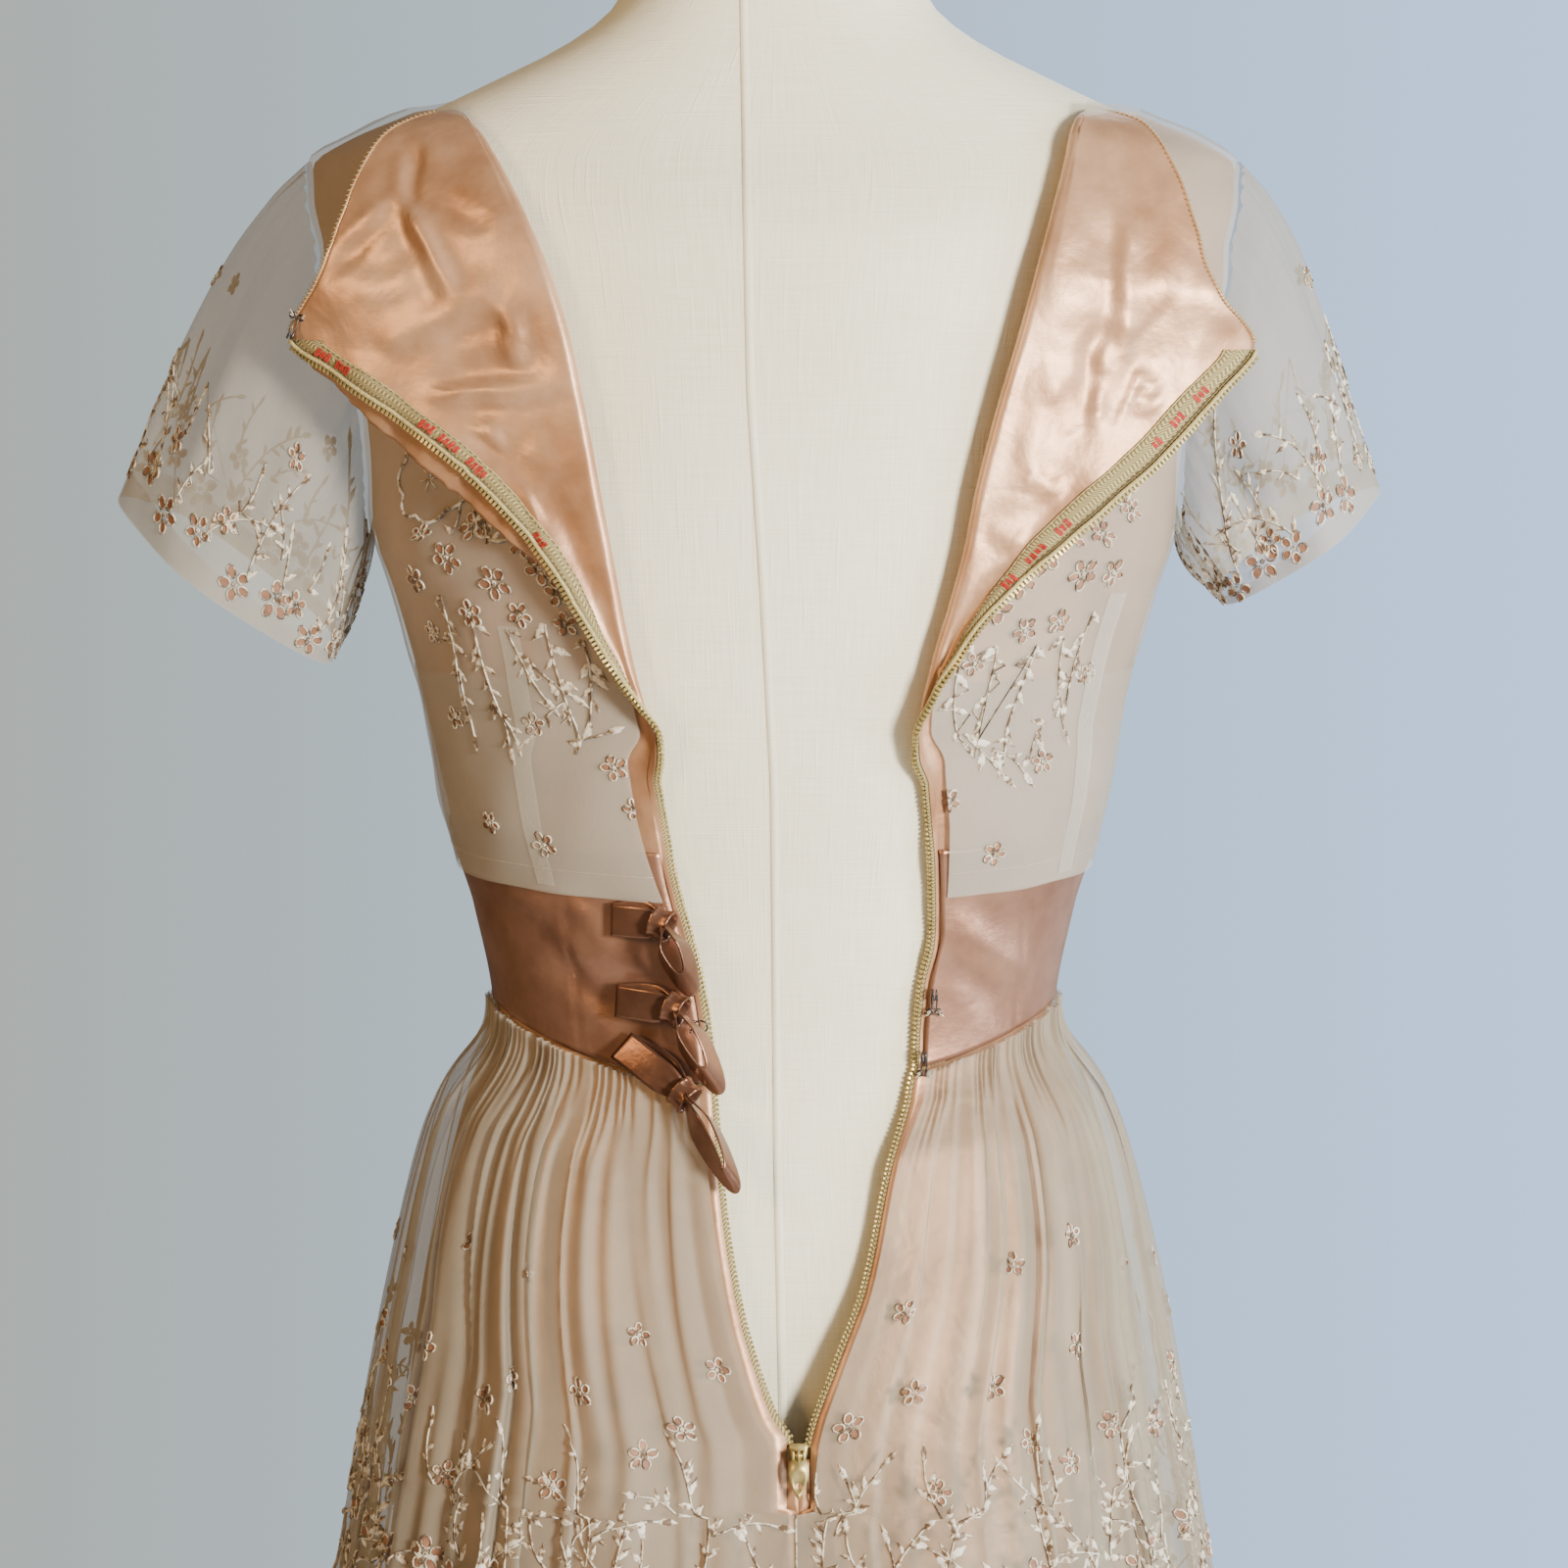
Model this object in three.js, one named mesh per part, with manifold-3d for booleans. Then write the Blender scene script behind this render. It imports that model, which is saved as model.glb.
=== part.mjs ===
// A sheer embroidered party dress, unzipped down the back, on a limbless linen dress form.
// Millimetres, +Z up. -Y is the wearer's back, where the zip is, and +X is the wearer's right.
// The origin is the centre of the stand's underside. Cloth pieces are closed walls, one for
// each cut piece, and neighbours are parted by a seam's gap.
import * as THREE from 'three';
import { mergeVertices } from 'three/addons/utils/BufferGeometryUtils.js';
import Module from 'manifold-3d';

const wasm = await Module();
wasm.setup();

// Cloth and seams
const SATIN = 1.2;
const ORGANZA = 1.0;
const TAPE = 1.0;
const SEAM = 0.3;
const SQUARENESS = 2.3; // exponent of the body's rounded cross-sections; 2 is an ellipse
const QUARTER = Math.PI / 2;

// Levels above the floor
const HEM = 290;
const LINING_HEM = 312;
const ZIP_END = 868;
const WAIST = 1052;
const OVERLAY_HEM = 1108;
const MIDRIFF_TOP = 1126;
const ARMPIT = 1243;
const SHOULDER_TIP = 1395;
const NECK_POINT = 1413;
const FRONT_NECK = 1345;
const FRONT_NECK_HALF_WIDTH = 125;

// Stand
const BASE_RADIUS = 190;
const BASE_THICKNESS = 8;
const POLE_RADIUS = 12.5;
const FORM_BOTTOM = 760;
const FORM_TOP = 1530;

// Columns across a panel and segments round a ring
const BACK_COLUMNS = 7;
const FRONT_COLUMNS = 16;
const ROLL_COLUMNS = 4;
const FLAP_COLUMNS = 4;
const FORM_SEGMENTS = 26;
const SLEEVE_SEGMENTS = 18;

function table(columns, rows) {
  return rows.map((row) => Object.fromEntries(columns.map((name, i) => [name, row[i]])));
}

// The form's half-width, and its depth behind and before its centre line, at each level.
const FORM = table(['level', 'side', 'back', 'front'], [
  [760, 150, 104, 98],
  [830, 150, 108, 98],
  [900, 144, 106, 98],
  [960, 132, 98, 94],
  [1000, 121, 88, 90],
  [1040, 113, 80, 86],
  [1090, 120, 84, 92],
  [1140, 131, 92, 104],
  [1190, 139, 98, 116],
  [1230, 145, 101, 132],
  [1250, 147, 102, 134],
  [1290, 152, 103, 124],
  [1330, 161, 103, 108],
  [1360, 170, 99, 94],
  [1380, 177, 90, 84],
  [1392, 176, 82, 78],
  [1402, 165, 76, 73],
  [1414, 142, 70, 68],
  [1428, 112, 64, 63],
  [1442, 84, 59, 59],
  [1456, 66, 56, 57],
  [1472, 58, 54, 56],
  [1500, 55, 53, 55],
  [1530, 54, 52, 54],
]);

// How far the middle of the bodice's satin stands from the form.
const EASE = table(['level', 'side', 'back', 'front'], [
  [1020, 2.8, 4.2, 2.8],
  [1052, 2.8, 4.0, 2.8],
  [1090, 3.8, 3.8, 3.2],
  [1110, 5.6, 3.8, 3.4],
  [1145, 6.4, 3.8, 4.0],
  [1180, 8.2, 3.8, 5.0],
  [1220, 12.6, 3.6, 6.0],
  [1243, 17.5, 3.6, 7.0],
  [1270, 19.0, 4.0, 7.0],
  [1294, 21.0, 4.0, 6.5],
  [1320, 25.0, 4.0, 6.0],
  [1340, 26.0, 4.0, 5.5],
  [1362, 18.5, 3.6, 5.0],
  [1385, 12.0, 3.2, 4.0],
  [1395, 11.5, 3.0, 3.6],
  [1402, 9.0, 2.8, 3.2],
  [1414, 4.0, 2.6, 2.8],
  [1430, 4.0, 2.6, 2.8],
]);

// The skirt's mean sections by level at the side seams, with the depth of its folds.
const SKIRT = table(['level', 'side', 'back', 'front', 'fold'], [
  [290, 296, 266, 260, 12.0],
  [450, 258, 230, 224, 10.5],
  [650, 216, 190, 186, 9.0],
  [810, 185, 160, 154, 7.5],
  [860, 176, 149, 145, 7.0],
  [930, 163, 130, 131, 6.0],
  [995, 147, 110, 116, 4.2],
  [1035, 129, 100, 102, 2.8],
  [1052, 120.5, 92, 93.5, 1.6],
]);
const SKIRT_LINING = table(['level', 'side', 'back', 'front', 'fold'], [
  [290, 264, 234, 228, 7.0],
  [450, 232, 203, 198, 6.0],
  [650, 194, 166, 163, 5.0],
  [810, 165, 138, 134, 4.0],
  [860, 158, 130, 126, 3.4],
  [930, 148, 116, 115, 2.6],
  [995, 133, 100, 102, 1.6],
  [1035, 121, 93, 93, 0.6],
  [1052, 117, 88, 90, 0.3],
]);

// How much lower a level line runs at the centre back than at the side seams.
const BACK_DIP = table(['level', 'dip'], [
  [290, 0],
  [860, 0],
  [1000, 16],
  [1052, 25],
  [1108, 6],
  [1181, 0],
  [1440, 0],
]);

// The zip's chain on each side of the opening, by height. Its distance from the centre
// plane is positive away from the other side, so it is negative where it crosses over.
const CENTRE_SEAM = 9.8; // the centre-back seam hangs this far to the wearer's right
const SLOT = 4.7; // half the gap that the cloth leaves round the slider
const LINING_EDGE = 2.4; // the satin's edge, back from the middle of the chain
const SKIRT_OVERLAY_EDGE = 7; // and the skirt's organza
const CHAIN = {
  left: table(['height', 'out'], [
    [880, -8.6],
    [892, -8.6],
    [905, -1],
    [949, 13],
    [986, 19],
    [1030, 23],
    [1071, 29],
    [1111, 38.3],
    [1154, 45],
    [1181, 50],
    [1450, 50],
  ]),
  right: table(['height', 'out'], [
    [880, 11.0],
    [892, 12.2],
    [923, 23.2],
    [952, 34.7],
    [996, 44.5],
    [1029, 54.5],
    [1066, 58.6],
    [1090, 62.3],
    [1130, 59.9],
    [1158, 57.6],
    [1187, 58.5],
    [1450, 58.5],
  ]),
};

// Each upper back panel is turned outwards along its fold. A row gives the fold's level and
// distance out, then the free edge's, which is the zip up to its top and then the neckline.
const ZIP_TOP_LEVEL = 1320;
const FLAP = {
  left: table(['level', 'fold', 'edge', 'edgeLevel'], [
    [1165, 47.5, 51, 1165],
    [1181, 51, 56, 1181],
    [1200, 54.5, 66, 1203],
    [1220, 58, 84, 1234],
    [1243, 62, 104, 1258],
    [1262, 65.5, 122, 1275],
    [1285, 69.5, 148, 1294],
    [1305, 73.5, 170, 1309],
    [1320, 76.5, 188, 1322],
    [1345, 84, 173, 1345],
    [1368, 94, 161, 1370],
    [1388, 105, 151, 1394],
    [1402, 114, 141, 1406],
    [1413, 121, 130, 1415],
  ]),
  right: table(['level', 'fold', 'edge', 'edgeLevel'], [
    [1165, 58, 61.5, 1165],
    [1181, 58.5, 64, 1182],
    [1200, 61.5, 75, 1209],
    [1220, 67, 95, 1229],
    [1243, 73, 113, 1244],
    [1262, 76.5, 130, 1259],
    [1285, 82, 152, 1278],
    [1305, 87.5, 173, 1301],
    [1320, 92, 187, 1318],
    [1345, 99, 168, 1338],
    [1368, 105.5, 161, 1364],
    [1388, 111.5, 151, 1390],
    [1402, 115, 143, 1404],
    [1413, 119, 131, 1415],
  ]),
};
// How far the panel has turned over, from 0, flat, to 1, and the roll's radius.
const ROLL = table(['level', 'turned', 'radius'], [
  [1020, 0, 2.0],
  [1145, 0, 2.0],
  [1165, 0.25, 2.2],
  [1181, 0.55, 2.5],
  [1200, 0.85, 2.8],
  [1220, 1, 3.0],
  [1440, 1, 3.0],
]);
const UNROLLED_MARGIN = 2.0; // satin beyond the roll where it lies flat
const ROLL_CLEARANCE = 0.5; // between the roll and the organza that it turns away from
const FLAP_STAND = { zip: 1, neck: 0.35 }; // how freely the flap's edge hangs, by its ends
const FLAP_SPREAD = { side: 1.22, back: 8 }; // a free edge lies this far outside the body

// The rows of points that the bodice's layers share, so that their facets lie parallel.
const LEVELS = [
  1052, 1088, 1108, 1126, 1145, 1165, 1181, 1200, 1220, 1243, 1262, 1290, 1320, 1345, 1368,
  1388, 1395, 1402, 1413,
];
const SKIRT_LEVELS = {
  front: [1052, 1035, 1000, 935, 800, 600],
  lining: [1052, 1035, 1000, 935, 905, 896, 884, 876, 868, 740, 540],
  overlay: [1052, 1035, 1000, 935, 896, 868, 740, 540],
};

// Armholes are ovals on the bodice's sides, and the cuffs are tilted ovals.
const ARMHOLE = { halfDepth: 48, level: (ARMPIT + SHOULDER_TIP) / 2 };
ARMHOLE.halfHeight = (SHOULDER_TIP - ARMPIT) / 2;
const SLEEVE_LIFT = 3.6; // the sleeve head lies over the bodice's organza
const SLEEVE_WAVE = { height: 2.2, count: 5 };
const CUFF_FORWARD = 4;
const CUFF = {
  left: { out: 226, level: 1224, outer: [88, 66], halfDepth: 46, dip: 0.13 },
  right: { out: 217, level: 1238, outer: [64, 46], halfDepth: 54, dip: 0.05 },
};

// Ribbon bows on the left of the midriff's opening: the knot, the loop that lies on the
// satin and the loop that hangs down the edge, each by distance out and height.
const RIBBON_WIDTH = 13;
const RIBBON = 1.0;
const BOW = {
  flatOpening: 2.8, hangOpening: 3.4, hangRise: 4.5, knotRise: 1.2, knotRadius: 3.6, knotLength: 9,
};
const BOWS = table(['knot', 'flatTip', 'hangTip', 'hangTurn', 'lift'], [
  [[43.5, 1094.5], [64, 1095], [31.5, 1066], 0.15, 6.2],
  [[38.5, 1060], [62.5, 1062], [20.5, 1027], 0.2, 7.0],
  [[35, 1026], [60.5, 1044], [14, 990], 0.85, 7.3],
]);

// The slider, the two lugs that carry its pin, and the pull tab that hangs on the pin.
const SLIDER = { level: 888.8, length: 10, width: 8, thickness: 4.6 };
const SLIDER_RUN = { top: 905, foot: 876 }; // the lining's rows above and below it
const LUG = { thickness: 1, depth: 3.4, gap: 3.2, rise: 1.2 };
const PIN = { radius: 0.9, lift: 6.2, along: 1 };
const PULL = {
  length: 17, width: 8, thickness: 1.2, eyeRadius: 1.4, eyeWall: 1.1, neck: 1.2, barrel: 2.4,
  shoulder: 4, taper: 5,
};

// ---- Curves and sections ----

// A smooth curve through a table's rows that never overshoots them.
function follow(rows, key, column, at) {
  const last = rows.length - 1;
  const rising = rows[last][key] > rows[0][key];
  const place = (i) => rows[rising ? i : last - i];
  if (at <= place(0)[key]) return place(0)[column];
  if (at >= place(last)[key]) return place(last)[column];
  let i = 0;
  while (at > place(i + 1)[key]) i += 1;
  const slope = (j) =>
    (place(j + 1)[column] - place(j)[column]) / (place(j + 1)[key] - place(j)[key]);
  const tangent = (j) => {
    if (j === 0) return slope(0);
    if (j === last) return slope(last - 1);
    const before = slope(j - 1);
    const after = slope(j);
    return before * after <= 0 ? 0 : (2 * before * after) / (before + after);
  };
  const span = place(i + 1)[key] - place(i)[key];
  const t = (at - place(i)[key]) / span;
  const rest = 1 - t;
  return (
    place(i)[column] * (1 + 2 * t) * rest * rest +
    tangent(i) * span * t * rest * rest +
    place(i + 1)[column] * t * t * (3 - 2 * t) -
    tangent(i + 1) * span * t * t * rest
  );
}

function straight(rows, key, column, at) {
  let i = 0;
  while (i < rows.length - 2 && at > rows[i + 1][key]) i += 1;
  const span = rows[i + 1][key] - rows[i][key];
  const t = THREE.MathUtils.clamp((at - rows[i][key]) / span, 0, 1);
  return THREE.MathUtils.lerp(rows[i][column], rows[i + 1][column], t);
}

const ease01 = (value) => THREE.MathUtils.smoothstep(value, 0, 1);

function formSection(height) {
  return {
    side: follow(FORM, 'level', 'side', height),
    back: follow(FORM, 'level', 'back', height),
    front: follow(FORM, 'level', 'front', height),
  };
}

function bodiceSection(height) {
  const form = formSection(height);
  return {
    side: form.side + follow(EASE, 'level', 'side', height),
    back: form.back + follow(EASE, 'level', 'back', height),
    front: form.front + follow(EASE, 'level', 'front', height),
  };
}

// The turned-out flap hangs straighter than the body it lies on.
function flapSection(height) {
  const bodice = bodiceSection(height);
  return {
    side: bodice.side * FLAP_SPREAD.side,
    back: bodice.back + FLAP_SPREAD.back,
    front: bodice.front,
  };
}

const power = (value, exponent) => Math.sign(value) * Math.abs(value) ** exponent;

// A point of a section. The angle runs from the centre back, 0, towards the right side.
function onSection(section, height, angle) {
  const depth = Math.cos(angle) >= 0 ? section.back : section.front;
  return new THREE.Vector3(
    section.side * power(Math.sin(angle), 2 / SQUARENESS),
    -depth * power(Math.cos(angle), 2 / SQUARENESS),
    height,
  );
}

function angleOut(section, out) {
  const share = THREE.MathUtils.clamp(out / section.side, -1, 1);
  return Math.asin(power(share, SQUARENESS / 2));
}

// A point lifted square off the surface that a section function describes.
function lifted(sectionAt, height, angle, lift) {
  const step = 0.02;
  const point = onSection(sectionAt(height), height, angle);
  const round = onSection(sectionAt(height), height, angle + step)
    .sub(onSection(sectionAt(height), height, angle - step));
  const up = onSection(sectionAt(height + 1), height + 1, angle)
    .sub(onSection(sectionAt(height - 1), height - 1, angle));
  return point.addScaledVector(round.cross(up).normalize(), lift);
}

// Level lines dip towards the centre back.
function dippedHeight(level, outShare) {
  return level - follow(BACK_DIP, 'level', 'dip', level) * (1 - outShare * outShare);
}

const SIDES = [{ name: 'left', sign: -1 }, { name: 'right', sign: 1 }];

// The chain's distance out at a level line.
function chainOut(side, level) {
  let out = 30;
  for (let pass = 0; pass < 6; pass += 1) {
    const share = out / bodiceSection(level).side;
    out = follow(CHAIN[side.name], 'height', 'out', dippedHeight(level, share));
  }
  return out;
}

// A point of a bodice's back layer, the given angle from the centre back.
function backPoint(side, level, angle, lift) {
  const share = power(Math.sin(angle), 2 / SQUARENESS);
  const height = dippedHeight(level, share);
  return lifted(bodiceSection, height, side.sign * angle, lift);
}

// ---- Closed walls ----

// A wall of even thickness about a grid of middle points: grid[row][column], rows upwards
// and columns anticlockwise seen from above, or the other way round when it is mirrored.
function clothWall(grid, thickness, { mirrored = false, ring = false } = {}) {
  const rows = grid.length;
  const columns = grid[0].length;
  const at = (r, c) => grid[r][ring ? (c + columns) % columns : c];
  const difference = (r0, c0, r1, c1) => at(r1, c1).clone().sub(at(r0, c0));
  const positions = [];
  for (const face of [0.5, -0.5]) {
    for (let r = 0; r < rows; r += 1) {
      for (let c = 0; c < columns; c += 1) {
        const before = ring ? c - 1 : Math.max(c - 1, 0);
        const after = ring ? c + 1 : Math.min(c + 1, columns - 1);
        const across = difference(r, before, r, after);
        const up = difference(Math.max(r - 1, 0), c, Math.min(r + 1, rows - 1), c);
        const normal = across.cross(up).normalize().multiplyScalar(mirrored ? -1 : 1);
        positions.push(...at(r, c).clone().addScaledVector(normal, face * thickness));
      }
    }
  }
  const outer = (r, c) => r * columns + (c % columns);
  const inner = (r, c) => rows * columns + r * columns + (c % columns);
  const index = [];
  const quad = (a, b, c, d) => {
    if (mirrored) index.push(a, c, b, a, d, c);
    else index.push(a, b, c, a, c, d);
  };
  const spans = ring ? columns : columns - 1;
  for (let r = 0; r < rows - 1; r += 1) {
    for (let c = 0; c < spans; c += 1) {
      quad(outer(r, c), outer(r, c + 1), outer(r + 1, c + 1), outer(r + 1, c));
      quad(inner(r, c), inner(r + 1, c), inner(r + 1, c + 1), inner(r, c + 1));
    }
  }
  for (let c = 0; c < spans; c += 1) {
    quad(inner(0, c), inner(0, c + 1), outer(0, c + 1), outer(0, c));
    const top = rows - 1;
    quad(outer(top, c), outer(top, c + 1), inner(top, c + 1), inner(top, c));
  }
  if (!ring) {
    for (let r = 0; r < rows - 1; r += 1) {
      quad(outer(r, 0), outer(r + 1, 0), inner(r + 1, 0), inner(r, 0));
      const end = columns - 1;
      quad(inner(r, end), inner(r + 1, end), outer(r + 1, end), outer(r, end));
    }
  }
  return indexed(positions, index);
}

function indexed(positions, index) {
  const geometry = new THREE.BufferGeometry();
  geometry.setAttribute('position', new THREE.Float32BufferAttribute(positions, 3));
  geometry.setIndex(index);
  return geometry;
}

// A solid through rings of points, closed by a flat fan at each end.
function loft(rings) {
  const count = rings[0].length;
  const positions = rings.flatMap((ring) => ring.flatMap((p) => [p.x, p.y, p.z]));
  const index = [];
  for (let r = 0; r < rings.length - 1; r += 1) {
    for (let i = 0; i < count; i += 1) {
      const a = r * count + i;
      const b = r * count + ((i + 1) % count);
      index.push(a, b, b + count, a, b + count, a + count);
    }
  }
  const top = (rings.length - 1) * count;
  const outline = (ring) => {
    const origin = ring[0];
    const along = ring[1].clone().sub(origin).normalize();
    const normal = new THREE.Vector3();
    for (let i = 0; i < count; i += 1) {
      normal.add(ring[i].clone().sub(origin).cross(ring[(i + 1) % count].clone().sub(origin)));
    }
    const across = normal.normalize().clone().cross(along);
    const flat = (p) => p.clone().sub(origin);
    return ring.map((p) => new THREE.Vector2(flat(p).dot(along), flat(p).dot(across)));
  };
  for (const [a, b, c] of THREE.ShapeUtils.triangulateShape(outline(rings[0]), [])) {
    index.push(c, b, a);
  }
  for (const [a, b, c] of THREE.ShapeUtils.triangulateShape(outline(rings.at(-1)), [])) {
    index.push(top + a, top + b, top + c);
  }
  return indexed(positions, index);
}

function toSolid(geometry) {
  const bare = geometry.clone();
  for (const name of Object.keys(bare.attributes)) {
    if (name !== 'position') bare.deleteAttribute(name);
  }
  const merged = mergeVertices(bare, 1e-4);
  return new wasm.Manifold(new wasm.Mesh({
    numProp: 3,
    vertProperties: new Float32Array(merged.attributes.position.array),
    triVerts: new Uint32Array(merged.index.array),
  }));
}

function fromSolid(solid) {
  const mesh = solid.getMesh();
  return indexed(Array.from(mesh.vertProperties), Array.from(mesh.triVerts));
}

const dress = new THREE.Group();

function add(name, geometry, { colour, roughness, metalness = 0 }) {
  const material = new THREE.MeshStandardMaterial({ color: colour, roughness, metalness });
  const mesh = new THREE.Mesh(geometry, material);
  mesh.name = name;
  dress.add(mesh);
}

const LINEN = { colour: 0xded3b8, roughness: 0.9 };
const PEACH_SATIN = { colour: 0xe0a887, roughness: 0.4 };
const ROSE_SATIN = { colour: 0xb08068, roughness: 0.35 };
const SHEER_ORGANZA = { colour: 0xd8cbb8, roughness: 0.7 };
const ZIP_COTTON = { colour: 0xa89668, roughness: 0.8 };
const BRASS = { colour: 0xa08f5a, roughness: 0.4, metalness: 0.8 };
const STEEL = { colour: 0x8a8a86, roughness: 0.4, metalness: 0.9 };
const BLACK_ENAMEL = { colour: 0x2a2b2d, roughness: 0.5 };
const WOOD = { colour: 0x7a5a3c, roughness: 0.5 };

// ---- Dress form and stand ----

function formRing(height, shrink = 0) {
  const section = formSection(height);
  const inset = { side: section.side - shrink, back: section.back - shrink };
  inset.front = section.front - shrink;
  const ring = [];
  for (let i = 0; i < FORM_SEGMENTS; i += 1) {
    ring.push(onSection(inset, height, (i / FORM_SEGMENTS) * 4 * QUARTER));
  }
  return ring;
}

function addStand() {
  const rings = FORM.filter((row) => row.level !== 1250 && row.level !== 1472)
    .map((row) => formRing(row.level));
  add('form_torso', loft(rings), LINEN);

  const capRadii = [[0, 0], [47, 0], [50, 2], [50, 8], [40, 15], [22, 19], [0, 20]];
  const cap = new THREE.LatheGeometry(capRadii.map((p) => new THREE.Vector2(...p)), 18);
  cap.rotateX(QUARTER);
  cap.translate(0, 1, FORM_TOP + SEAM);
  add('form_neck_cap', cap, WOOD);

  const poleLength = FORM_BOTTOM - BASE_THICKNESS - 2 * SEAM;
  const pole = new THREE.CylinderGeometry(POLE_RADIUS, POLE_RADIUS, poleLength, 20);
  pole.rotateX(QUARTER);
  pole.translate(0, 0, BASE_THICKNESS + SEAM + poleLength / 2);
  add('stand_pole', pole, BLACK_ENAMEL);

  const collar = POLE_RADIUS + SEAM;
  const profile = [
    [0, 0], [BASE_RADIUS - 3, 0], [BASE_RADIUS, 2.5], [BASE_RADIUS - 4, BASE_THICKNESS],
    [collar + 10, BASE_THICKNESS], [collar + 9, 34], [collar, 34], [collar, BASE_THICKNESS],
    [0, BASE_THICKNESS],
  ];
  const base = new THREE.LatheGeometry(profile.map((p) => new THREE.Vector2(...p)), 28);
  base.rotateX(QUARTER);
  add('stand_base', base, BLACK_ENAMEL);
}

// ---- Bodice lining: the satin back panels with their turned-out flaps ----

function foldAt(side, level) {
  const radius = follow(ROLL, 'level', 'radius', level);
  const turned = straight(ROLL, 'level', 'turned', level);
  if (level <= FLAP.left[0].level) {
    const edge = chainOut(side, level) + LINING_EDGE;
    const start = edge + Math.PI * radius + UNROLLED_MARGIN;
    return { radius, turned, start, edge, edgeLevel: level, width: UNROLLED_MARGIN };
  }
  const rows = FLAP[side.name];
  const edge = straight(rows, 'level', 'edge', level);
  const start = straight(rows, 'level', 'fold', level) + radius;
  const edgeLevel = straight(rows, 'level', 'edgeLevel', level);
  return { radius, turned, start, edge, edgeLevel, width: edge - start };
}

// The armhole's half-depth at a level, or 0 where there is none.
function armholeDepth(level) {
  const rise = (level - ARMHOLE.level) / ARMHOLE.halfHeight;
  return Math.abs(rise) < 1 ? ARMHOLE.halfDepth * Math.sqrt(1 - rise * rise) : 0;
}

// The angle from the centre back, or front, at which a layer meets the side or the armhole.
function sideAngle(level, depth) {
  const share = armholeDepth(level) / depth;
  return Math.acos(share ** (SQUARENESS / 2));
}

// One row of a satin back panel, from the side seam to its free edge.
function liningRow(side, level) {
  const fold = foldAt(side, level);
  const section = bodiceSection(level);
  const from = sideAngle(level, section.back);
  const to = angleOut(section, fold.start);
  const row = [];
  for (let i = 0; i <= BACK_COLUMNS; i += 1) {
    row.push(backPoint(side, level, THREE.MathUtils.lerp(from, to, i / BACK_COLUMNS), 0));
  }
  const root = row.at(-1);
  const normal = backPoint(side, level, to, 1).sub(root).normalize();
  const onwards = backPoint(side, level, to - 0.02, 0).sub(root);
  onwards.addScaledVector(normal, -onwards.dot(normal)).normalize();
  const length = Math.PI * fold.radius;
  const bend = fold.turned * Math.PI;
  const arc = (share) => {
    const turn = bend * share;
    const reach = bend > 0 ? Math.sin(turn) / bend : share;
    const rise = bend > 0 ? (1 - Math.cos(turn)) / bend : 0;
    return root.clone().addScaledVector(onwards, length * reach)
      .addScaledVector(normal, length * rise);
  };
  for (let i = 1; i <= ROLL_COLUMNS; i += 1) row.push(arc(i / ROLL_COLUMNS));
  const end = row.at(-1);
  const heading = onwards.clone().multiplyScalar(Math.cos(bend))
    .addScaledVector(normal, Math.sin(bend));
  const neckShare = (level - ZIP_TOP_LEVEL) / (NECK_POINT - ZIP_TOP_LEVEL);
  const stand = THREE.MathUtils.lerp(FLAP_STAND.zip, FLAP_STAND.neck, Math.max(neckShare, 0));
  for (let i = 1; i <= FLAP_COLUMNS; i += 1) {
    const share = i / FLAP_COLUMNS;
    const flat = end.clone().addScaledVector(heading, fold.width * share);
    const out = THREE.MathUtils.lerp(fold.start, fold.edge, share);
    const height = THREE.MathUtils.lerp(end.z, fold.edgeLevel + 1, share);
    const near = bodiceSection(height);
    const close = lifted(bodiceSection, height, side.sign * angleOut(near, out),
      2 * fold.radius);
    const wide = flapSection(height);
    const free = onSection(wide, height, side.sign * angleOut(wide, out));
    const laid = close.lerp(free, ease01(share) * stand);
    row.push(flat.lerp(laid, fold.turned * fold.turned));
  }
  return row;
}

function addBodiceLining() {
  const grids = {};
  for (const side of SIDES) {
    const grid = LEVELS.map((level) => liningRow(side, level + (level === WAIST ? SEAM / 2 : 0)));
    grids[side.name] = grid;
    add(`bodice_lining_back_${side.name}`, clothWall(grid, SATIN, { mirrored: side.sign > 0 }),
      PEACH_SATIN);
  }
  add('bodice_lining_front', clothWall(frontGrid(LEVELS, 0), SATIN), PEACH_SATIN);
  return grids;
}

// The front of a bodice layer, from side seam to side seam, with its armholes and neckline.
// Rows rise with the sides and stay lower in the middle, where the neckline is scooped.
function frontGrid(levels, lift) {
  const seamAngle = SEAM / 2 / bodiceSection(WAIST).side;
  return levels.map((level) => {
    const sideSection = bodiceSection(level);
    const reach = sideAngle(level, sideSection.front) - seamAngle;
    const halfWidth = sideSection.side * power(Math.sin(reach), 2 / SQUARENESS);
    const up = THREE.MathUtils.clamp((level - OVERLAY_HEM) / (NECK_POINT - OVERLAY_HEM), 0, 1);
    const middle = level > OVERLAY_HEM
      ? THREE.MathUtils.lerp(OVERLAY_HEM, FRONT_NECK, up) : level;
    const top = ease01((level - SHOULDER_TIP) / (NECK_POINT - SHOULDER_TIP));
    const width = THREE.MathUtils.lerp(halfWidth, FRONT_NECK_HALF_WIDTH, top);
    const row = [];
    for (let i = 0; i <= FRONT_COLUMNS; i += 1) {
      const along = 1 - (2 * i) / FRONT_COLUMNS;
      const share = Math.sin(along * reach) / Math.sin(reach);
      const height = THREE.MathUtils.lerp(middle, level, Math.abs(share) ** 3);
      const here = bodiceSection(height);
      const angle = angleOut(here, width * share);
      row.push(lifted(bodiceSection, height, 2 * QUARTER - angle, lift));
    }
    return row;
  });
}

// ---- Bodice overlay of sheer organza ----

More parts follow.
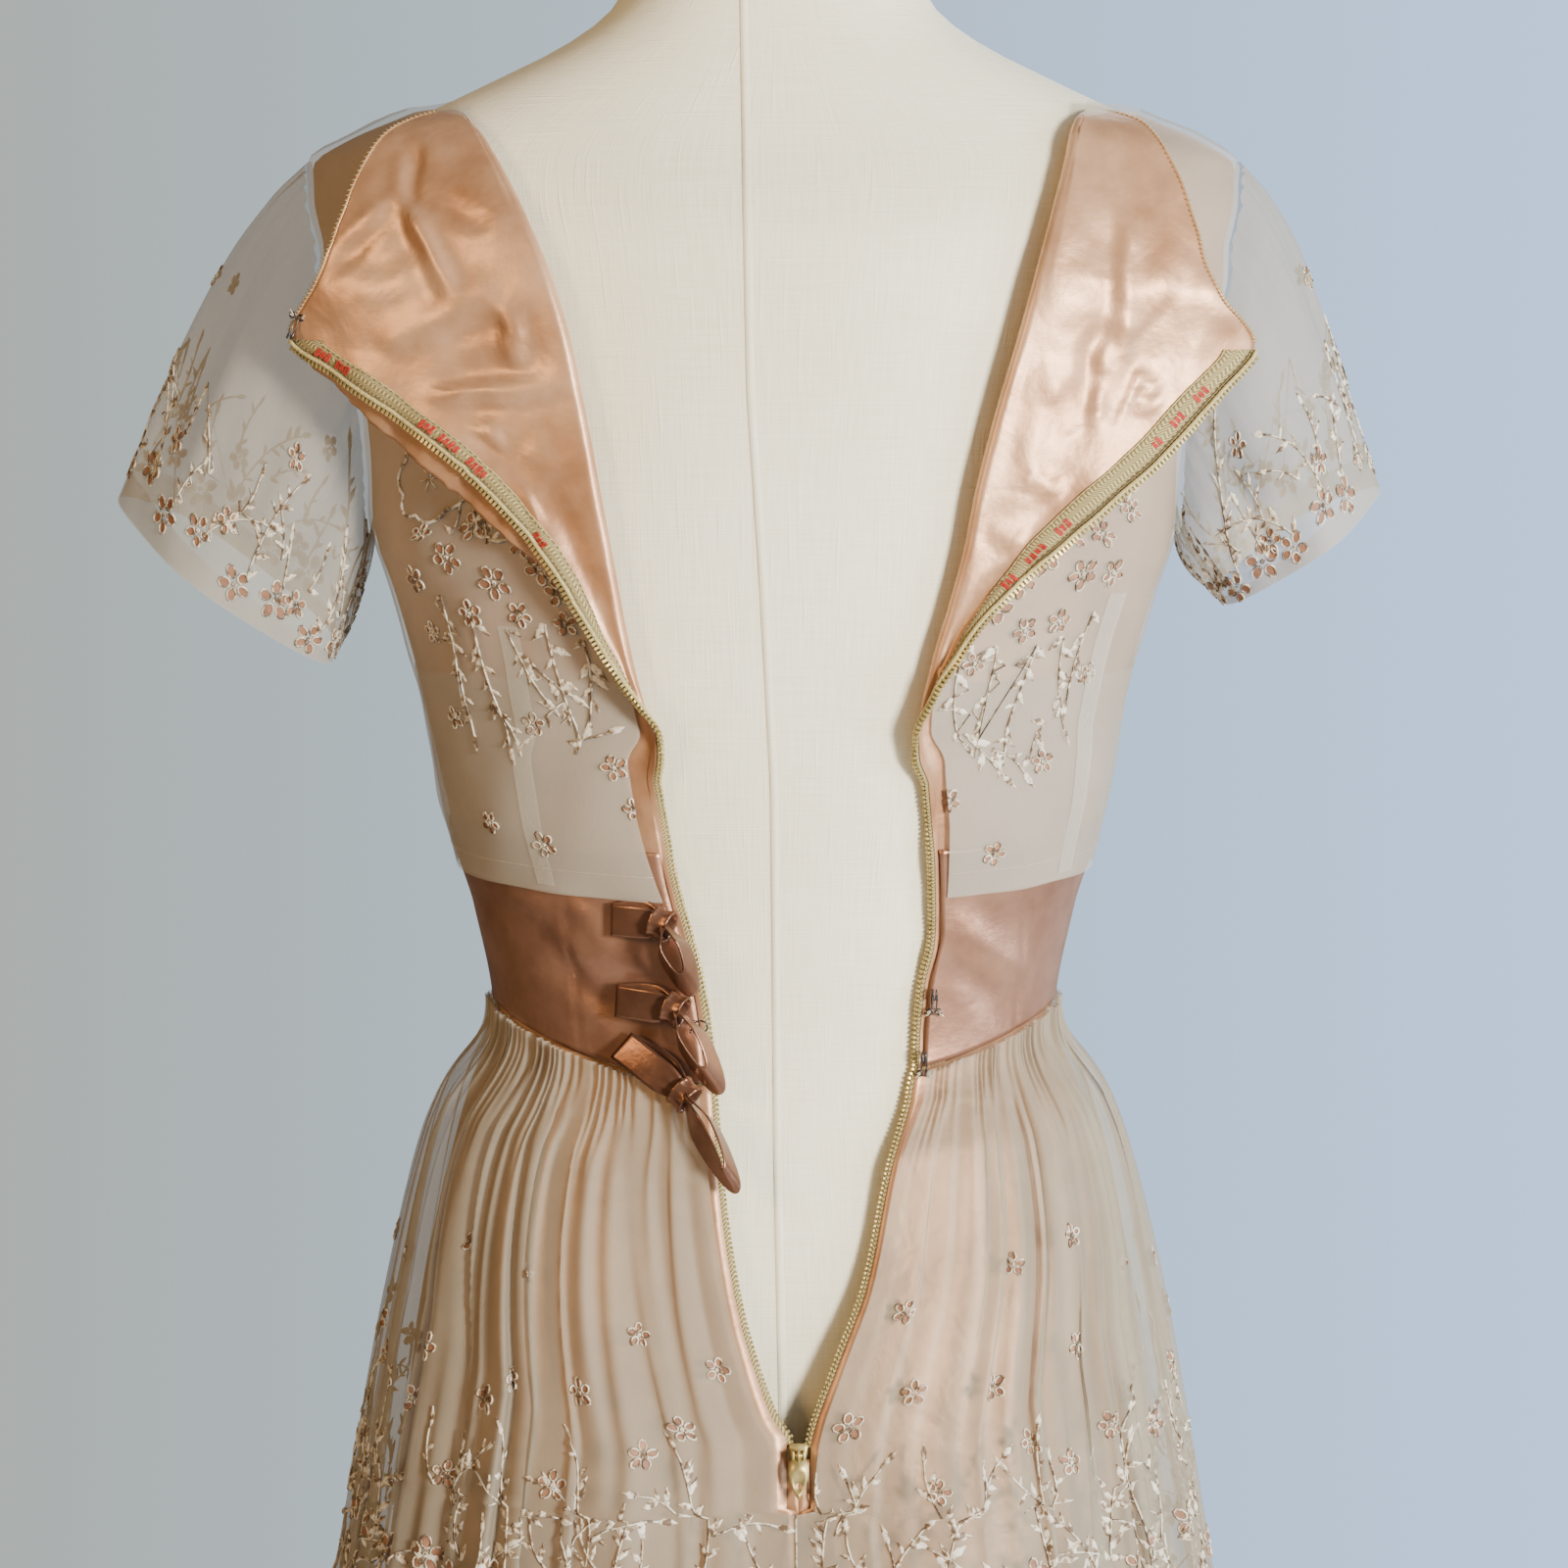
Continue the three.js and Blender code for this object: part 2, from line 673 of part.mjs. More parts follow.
// The overlay clears the midriff that it hangs over, and then lies on the lining.
const OVERLAY_LIFT = table(['level', 'lift'], [
  [1100, 3.6],
  [1130, 3.6],
  [1165, 2.0],
  [1200, 1.8],
  [1345, 1.8],
  [1380, 2.8],
  [1440, 2.8],
]);
// How far the organza's edge lies back from the chain, below the turned-out flaps.
const OVERLAY_EDGE = table(['level', 'left', 'right'], [
  [1100, 6, 6],
  [1145, 11, 9],
  [1165, 11, 9],
]);

function overlayEdge(side, level) {
  if (level <= FLAP.left[0].level) {
    return chainOut(side, level) + follow(OVERLAY_EDGE, 'level', side.name, level);
  }
  return foldAt(side, level).start + ROLL_CLEARANCE;
}

function addBodiceOverlay() {
  const levels = LEVELS.filter((level) => level >= OVERLAY_HEM);
  const liftAt = (level) => follow(OVERLAY_LIFT, 'level', 'lift', level);
  for (const side of SIDES) {
    const grid = levels.map((level) => {
      const section = bodiceSection(level);
      const from = sideAngle(level, section.back);
      const to = angleOut(section, overlayEdge(side, level));
      const row = [];
      for (let i = 0; i <= BACK_COLUMNS; i += 1) {
        const angle = THREE.MathUtils.lerp(from, to, i / BACK_COLUMNS);
        row.push(backPoint(side, level, angle, liftAt(level)));
      }
      return row;
    });
    add(`bodice_overlay_back_${side.name}`,
      clothWall(grid, ORGANZA, { mirrored: side.sign > 0 }), SHEER_ORGANZA);
  }
  const lining = frontGrid(levels, 0);
  const above = frontGrid(levels, 1);
  const front = lining.map((row, r) => row.map((point, c) => {
    const out = above[r][c].clone().sub(point);
    return point.clone().addScaledVector(out, liftAt(levels[r]));
  }));
  add('bodice_overlay_front', clothWall(front, ORGANZA), SHEER_ORGANZA);
}

// ---- Midriff band ----

const MIDRIFF_LIFT = 1.7;
const MIDRIFF_EDGE = 4.6;

function addMidriff() {
  const levels = LEVELS.filter((level) => level <= MIDRIFF_TOP)
    .map((level) => (level === WAIST ? WAIST + SEAM : level));
  for (const side of SIDES) {
    const grid = levels.map((level) => {
      const section = bodiceSection(level);
      const to = angleOut(section, chainOut(side, level) + MIDRIFF_EDGE);
      const row = [];
      for (let i = 0; i <= BACK_COLUMNS; i += 1) {
        const angle = THREE.MathUtils.lerp(QUARTER, to, i / BACK_COLUMNS);
        row.push(backPoint(side, level, angle, MIDRIFF_LIFT));
      }
      return row;
    });
    add(`midriff_back_${side.name}`, clothWall(grid, SATIN, { mirrored: side.sign > 0 }),
      ROSE_SATIN);
  }
  add('midriff_front', clothWall(frontGrid(levels, MIDRIFF_LIFT), SATIN), ROSE_SATIN);
}

// ---- Sleeves ----

function armholePoint(side, turn, lift) {
  const height = ARMHOLE.level + ARMHOLE.halfHeight * Math.cos(turn);
  const depth = ARMHOLE.halfDepth * Math.sin(turn);
  const section = bodiceSection(height);
  const reach = depth > 0 ? section.back : section.front;
  const share = (Math.abs(depth) / reach) ** SQUARENESS;
  const out = section.side * (1 - share) ** (1 / SQUARENESS);
  return new THREE.Vector3(side.sign * (out + lift), -depth, height);
}

function cuffPoint(side, turn) {
  const cuff = CUFF[side.name];
  const [wide, high] = cuff.outer;
  const depth = cuff.halfDepth * Math.sin(turn);
  return new THREE.Vector3(
    side.sign * (cuff.out + (wide / 2) * Math.cos(turn)),
    CUFF_FORWARD - depth,
    cuff.level + (high / 2) * Math.cos(turn) - cuff.dip * depth,
  );
}

// How far the sleeve swells, most over the shoulder, on its way from armhole to cuff.
const SLEEVE_ROWS = table(['along', 'swell'], [
  [0, 0],
  [0.12, 5],
  [0.3, 7.5],
  [0.55, 6],
  [0.8, 3],
  [1, 0],
]);

function addSleeves() {
  for (const side of SIDES) {
    const grid = SLEEVE_ROWS.map(({ along, swell }) => {
      const row = [];
      for (let i = 0; i < SLEEVE_SEGMENTS; i += 1) {
        const turn = (i / SLEEVE_SEGMENTS) * 4 * QUARTER;
        const point = armholePoint(side, turn, SLEEVE_LIFT).lerp(cuffPoint(side, turn), along);
        const wave = SLEEVE_WAVE.height * along * Math.sin(SLEEVE_WAVE.count * turn + 1);
        const push = swell * (0.65 + 0.35 * Math.cos(turn)) + wave;
        point.x += side.sign * push * Math.cos(turn) * 0.8;
        point.y -= push * Math.sin(turn);
        point.z += push * Math.cos(turn) * 0.6;
        row.push(point);
      }
      return row;
    });
    grid.reverse();
    add(`sleeve_${side.name}`,
      clothWall(grid, ORGANZA, { mirrored: side.sign < 0, ring: true }), SHEER_ORGANZA);
  }
}

// ---- Skirt ----

const SKIRT_SPRING = 40; // how far below the waist the skirt leaves the body's own line
const LOWEST_BODY = 1020;
const SKIRT_OVERLAY_LIFT = 3.6;

// The mean section at a level: it leaves the waist on the body's own line and then flares.
function skirtSection(rows, level, height) {
  const blend = ease01((WAIST - level) / SKIRT_SPRING);
  const body = bodiceSection(Math.max(height, LOWEST_BODY));
  const away = rows === SKIRT ? SKIRT_OVERLAY_LIFT : 0;
  const mix = (column) => THREE.MathUtils.lerp(
    body[column] + away, follow(rows, 'level', column, level), blend);
  return { side: mix('side'), back: mix('back'), front: mix('front') };
}

// How far a fold pushes the cloth out, at a share of a panel's width. Folds are uneven.
function foldWave(share, folds, seed) {
  const warped = share + 0.02 * Math.sin(6 * Math.PI * share + seed);
  const size = 0.82 + 0.18 * Math.sin(4.4 * Math.PI * share + 2 * seed);
  return size * Math.sin(2 * Math.PI * folds * warped);
}

// The panel's edge at the centre back: the zip's opening, the slot round the slider, and
// the seam below it.
function skirtEdge(side, level, inset) {
  if (level <= ZIP_END) return side.sign * CENTRE_SEAM + SEAM / 2;
  const slot = side.sign * CENTRE_SEAM + SLOT;
  return Math.max(chainOut(side, level) + inset, slot);
}

function skirtPanel(rows, columns, options) {
  const { side, folds, seed, inset, hem } = options;
  const levels = [...options.levels, hem].reverse();
  return levels.map((level) => {
    const start = level === WAIST ? WAIST - 2 * SEAM : level;
    const fold = follow(rows, 'level', 'fold', level);
    const row = [];
    for (let i = 0; i <= columns; i += 1) {
      const share = i / columns;
      const calm = ease01(share * folds) * ease01((1 - share) * folds);
      const place = (angle) => {
        const outShare = power(Math.sin(angle), 2 / SQUARENESS);
        const height = dippedHeight(start, side ? outShare : 1);
        return { height, section: skirtSection(rows, start, height) };
      };
      let angle;
      if (side) {
        const edge = skirtEdge(side, start, inset);
        const to = angleOut(place(0).section, edge);
        const from = QUARTER - SEAM / 2 / place(0).section.side;
        angle = side.sign * THREE.MathUtils.lerp(from, to, share);
      } else {
        const from = QUARTER + SEAM / 2 / place(0).section.side;
        angle = THREE.MathUtils.lerp(from, 4 * QUARTER - from, share);
      }
      const { height, section } = place(angle);
      const point = onSection(section, height, angle);
      const hug = edgeHug(rows, side, level, share, section);
      const push = fold * calm * hug.fold * foldWave(share, folds, seed);
      const outwards = onSection(section, height, angle).setZ(0).normalize();
      row.push(point.addScaledVector(outwards, push - hug.inwards));
    }
    return row;
  });
}

// Beside the zip the organza is drawn in to the lining that it is sewn to. The width is a
// share of the panel, and the run is how far below the zip this fades out.
const HUG = { width: 0.25, run: 60, clearance: 3.8, foldsLeft: 0.15 };

function edgeHug(rows, side, level, share, section) {
  const drawn = THREE.MathUtils.clamp((level - ZIP_END) / HUG.run + 1, 0, 1);
  if (rows !== SKIRT || !side || drawn === 0) return { fold: 1, inwards: 0 };
  const lining = skirtSection(SKIRT_LINING, level, dippedHeight(level, HUG.width));
  const spare = Math.max(section.back - lining.back - HUG.clearance, 0);
  const close = ease01((share - 1) / HUG.width + 1) * drawn;
  return { fold: 1 - (1 - HUG.foldsLeft) * close, inwards: spare * close };
}

function addSkirt() {
  const grids = {};
  for (const side of SIDES) {
    const seed = side.sign > 0 ? 1.3 : 0.4;
    const lining = skirtPanel(SKIRT_LINING, 8,
      { side, folds: 2, seed, inset: LINING_EDGE, hem: LINING_HEM, levels: SKIRT_LEVELS.lining });
    grids[side.name] = lining;
    const mirrored = side.sign > 0;
    add(`skirt_lining_back_${side.name}`, clothWall(lining, SATIN, { mirrored }), PEACH_SATIN);
    const sheer = skirtPanel(SKIRT, 36,
      { side, folds: 9, seed, inset: SKIRT_OVERLAY_EDGE, hem: HEM, levels: SKIRT_LEVELS.overlay });
    add(`skirt_overlay_back_${side.name}`, clothWall(sheer, ORGANZA, { mirrored }),
      SHEER_ORGANZA);
  }
  const front = skirtPanel(SKIRT_LINING, 20,
    { side: null, folds: 5, seed: 2.1, hem: LINING_HEM, levels: SKIRT_LEVELS.front });
  add('skirt_lining_front', clothWall(front, SATIN), PEACH_SATIN);
  const sheerFront = skirtPanel(SKIRT, 64,
    { side: null, folds: 16, seed: 2.1, hem: HEM, levels: SKIRT_LEVELS.front });
  add('skirt_overlay_front', clothWall(sheerFront, ORGANZA), SHEER_ORGANZA);
  return grids;
}

// ---- Zip ----

// The tape's cross-section. Back is the distance in from the satin's edge, along the cloth,
// and up is the distance off its inner face.
const TAPE_END = 890; // the tape runs on down to here, beside the slider
const TAPE_FLOOR = 1.4;
const TAPE_SECTION = table(['back', 'up'], [
  [8.5, TAPE_FLOOR],
  [4.2, TAPE_FLOOR],
  [-1.0, TAPE_FLOOR],
  [-1.0, 0.3],
  [-3.9, 0.3],
  [-3.9, 2.7],
  [-1.0, 2.7],
  [-1.0, TAPE_FLOOR + TAPE],
  [4.2, TAPE_FLOOR + TAPE],
  [8.5, TAPE_FLOOR + TAPE],
]);

// Where the panel rolls over, the tape is creased and lies narrower.
const TAPE_SPREAD = table(['level', 'share'], [
  [1126, 1],
  [1145, 0.5],
  [1165, 0.25],
  [1200, 0.28],
  [1220, 0.8],
  [1243, 1],
]);

// The point of a row that lies a distance back from its free edge, and the way out there.
function alongRow(row, back) {
  let i = row.length - 1;
  let left = back;
  while (i > 1 && left > row[i].distanceTo(row[i - 1])) {
    left -= row[i].distanceTo(row[i - 1]);
    i -= 1;
  }
  const out = row[i].clone().sub(row[i - 1]).normalize();
  return { point: row[i].clone().addScaledVector(out, -left), out };
}

function addZipTapes(bodice, skirt) {
  for (const side of SIDES) {
    const below = SKIRT_LEVELS.lining.filter((level) => level > TAPE_END && level < WAIST).length;
    const skirtRows = skirt[side.name].slice(-1 - below, -1);
    const top = LEVELS.indexOf(ZIP_TOP_LEVEL);
    const rows = [...skirtRows, ...bodice[side.name].slice(0, top + 1)];
    const levels = [...skirtRows.map(() => WAIST), ...LEVELS.slice(0, top + 1)];
    const rings = rows.map((row, i) => {
      const before = rows[Math.max(i - 1, 0)].at(-1);
      const after = rows[Math.min(i + 1, rows.length - 1)].at(-1);
      const along = after.clone().sub(before).normalize();
      return TAPE_SECTION.map(({ back, up }) => {
        const spread = straight(TAPE_SPREAD, 'level', 'share', levels[i]);
        const { point, out } = alongRow(row, Math.max(back, 0) * spread);
        const face = out.clone().cross(along).normalize().multiplyScalar(side.sign);
        const across = out.addScaledVector(along, -out.dot(along)).normalize();
        return point.addScaledVector(across, Math.max(-back, 0)).addScaledVector(face, up);
      });
    });
    if (side.sign > 0) rings.forEach((ring) => ring.reverse());
    add(`zip_tape_${side.name}`, loft(rings), ZIP_COTTON);
  }
}

// A right-handed placement: x, y and z axes and an origin.
function placed(geometry, x, y, z, origin) {
  return geometry.applyMatrix4(new THREE.Matrix4().makeBasis(x, y, z).setPosition(origin));
}

// The slider fills the slot at the foot of the opening, and its tab hangs on a pin.
function addSlider(skirt) {
  const edgeAt = (name, level) => {
    const rows = [...SKIRT_LEVELS.lining, LINING_HEM].reverse();
    return skirt[name][rows.indexOf(level)].at(-1);
  };
  const middle = (level) => edgeAt('left', level).clone().add(edgeAt('right', level))
    .multiplyScalar(0.5).setX(CENTRE_SEAM);
  const top = middle(SLIDER_RUN.top);
  const down = middle(SLIDER_RUN.foot).sub(top).normalize();
  const right = new THREE.Vector3(1, 0, 0);
  const out = down.clone().cross(right);
  const centre = top.clone().addScaledVector(down, (top.z - SLIDER.level) / -down.z);

  const { length, width, thickness } = SLIDER;
  const outline = new THREE.Shape();
  outline.moveTo(-width / 2, length / 2);
  outline.lineTo(width / 2, length / 2);
  outline.quadraticCurveTo(width / 2, -length / 3, width / 4, -length / 2);
  outline.lineTo(-width / 4, -length / 2);
  outline.quadraticCurveTo(-width / 2, -length / 3, -width / 2, length / 2);
  const body = new THREE.ExtrudeGeometry(outline,
    { depth: thickness, bevelEnabled: false, curveSegments: 5 });
  body.translate(0, 0, -thickness / 2);
  let solid = toSolid(body);
  const lugHeight = PIN.lift + LUG.rise;
  for (const sign of [-1, 1]) {
    const lug = new THREE.BoxGeometry(LUG.thickness, LUG.depth, lugHeight);
    lug.translate((sign * (LUG.gap + LUG.thickness)) / 2, PIN.along, lugHeight / 2);
    solid = solid.add(toSolid(lug));
  }
  const pin = new THREE.CylinderGeometry(PIN.radius, PIN.radius, LUG.gap + LUG.thickness, 12);
  pin.rotateZ(QUARTER);
  pin.translate(0, PIN.along, PIN.lift);
  solid = solid.add(toSolid(pin));
  const up = down.clone().negate();
  add('zip_slider', placed(fromSolid(solid), right, up, out, centre), BRASS);

  const rim = PULL.eyeRadius + PULL.eyeWall;
  const half = PULL.width / 2;
  const tip = -PULL.length;
  const tab = new THREE.Shape();
  tab.moveTo(-PULL.neck, rim);
  tab.lineTo(PULL.neck, rim);
  tab.lineTo(PULL.neck, -rim);
  tab.quadraticCurveTo(half, -rim - 1, half, -rim - PULL.shoulder);
  tab.quadraticCurveTo(half, tip + PULL.taper, 0, tip);
  tab.quadraticCurveTo(-half, tip + PULL.taper, -half, -rim - PULL.shoulder);
  tab.quadraticCurveTo(-half, -rim - 1, -PULL.neck, -rim);
  const plate = new THREE.ExtrudeGeometry(tab,
    { depth: PULL.thickness, bevelEnabled: false, curveSegments: 5 });
  plate.translate(0, 0, -PULL.thickness / 2);
  const barrel = new THREE.CylinderGeometry(rim, rim, PULL.barrel, 14);
  barrel.rotateZ(QUARTER);
  const bore = new THREE.CylinderGeometry(PULL.eyeRadius, PULL.eyeRadius, 2 * PULL.barrel, 14);
  bore.rotateZ(QUARTER);
  const pull = toSolid(plate).add(toSolid(barrel)).subtract(toSolid(bore));
  const pivot = centre.clone().addScaledVector(up, PIN.along).addScaledVector(out, PIN.lift);
  add('zip_pull_tab', placed(fromSolid(pull), right, up, out, pivot), BRASS);
}

// ---- Ribbon bows ----

const NEAR_DIP = 22; // how far the level lines have dipped beside the opening

// A point over the wearer's left back, by distance out, height and lift off the satin.
function overLeftBack(out, height, lift) {
  const level = height + NEAR_DIP;
  const section = level >= WAIST
    ? bodiceSection(height) : skirtSection(SKIRT_LINING, level, height);
  const point = onSection(section, height, -angleOut(section, out));
  return point.setY(point.y - lift);
}

// A loop of ribbon between two points. Its width runs along the given direction.
function ribbonLoop(from, to, width, halfOpening) {
  const along = to.clone().sub(from);
  const length = along.length();
  along.normalize();
  const across = width.clone().addScaledVector(along, -width.dot(along)).normalize();
  const loop = new THREE.Shape();
  loop.absellipse(length / 2, 0, length / 2, halfOpening, 0, 4 * QUARTER);
  const hole = new THREE.Path();
  hole.absellipse(length / 2, 0, length / 2 - 2 * RIBBON, halfOpening - RIBBON, 0, 4 * QUARTER,
    true);
  loop.holes.push(hole);
  const band = new THREE.ExtrudeGeometry(loop,
    { depth: RIBBON_WIDTH, bevelEnabled: false, curveSegments: 5 });
  band.translate(0, 0, -RIBBON_WIDTH / 2);
  return toSolid(placed(band, along, across.clone().cross(along), across, from));
}

function addBows() {
  BOWS.forEach(({ knot, flatTip, hangTip, hangTurn, lift }, i) => {
    const centre = overLeftBack(...knot, lift + BOW.knotRise);
    const flatEnd = overLeftBack(...flatTip, lift);
    const hangStart = overLeftBack(...knot, lift + BOW.hangRise);
    const hangEnd = overLeftBack(...hangTip, lift + BOW.hangRise);
    const normal = new THREE.Vector3(0, -1, 0);
    const flatRun = flatEnd.clone().sub(centre);
    const flatWidth = flatRun.clone().cross(normal);
    const flat = ribbonLoop(centre, flatEnd, flatWidth, BOW.flatOpening);
    const hangRun = hangEnd.clone().sub(hangStart).normalize();
    const turn = hangTurn * QUARTER;
    const hangWidth = normal.clone().multiplyScalar(Math.cos(turn))
      .addScaledVector(hangRun.clone().cross(normal), Math.sin(turn));
    const hang = ribbonLoop(hangStart, hangEnd, hangWidth, BOW.hangOpening);
    const wrap = new THREE.CylinderGeometry(BOW.knotRadius, BOW.knotRadius, BOW.knotLength, 8);
    wrap.scale(1.25, 1, 0.95);
    const wrapAxis = flatRun.normalize();
    const side = normal.clone().cross(wrapAxis).normalize();
    placed(wrap, side, wrapAxis, side.clone().cross(wrapAxis), centre);
    const bow = flat.add(hang).add(toSolid(wrap));
    add(`bow_${i + 1}`, fromSolid(bow), ROSE_SATIN);
  });
}

// ---- Hooks and eye ----

const WIRE_RADIUS = 0.5;
const HOOK_PATH = table(['out', 'up'],
  [[0, 0], [4, 0], [7, 0.4], [8.2, 1.8], [7, 3.2], [4.5, 3.2]]);
const EYE_PATH = table(['out', 'up'],
  [[0, -2.4], [3, -2.4], [5.4, -1.2], [5.4, 1.2], [3, 2.4], [0, 2.4]]);
const NECK_HOOK = new THREE.Vector3(5, -3.8, 4.5); // from the left flap's corner
const WAIST_HOOKS = { lower: [62.5, 1036, 4.6], upper: [66, 1062, 5.6] };
const WAIST_EYE = { out: 32, height: 1052.5, lift: 4.7 };

function wire(name, path, origin, outwards, upwards) {
  const points = path.map(({ out, up }) => origin.clone().addScaledVector(outwards, out)
    .addScaledVector(upwards, up));
  const section = new THREE.Shape();
  section.absarc(0, 0, WIRE_RADIUS, 0, 4 * QUARTER);
  const route = new THREE.CatmullRomCurve3(points);
  const geometry = new THREE.ExtrudeGeometry(section,
    { steps: 8, extrudePath: route, curveSegments: 3 });
  add(name, geometry, STEEL);
}

function addHooks(bodice) {
  const normal = new THREE.Vector3(0, -1, 0);
  const left = new THREE.Vector3(-1, 0, 0);
  const corner = bodice.left[LEVELS.indexOf(ZIP_TOP_LEVEL)].at(-1);
  wire('hook_neck', HOOK_PATH, corner.clone().add(NECK_HOOK), left, normal);
  for (const name of ['lower', 'upper']) {
    const [out, height, lift] = WAIST_HOOKS[name];
    const angle = angleOut(bodiceSection(height), out);
    const place = lifted(bodiceSection, height, angle, lift);
    wire(`hook_waist_${name}`, HOOK_PATH, place, left, normal);
  }
  const { out, height, lift } = WAIST_EYE;
  const eye = lifted(bodiceSection, height, -angleOut(bodiceSection(height), out), lift);
  wire('eye_waist', EYE_PATH, eye, left.clone().negate(), new THREE.Vector3(0, 0, 1));
}

addStand();
const bodiceGrids = addBodiceLining();
addBodiceOverlay();
addMidriff();
addSleeves();
const skirtGrids = addSkirt();
addZipTapes(bodiceGrids, skirtGrids);
addSlider(skirtGrids);
addBows();
addHooks(bodiceGrids);

export default dress;
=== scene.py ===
import math
import random

import bmesh
import bpy
import numpy as np
from mathutils import Matrix, Vector


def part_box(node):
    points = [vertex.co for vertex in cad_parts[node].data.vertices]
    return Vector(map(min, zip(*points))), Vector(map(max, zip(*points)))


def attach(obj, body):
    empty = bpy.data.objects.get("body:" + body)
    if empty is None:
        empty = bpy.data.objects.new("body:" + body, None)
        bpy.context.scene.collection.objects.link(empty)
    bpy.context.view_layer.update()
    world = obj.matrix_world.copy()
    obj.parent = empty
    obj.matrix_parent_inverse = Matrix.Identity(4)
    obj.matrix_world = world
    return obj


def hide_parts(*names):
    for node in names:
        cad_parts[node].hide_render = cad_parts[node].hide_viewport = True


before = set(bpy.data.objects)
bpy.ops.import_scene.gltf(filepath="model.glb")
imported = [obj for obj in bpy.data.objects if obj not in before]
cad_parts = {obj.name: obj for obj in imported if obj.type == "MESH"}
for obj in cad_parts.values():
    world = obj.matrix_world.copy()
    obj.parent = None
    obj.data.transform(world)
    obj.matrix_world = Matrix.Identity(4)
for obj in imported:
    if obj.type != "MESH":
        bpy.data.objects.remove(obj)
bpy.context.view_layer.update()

# Metres, in the frame's axes: -Y is the wearer's back, where the zip is, and +X the wearer's
# right. Grids of points run upwards by row, and along the cloth by column.

# ---- Camera, floor and light ----
# A plain studio: a pale round floor, a broad cool light from the right of the opening, a
# weak warm one from its left, and a soft sky all round.

camera = bpy.data.objects.new("camera", bpy.data.cameras.new("camera"))
camera.data.lens = 77.4
camera.data.sensor_width = 36
camera.location = (0.0041, -1.400, 1.3103)
camera.rotation_euler = (math.radians(83), 0, 0)
bpy.context.scene.collection.objects.link(camera)
bpy.context.scene.camera = camera

FLOOR_RADIUS = 1.3

floor_bm = bmesh.new()
bmesh.ops.create_circle(floor_bm, cap_ends=True, segments=96, radius=FLOOR_RADIUS)
floor_mesh = bpy.data.meshes.new("floor")
floor_bm.to_mesh(floor_mesh)
floor_bm.free()
floor = bpy.data.objects.new("floor", floor_mesh)
bpy.context.scene.collection.objects.link(floor)
floor_material = bpy.data.materials.new("studio_floor")
floor_material.use_nodes = True
floor_shader = floor_material.node_tree.nodes["Principled BSDF"]
floor_shader.inputs["Base Color"].default_value = (0.62, 0.65, 0.68, 1)
floor_shader.inputs["Roughness"].default_value = 0.8
floor_mesh.materials.append(floor_material)


def add_light(name, place, aim, size, power, colour):
    light = bpy.data.lights.new(name, "AREA")
    light.size = size
    light.energy = power
    light.color = colour
    lamp = bpy.data.objects.new(name, light)
    lamp.location = place
    lamp.rotation_euler = (Vector(aim) - Vector(place)).to_track_quat("-Z", "Y").to_euler()
    bpy.context.scene.collection.objects.link(lamp)


CHEST = (0, 0, 1.25)
add_light("key_light", (1.45, -1.90, 1.40), (0.05, 0, 1.15), 0.45, 121, (1.0, 0.95, 0.87))
add_light("side_light", (2.3, -0.9, 1.3), CHEST, 0.9, 38, (0.78, 0.89, 1.0))
add_light("fill_light", (-1.5, -1.5, 1.8), CHEST, 0.6, 23, (1.0, 0.66, 0.32))
add_light("back_light", (0.4, 2.2, 2.2), CHEST, 1.2, 18, (0.92, 0.96, 1.0))

world = bpy.data.worlds.new("studio")
bpy.context.scene.world = world
world.use_nodes = True
sky = world.node_tree.nodes["Background"]
sky.inputs["Strength"].default_value = 1.0
# The backdrop that the camera sees is coloured by direction, darker and warmer to the left and
# lighter and bluer to the right: painted shade and light on a plain wall.
backdrop = world.node_tree.nodes.new("ShaderNodeBackground")
which = world.node_tree.nodes.new("ShaderNodeMixShader")
seen = world.node_tree.nodes.new("ShaderNodeLightPath")
heading = world.node_tree.nodes.new("ShaderNodeTexCoord")
split = world.node_tree.nodes.new("ShaderNodeSeparateXYZ")
fade = world.node_tree.nodes.new("ShaderNodeMapRange")
backdrop_painted_light = world.node_tree.nodes.new("ShaderNodeValToRGB")
fade.inputs["From Min"].default_value = -0.24
fade.inputs["From Max"].default_value = 0.24
around = world.node_tree.nodes.new("ShaderNodeMapRange")
around.inputs["From Min"].default_value = -1
glow = world.node_tree.nodes.new("ShaderNodeValToRGB")
for ramp, middle, shades in (
        (backdrop_painted_light, 0.45, [(0.50, 0.54, 0.51), (0.60, 0.76, 0.88), (0.76, 1.06, 1.60)]),
        (glow, 0.5, [(0.04, 0.03, 0.02), (0.13, 0.12, 0.115), (0.70, 0.82, 0.98)])):
    ramp.color_ramp.elements.new(middle)
    for stop, place, shade in zip(ramp.color_ramp.elements, (0.0, middle, 1.0), shades):
        stop.position = place
        stop.color = (*shade, 1)
for start, end in (
        (heading.outputs["Generated"], split.inputs["Vector"]),
        (split.outputs["X"], fade.inputs["Value"]),
        (fade.outputs["Result"], backdrop_painted_light.inputs["Fac"]),
        (backdrop_painted_light.outputs["Color"], backdrop.inputs["Color"]),
        (split.outputs["X"], around.inputs["Value"]),
        (around.outputs["Result"], glow.inputs["Fac"]),
        (glow.outputs["Color"], sky.inputs["Color"]),
        (seen.outputs["Is Camera Ray"], which.inputs["Fac"]),
        (sky.outputs["Background"], which.inputs[1]),
        (backdrop.outputs["Background"], which.inputs[2]),
        (which.outputs["Shader"], world.node_tree.nodes["World Output"].inputs["Surface"])):
    world.node_tree.links.new(start, end)

# ---- Dress form ----
# A limbless display form: a padded torso under a tight cover of plain slubby linen, sewn
# with a seam down the centre back and one down the centre front, and closed by a turned neck cap.

SQUARENESS = 2.3  # exponent of the body's rounded sections; 2 is an ellipse
QUARTER = math.pi / 2


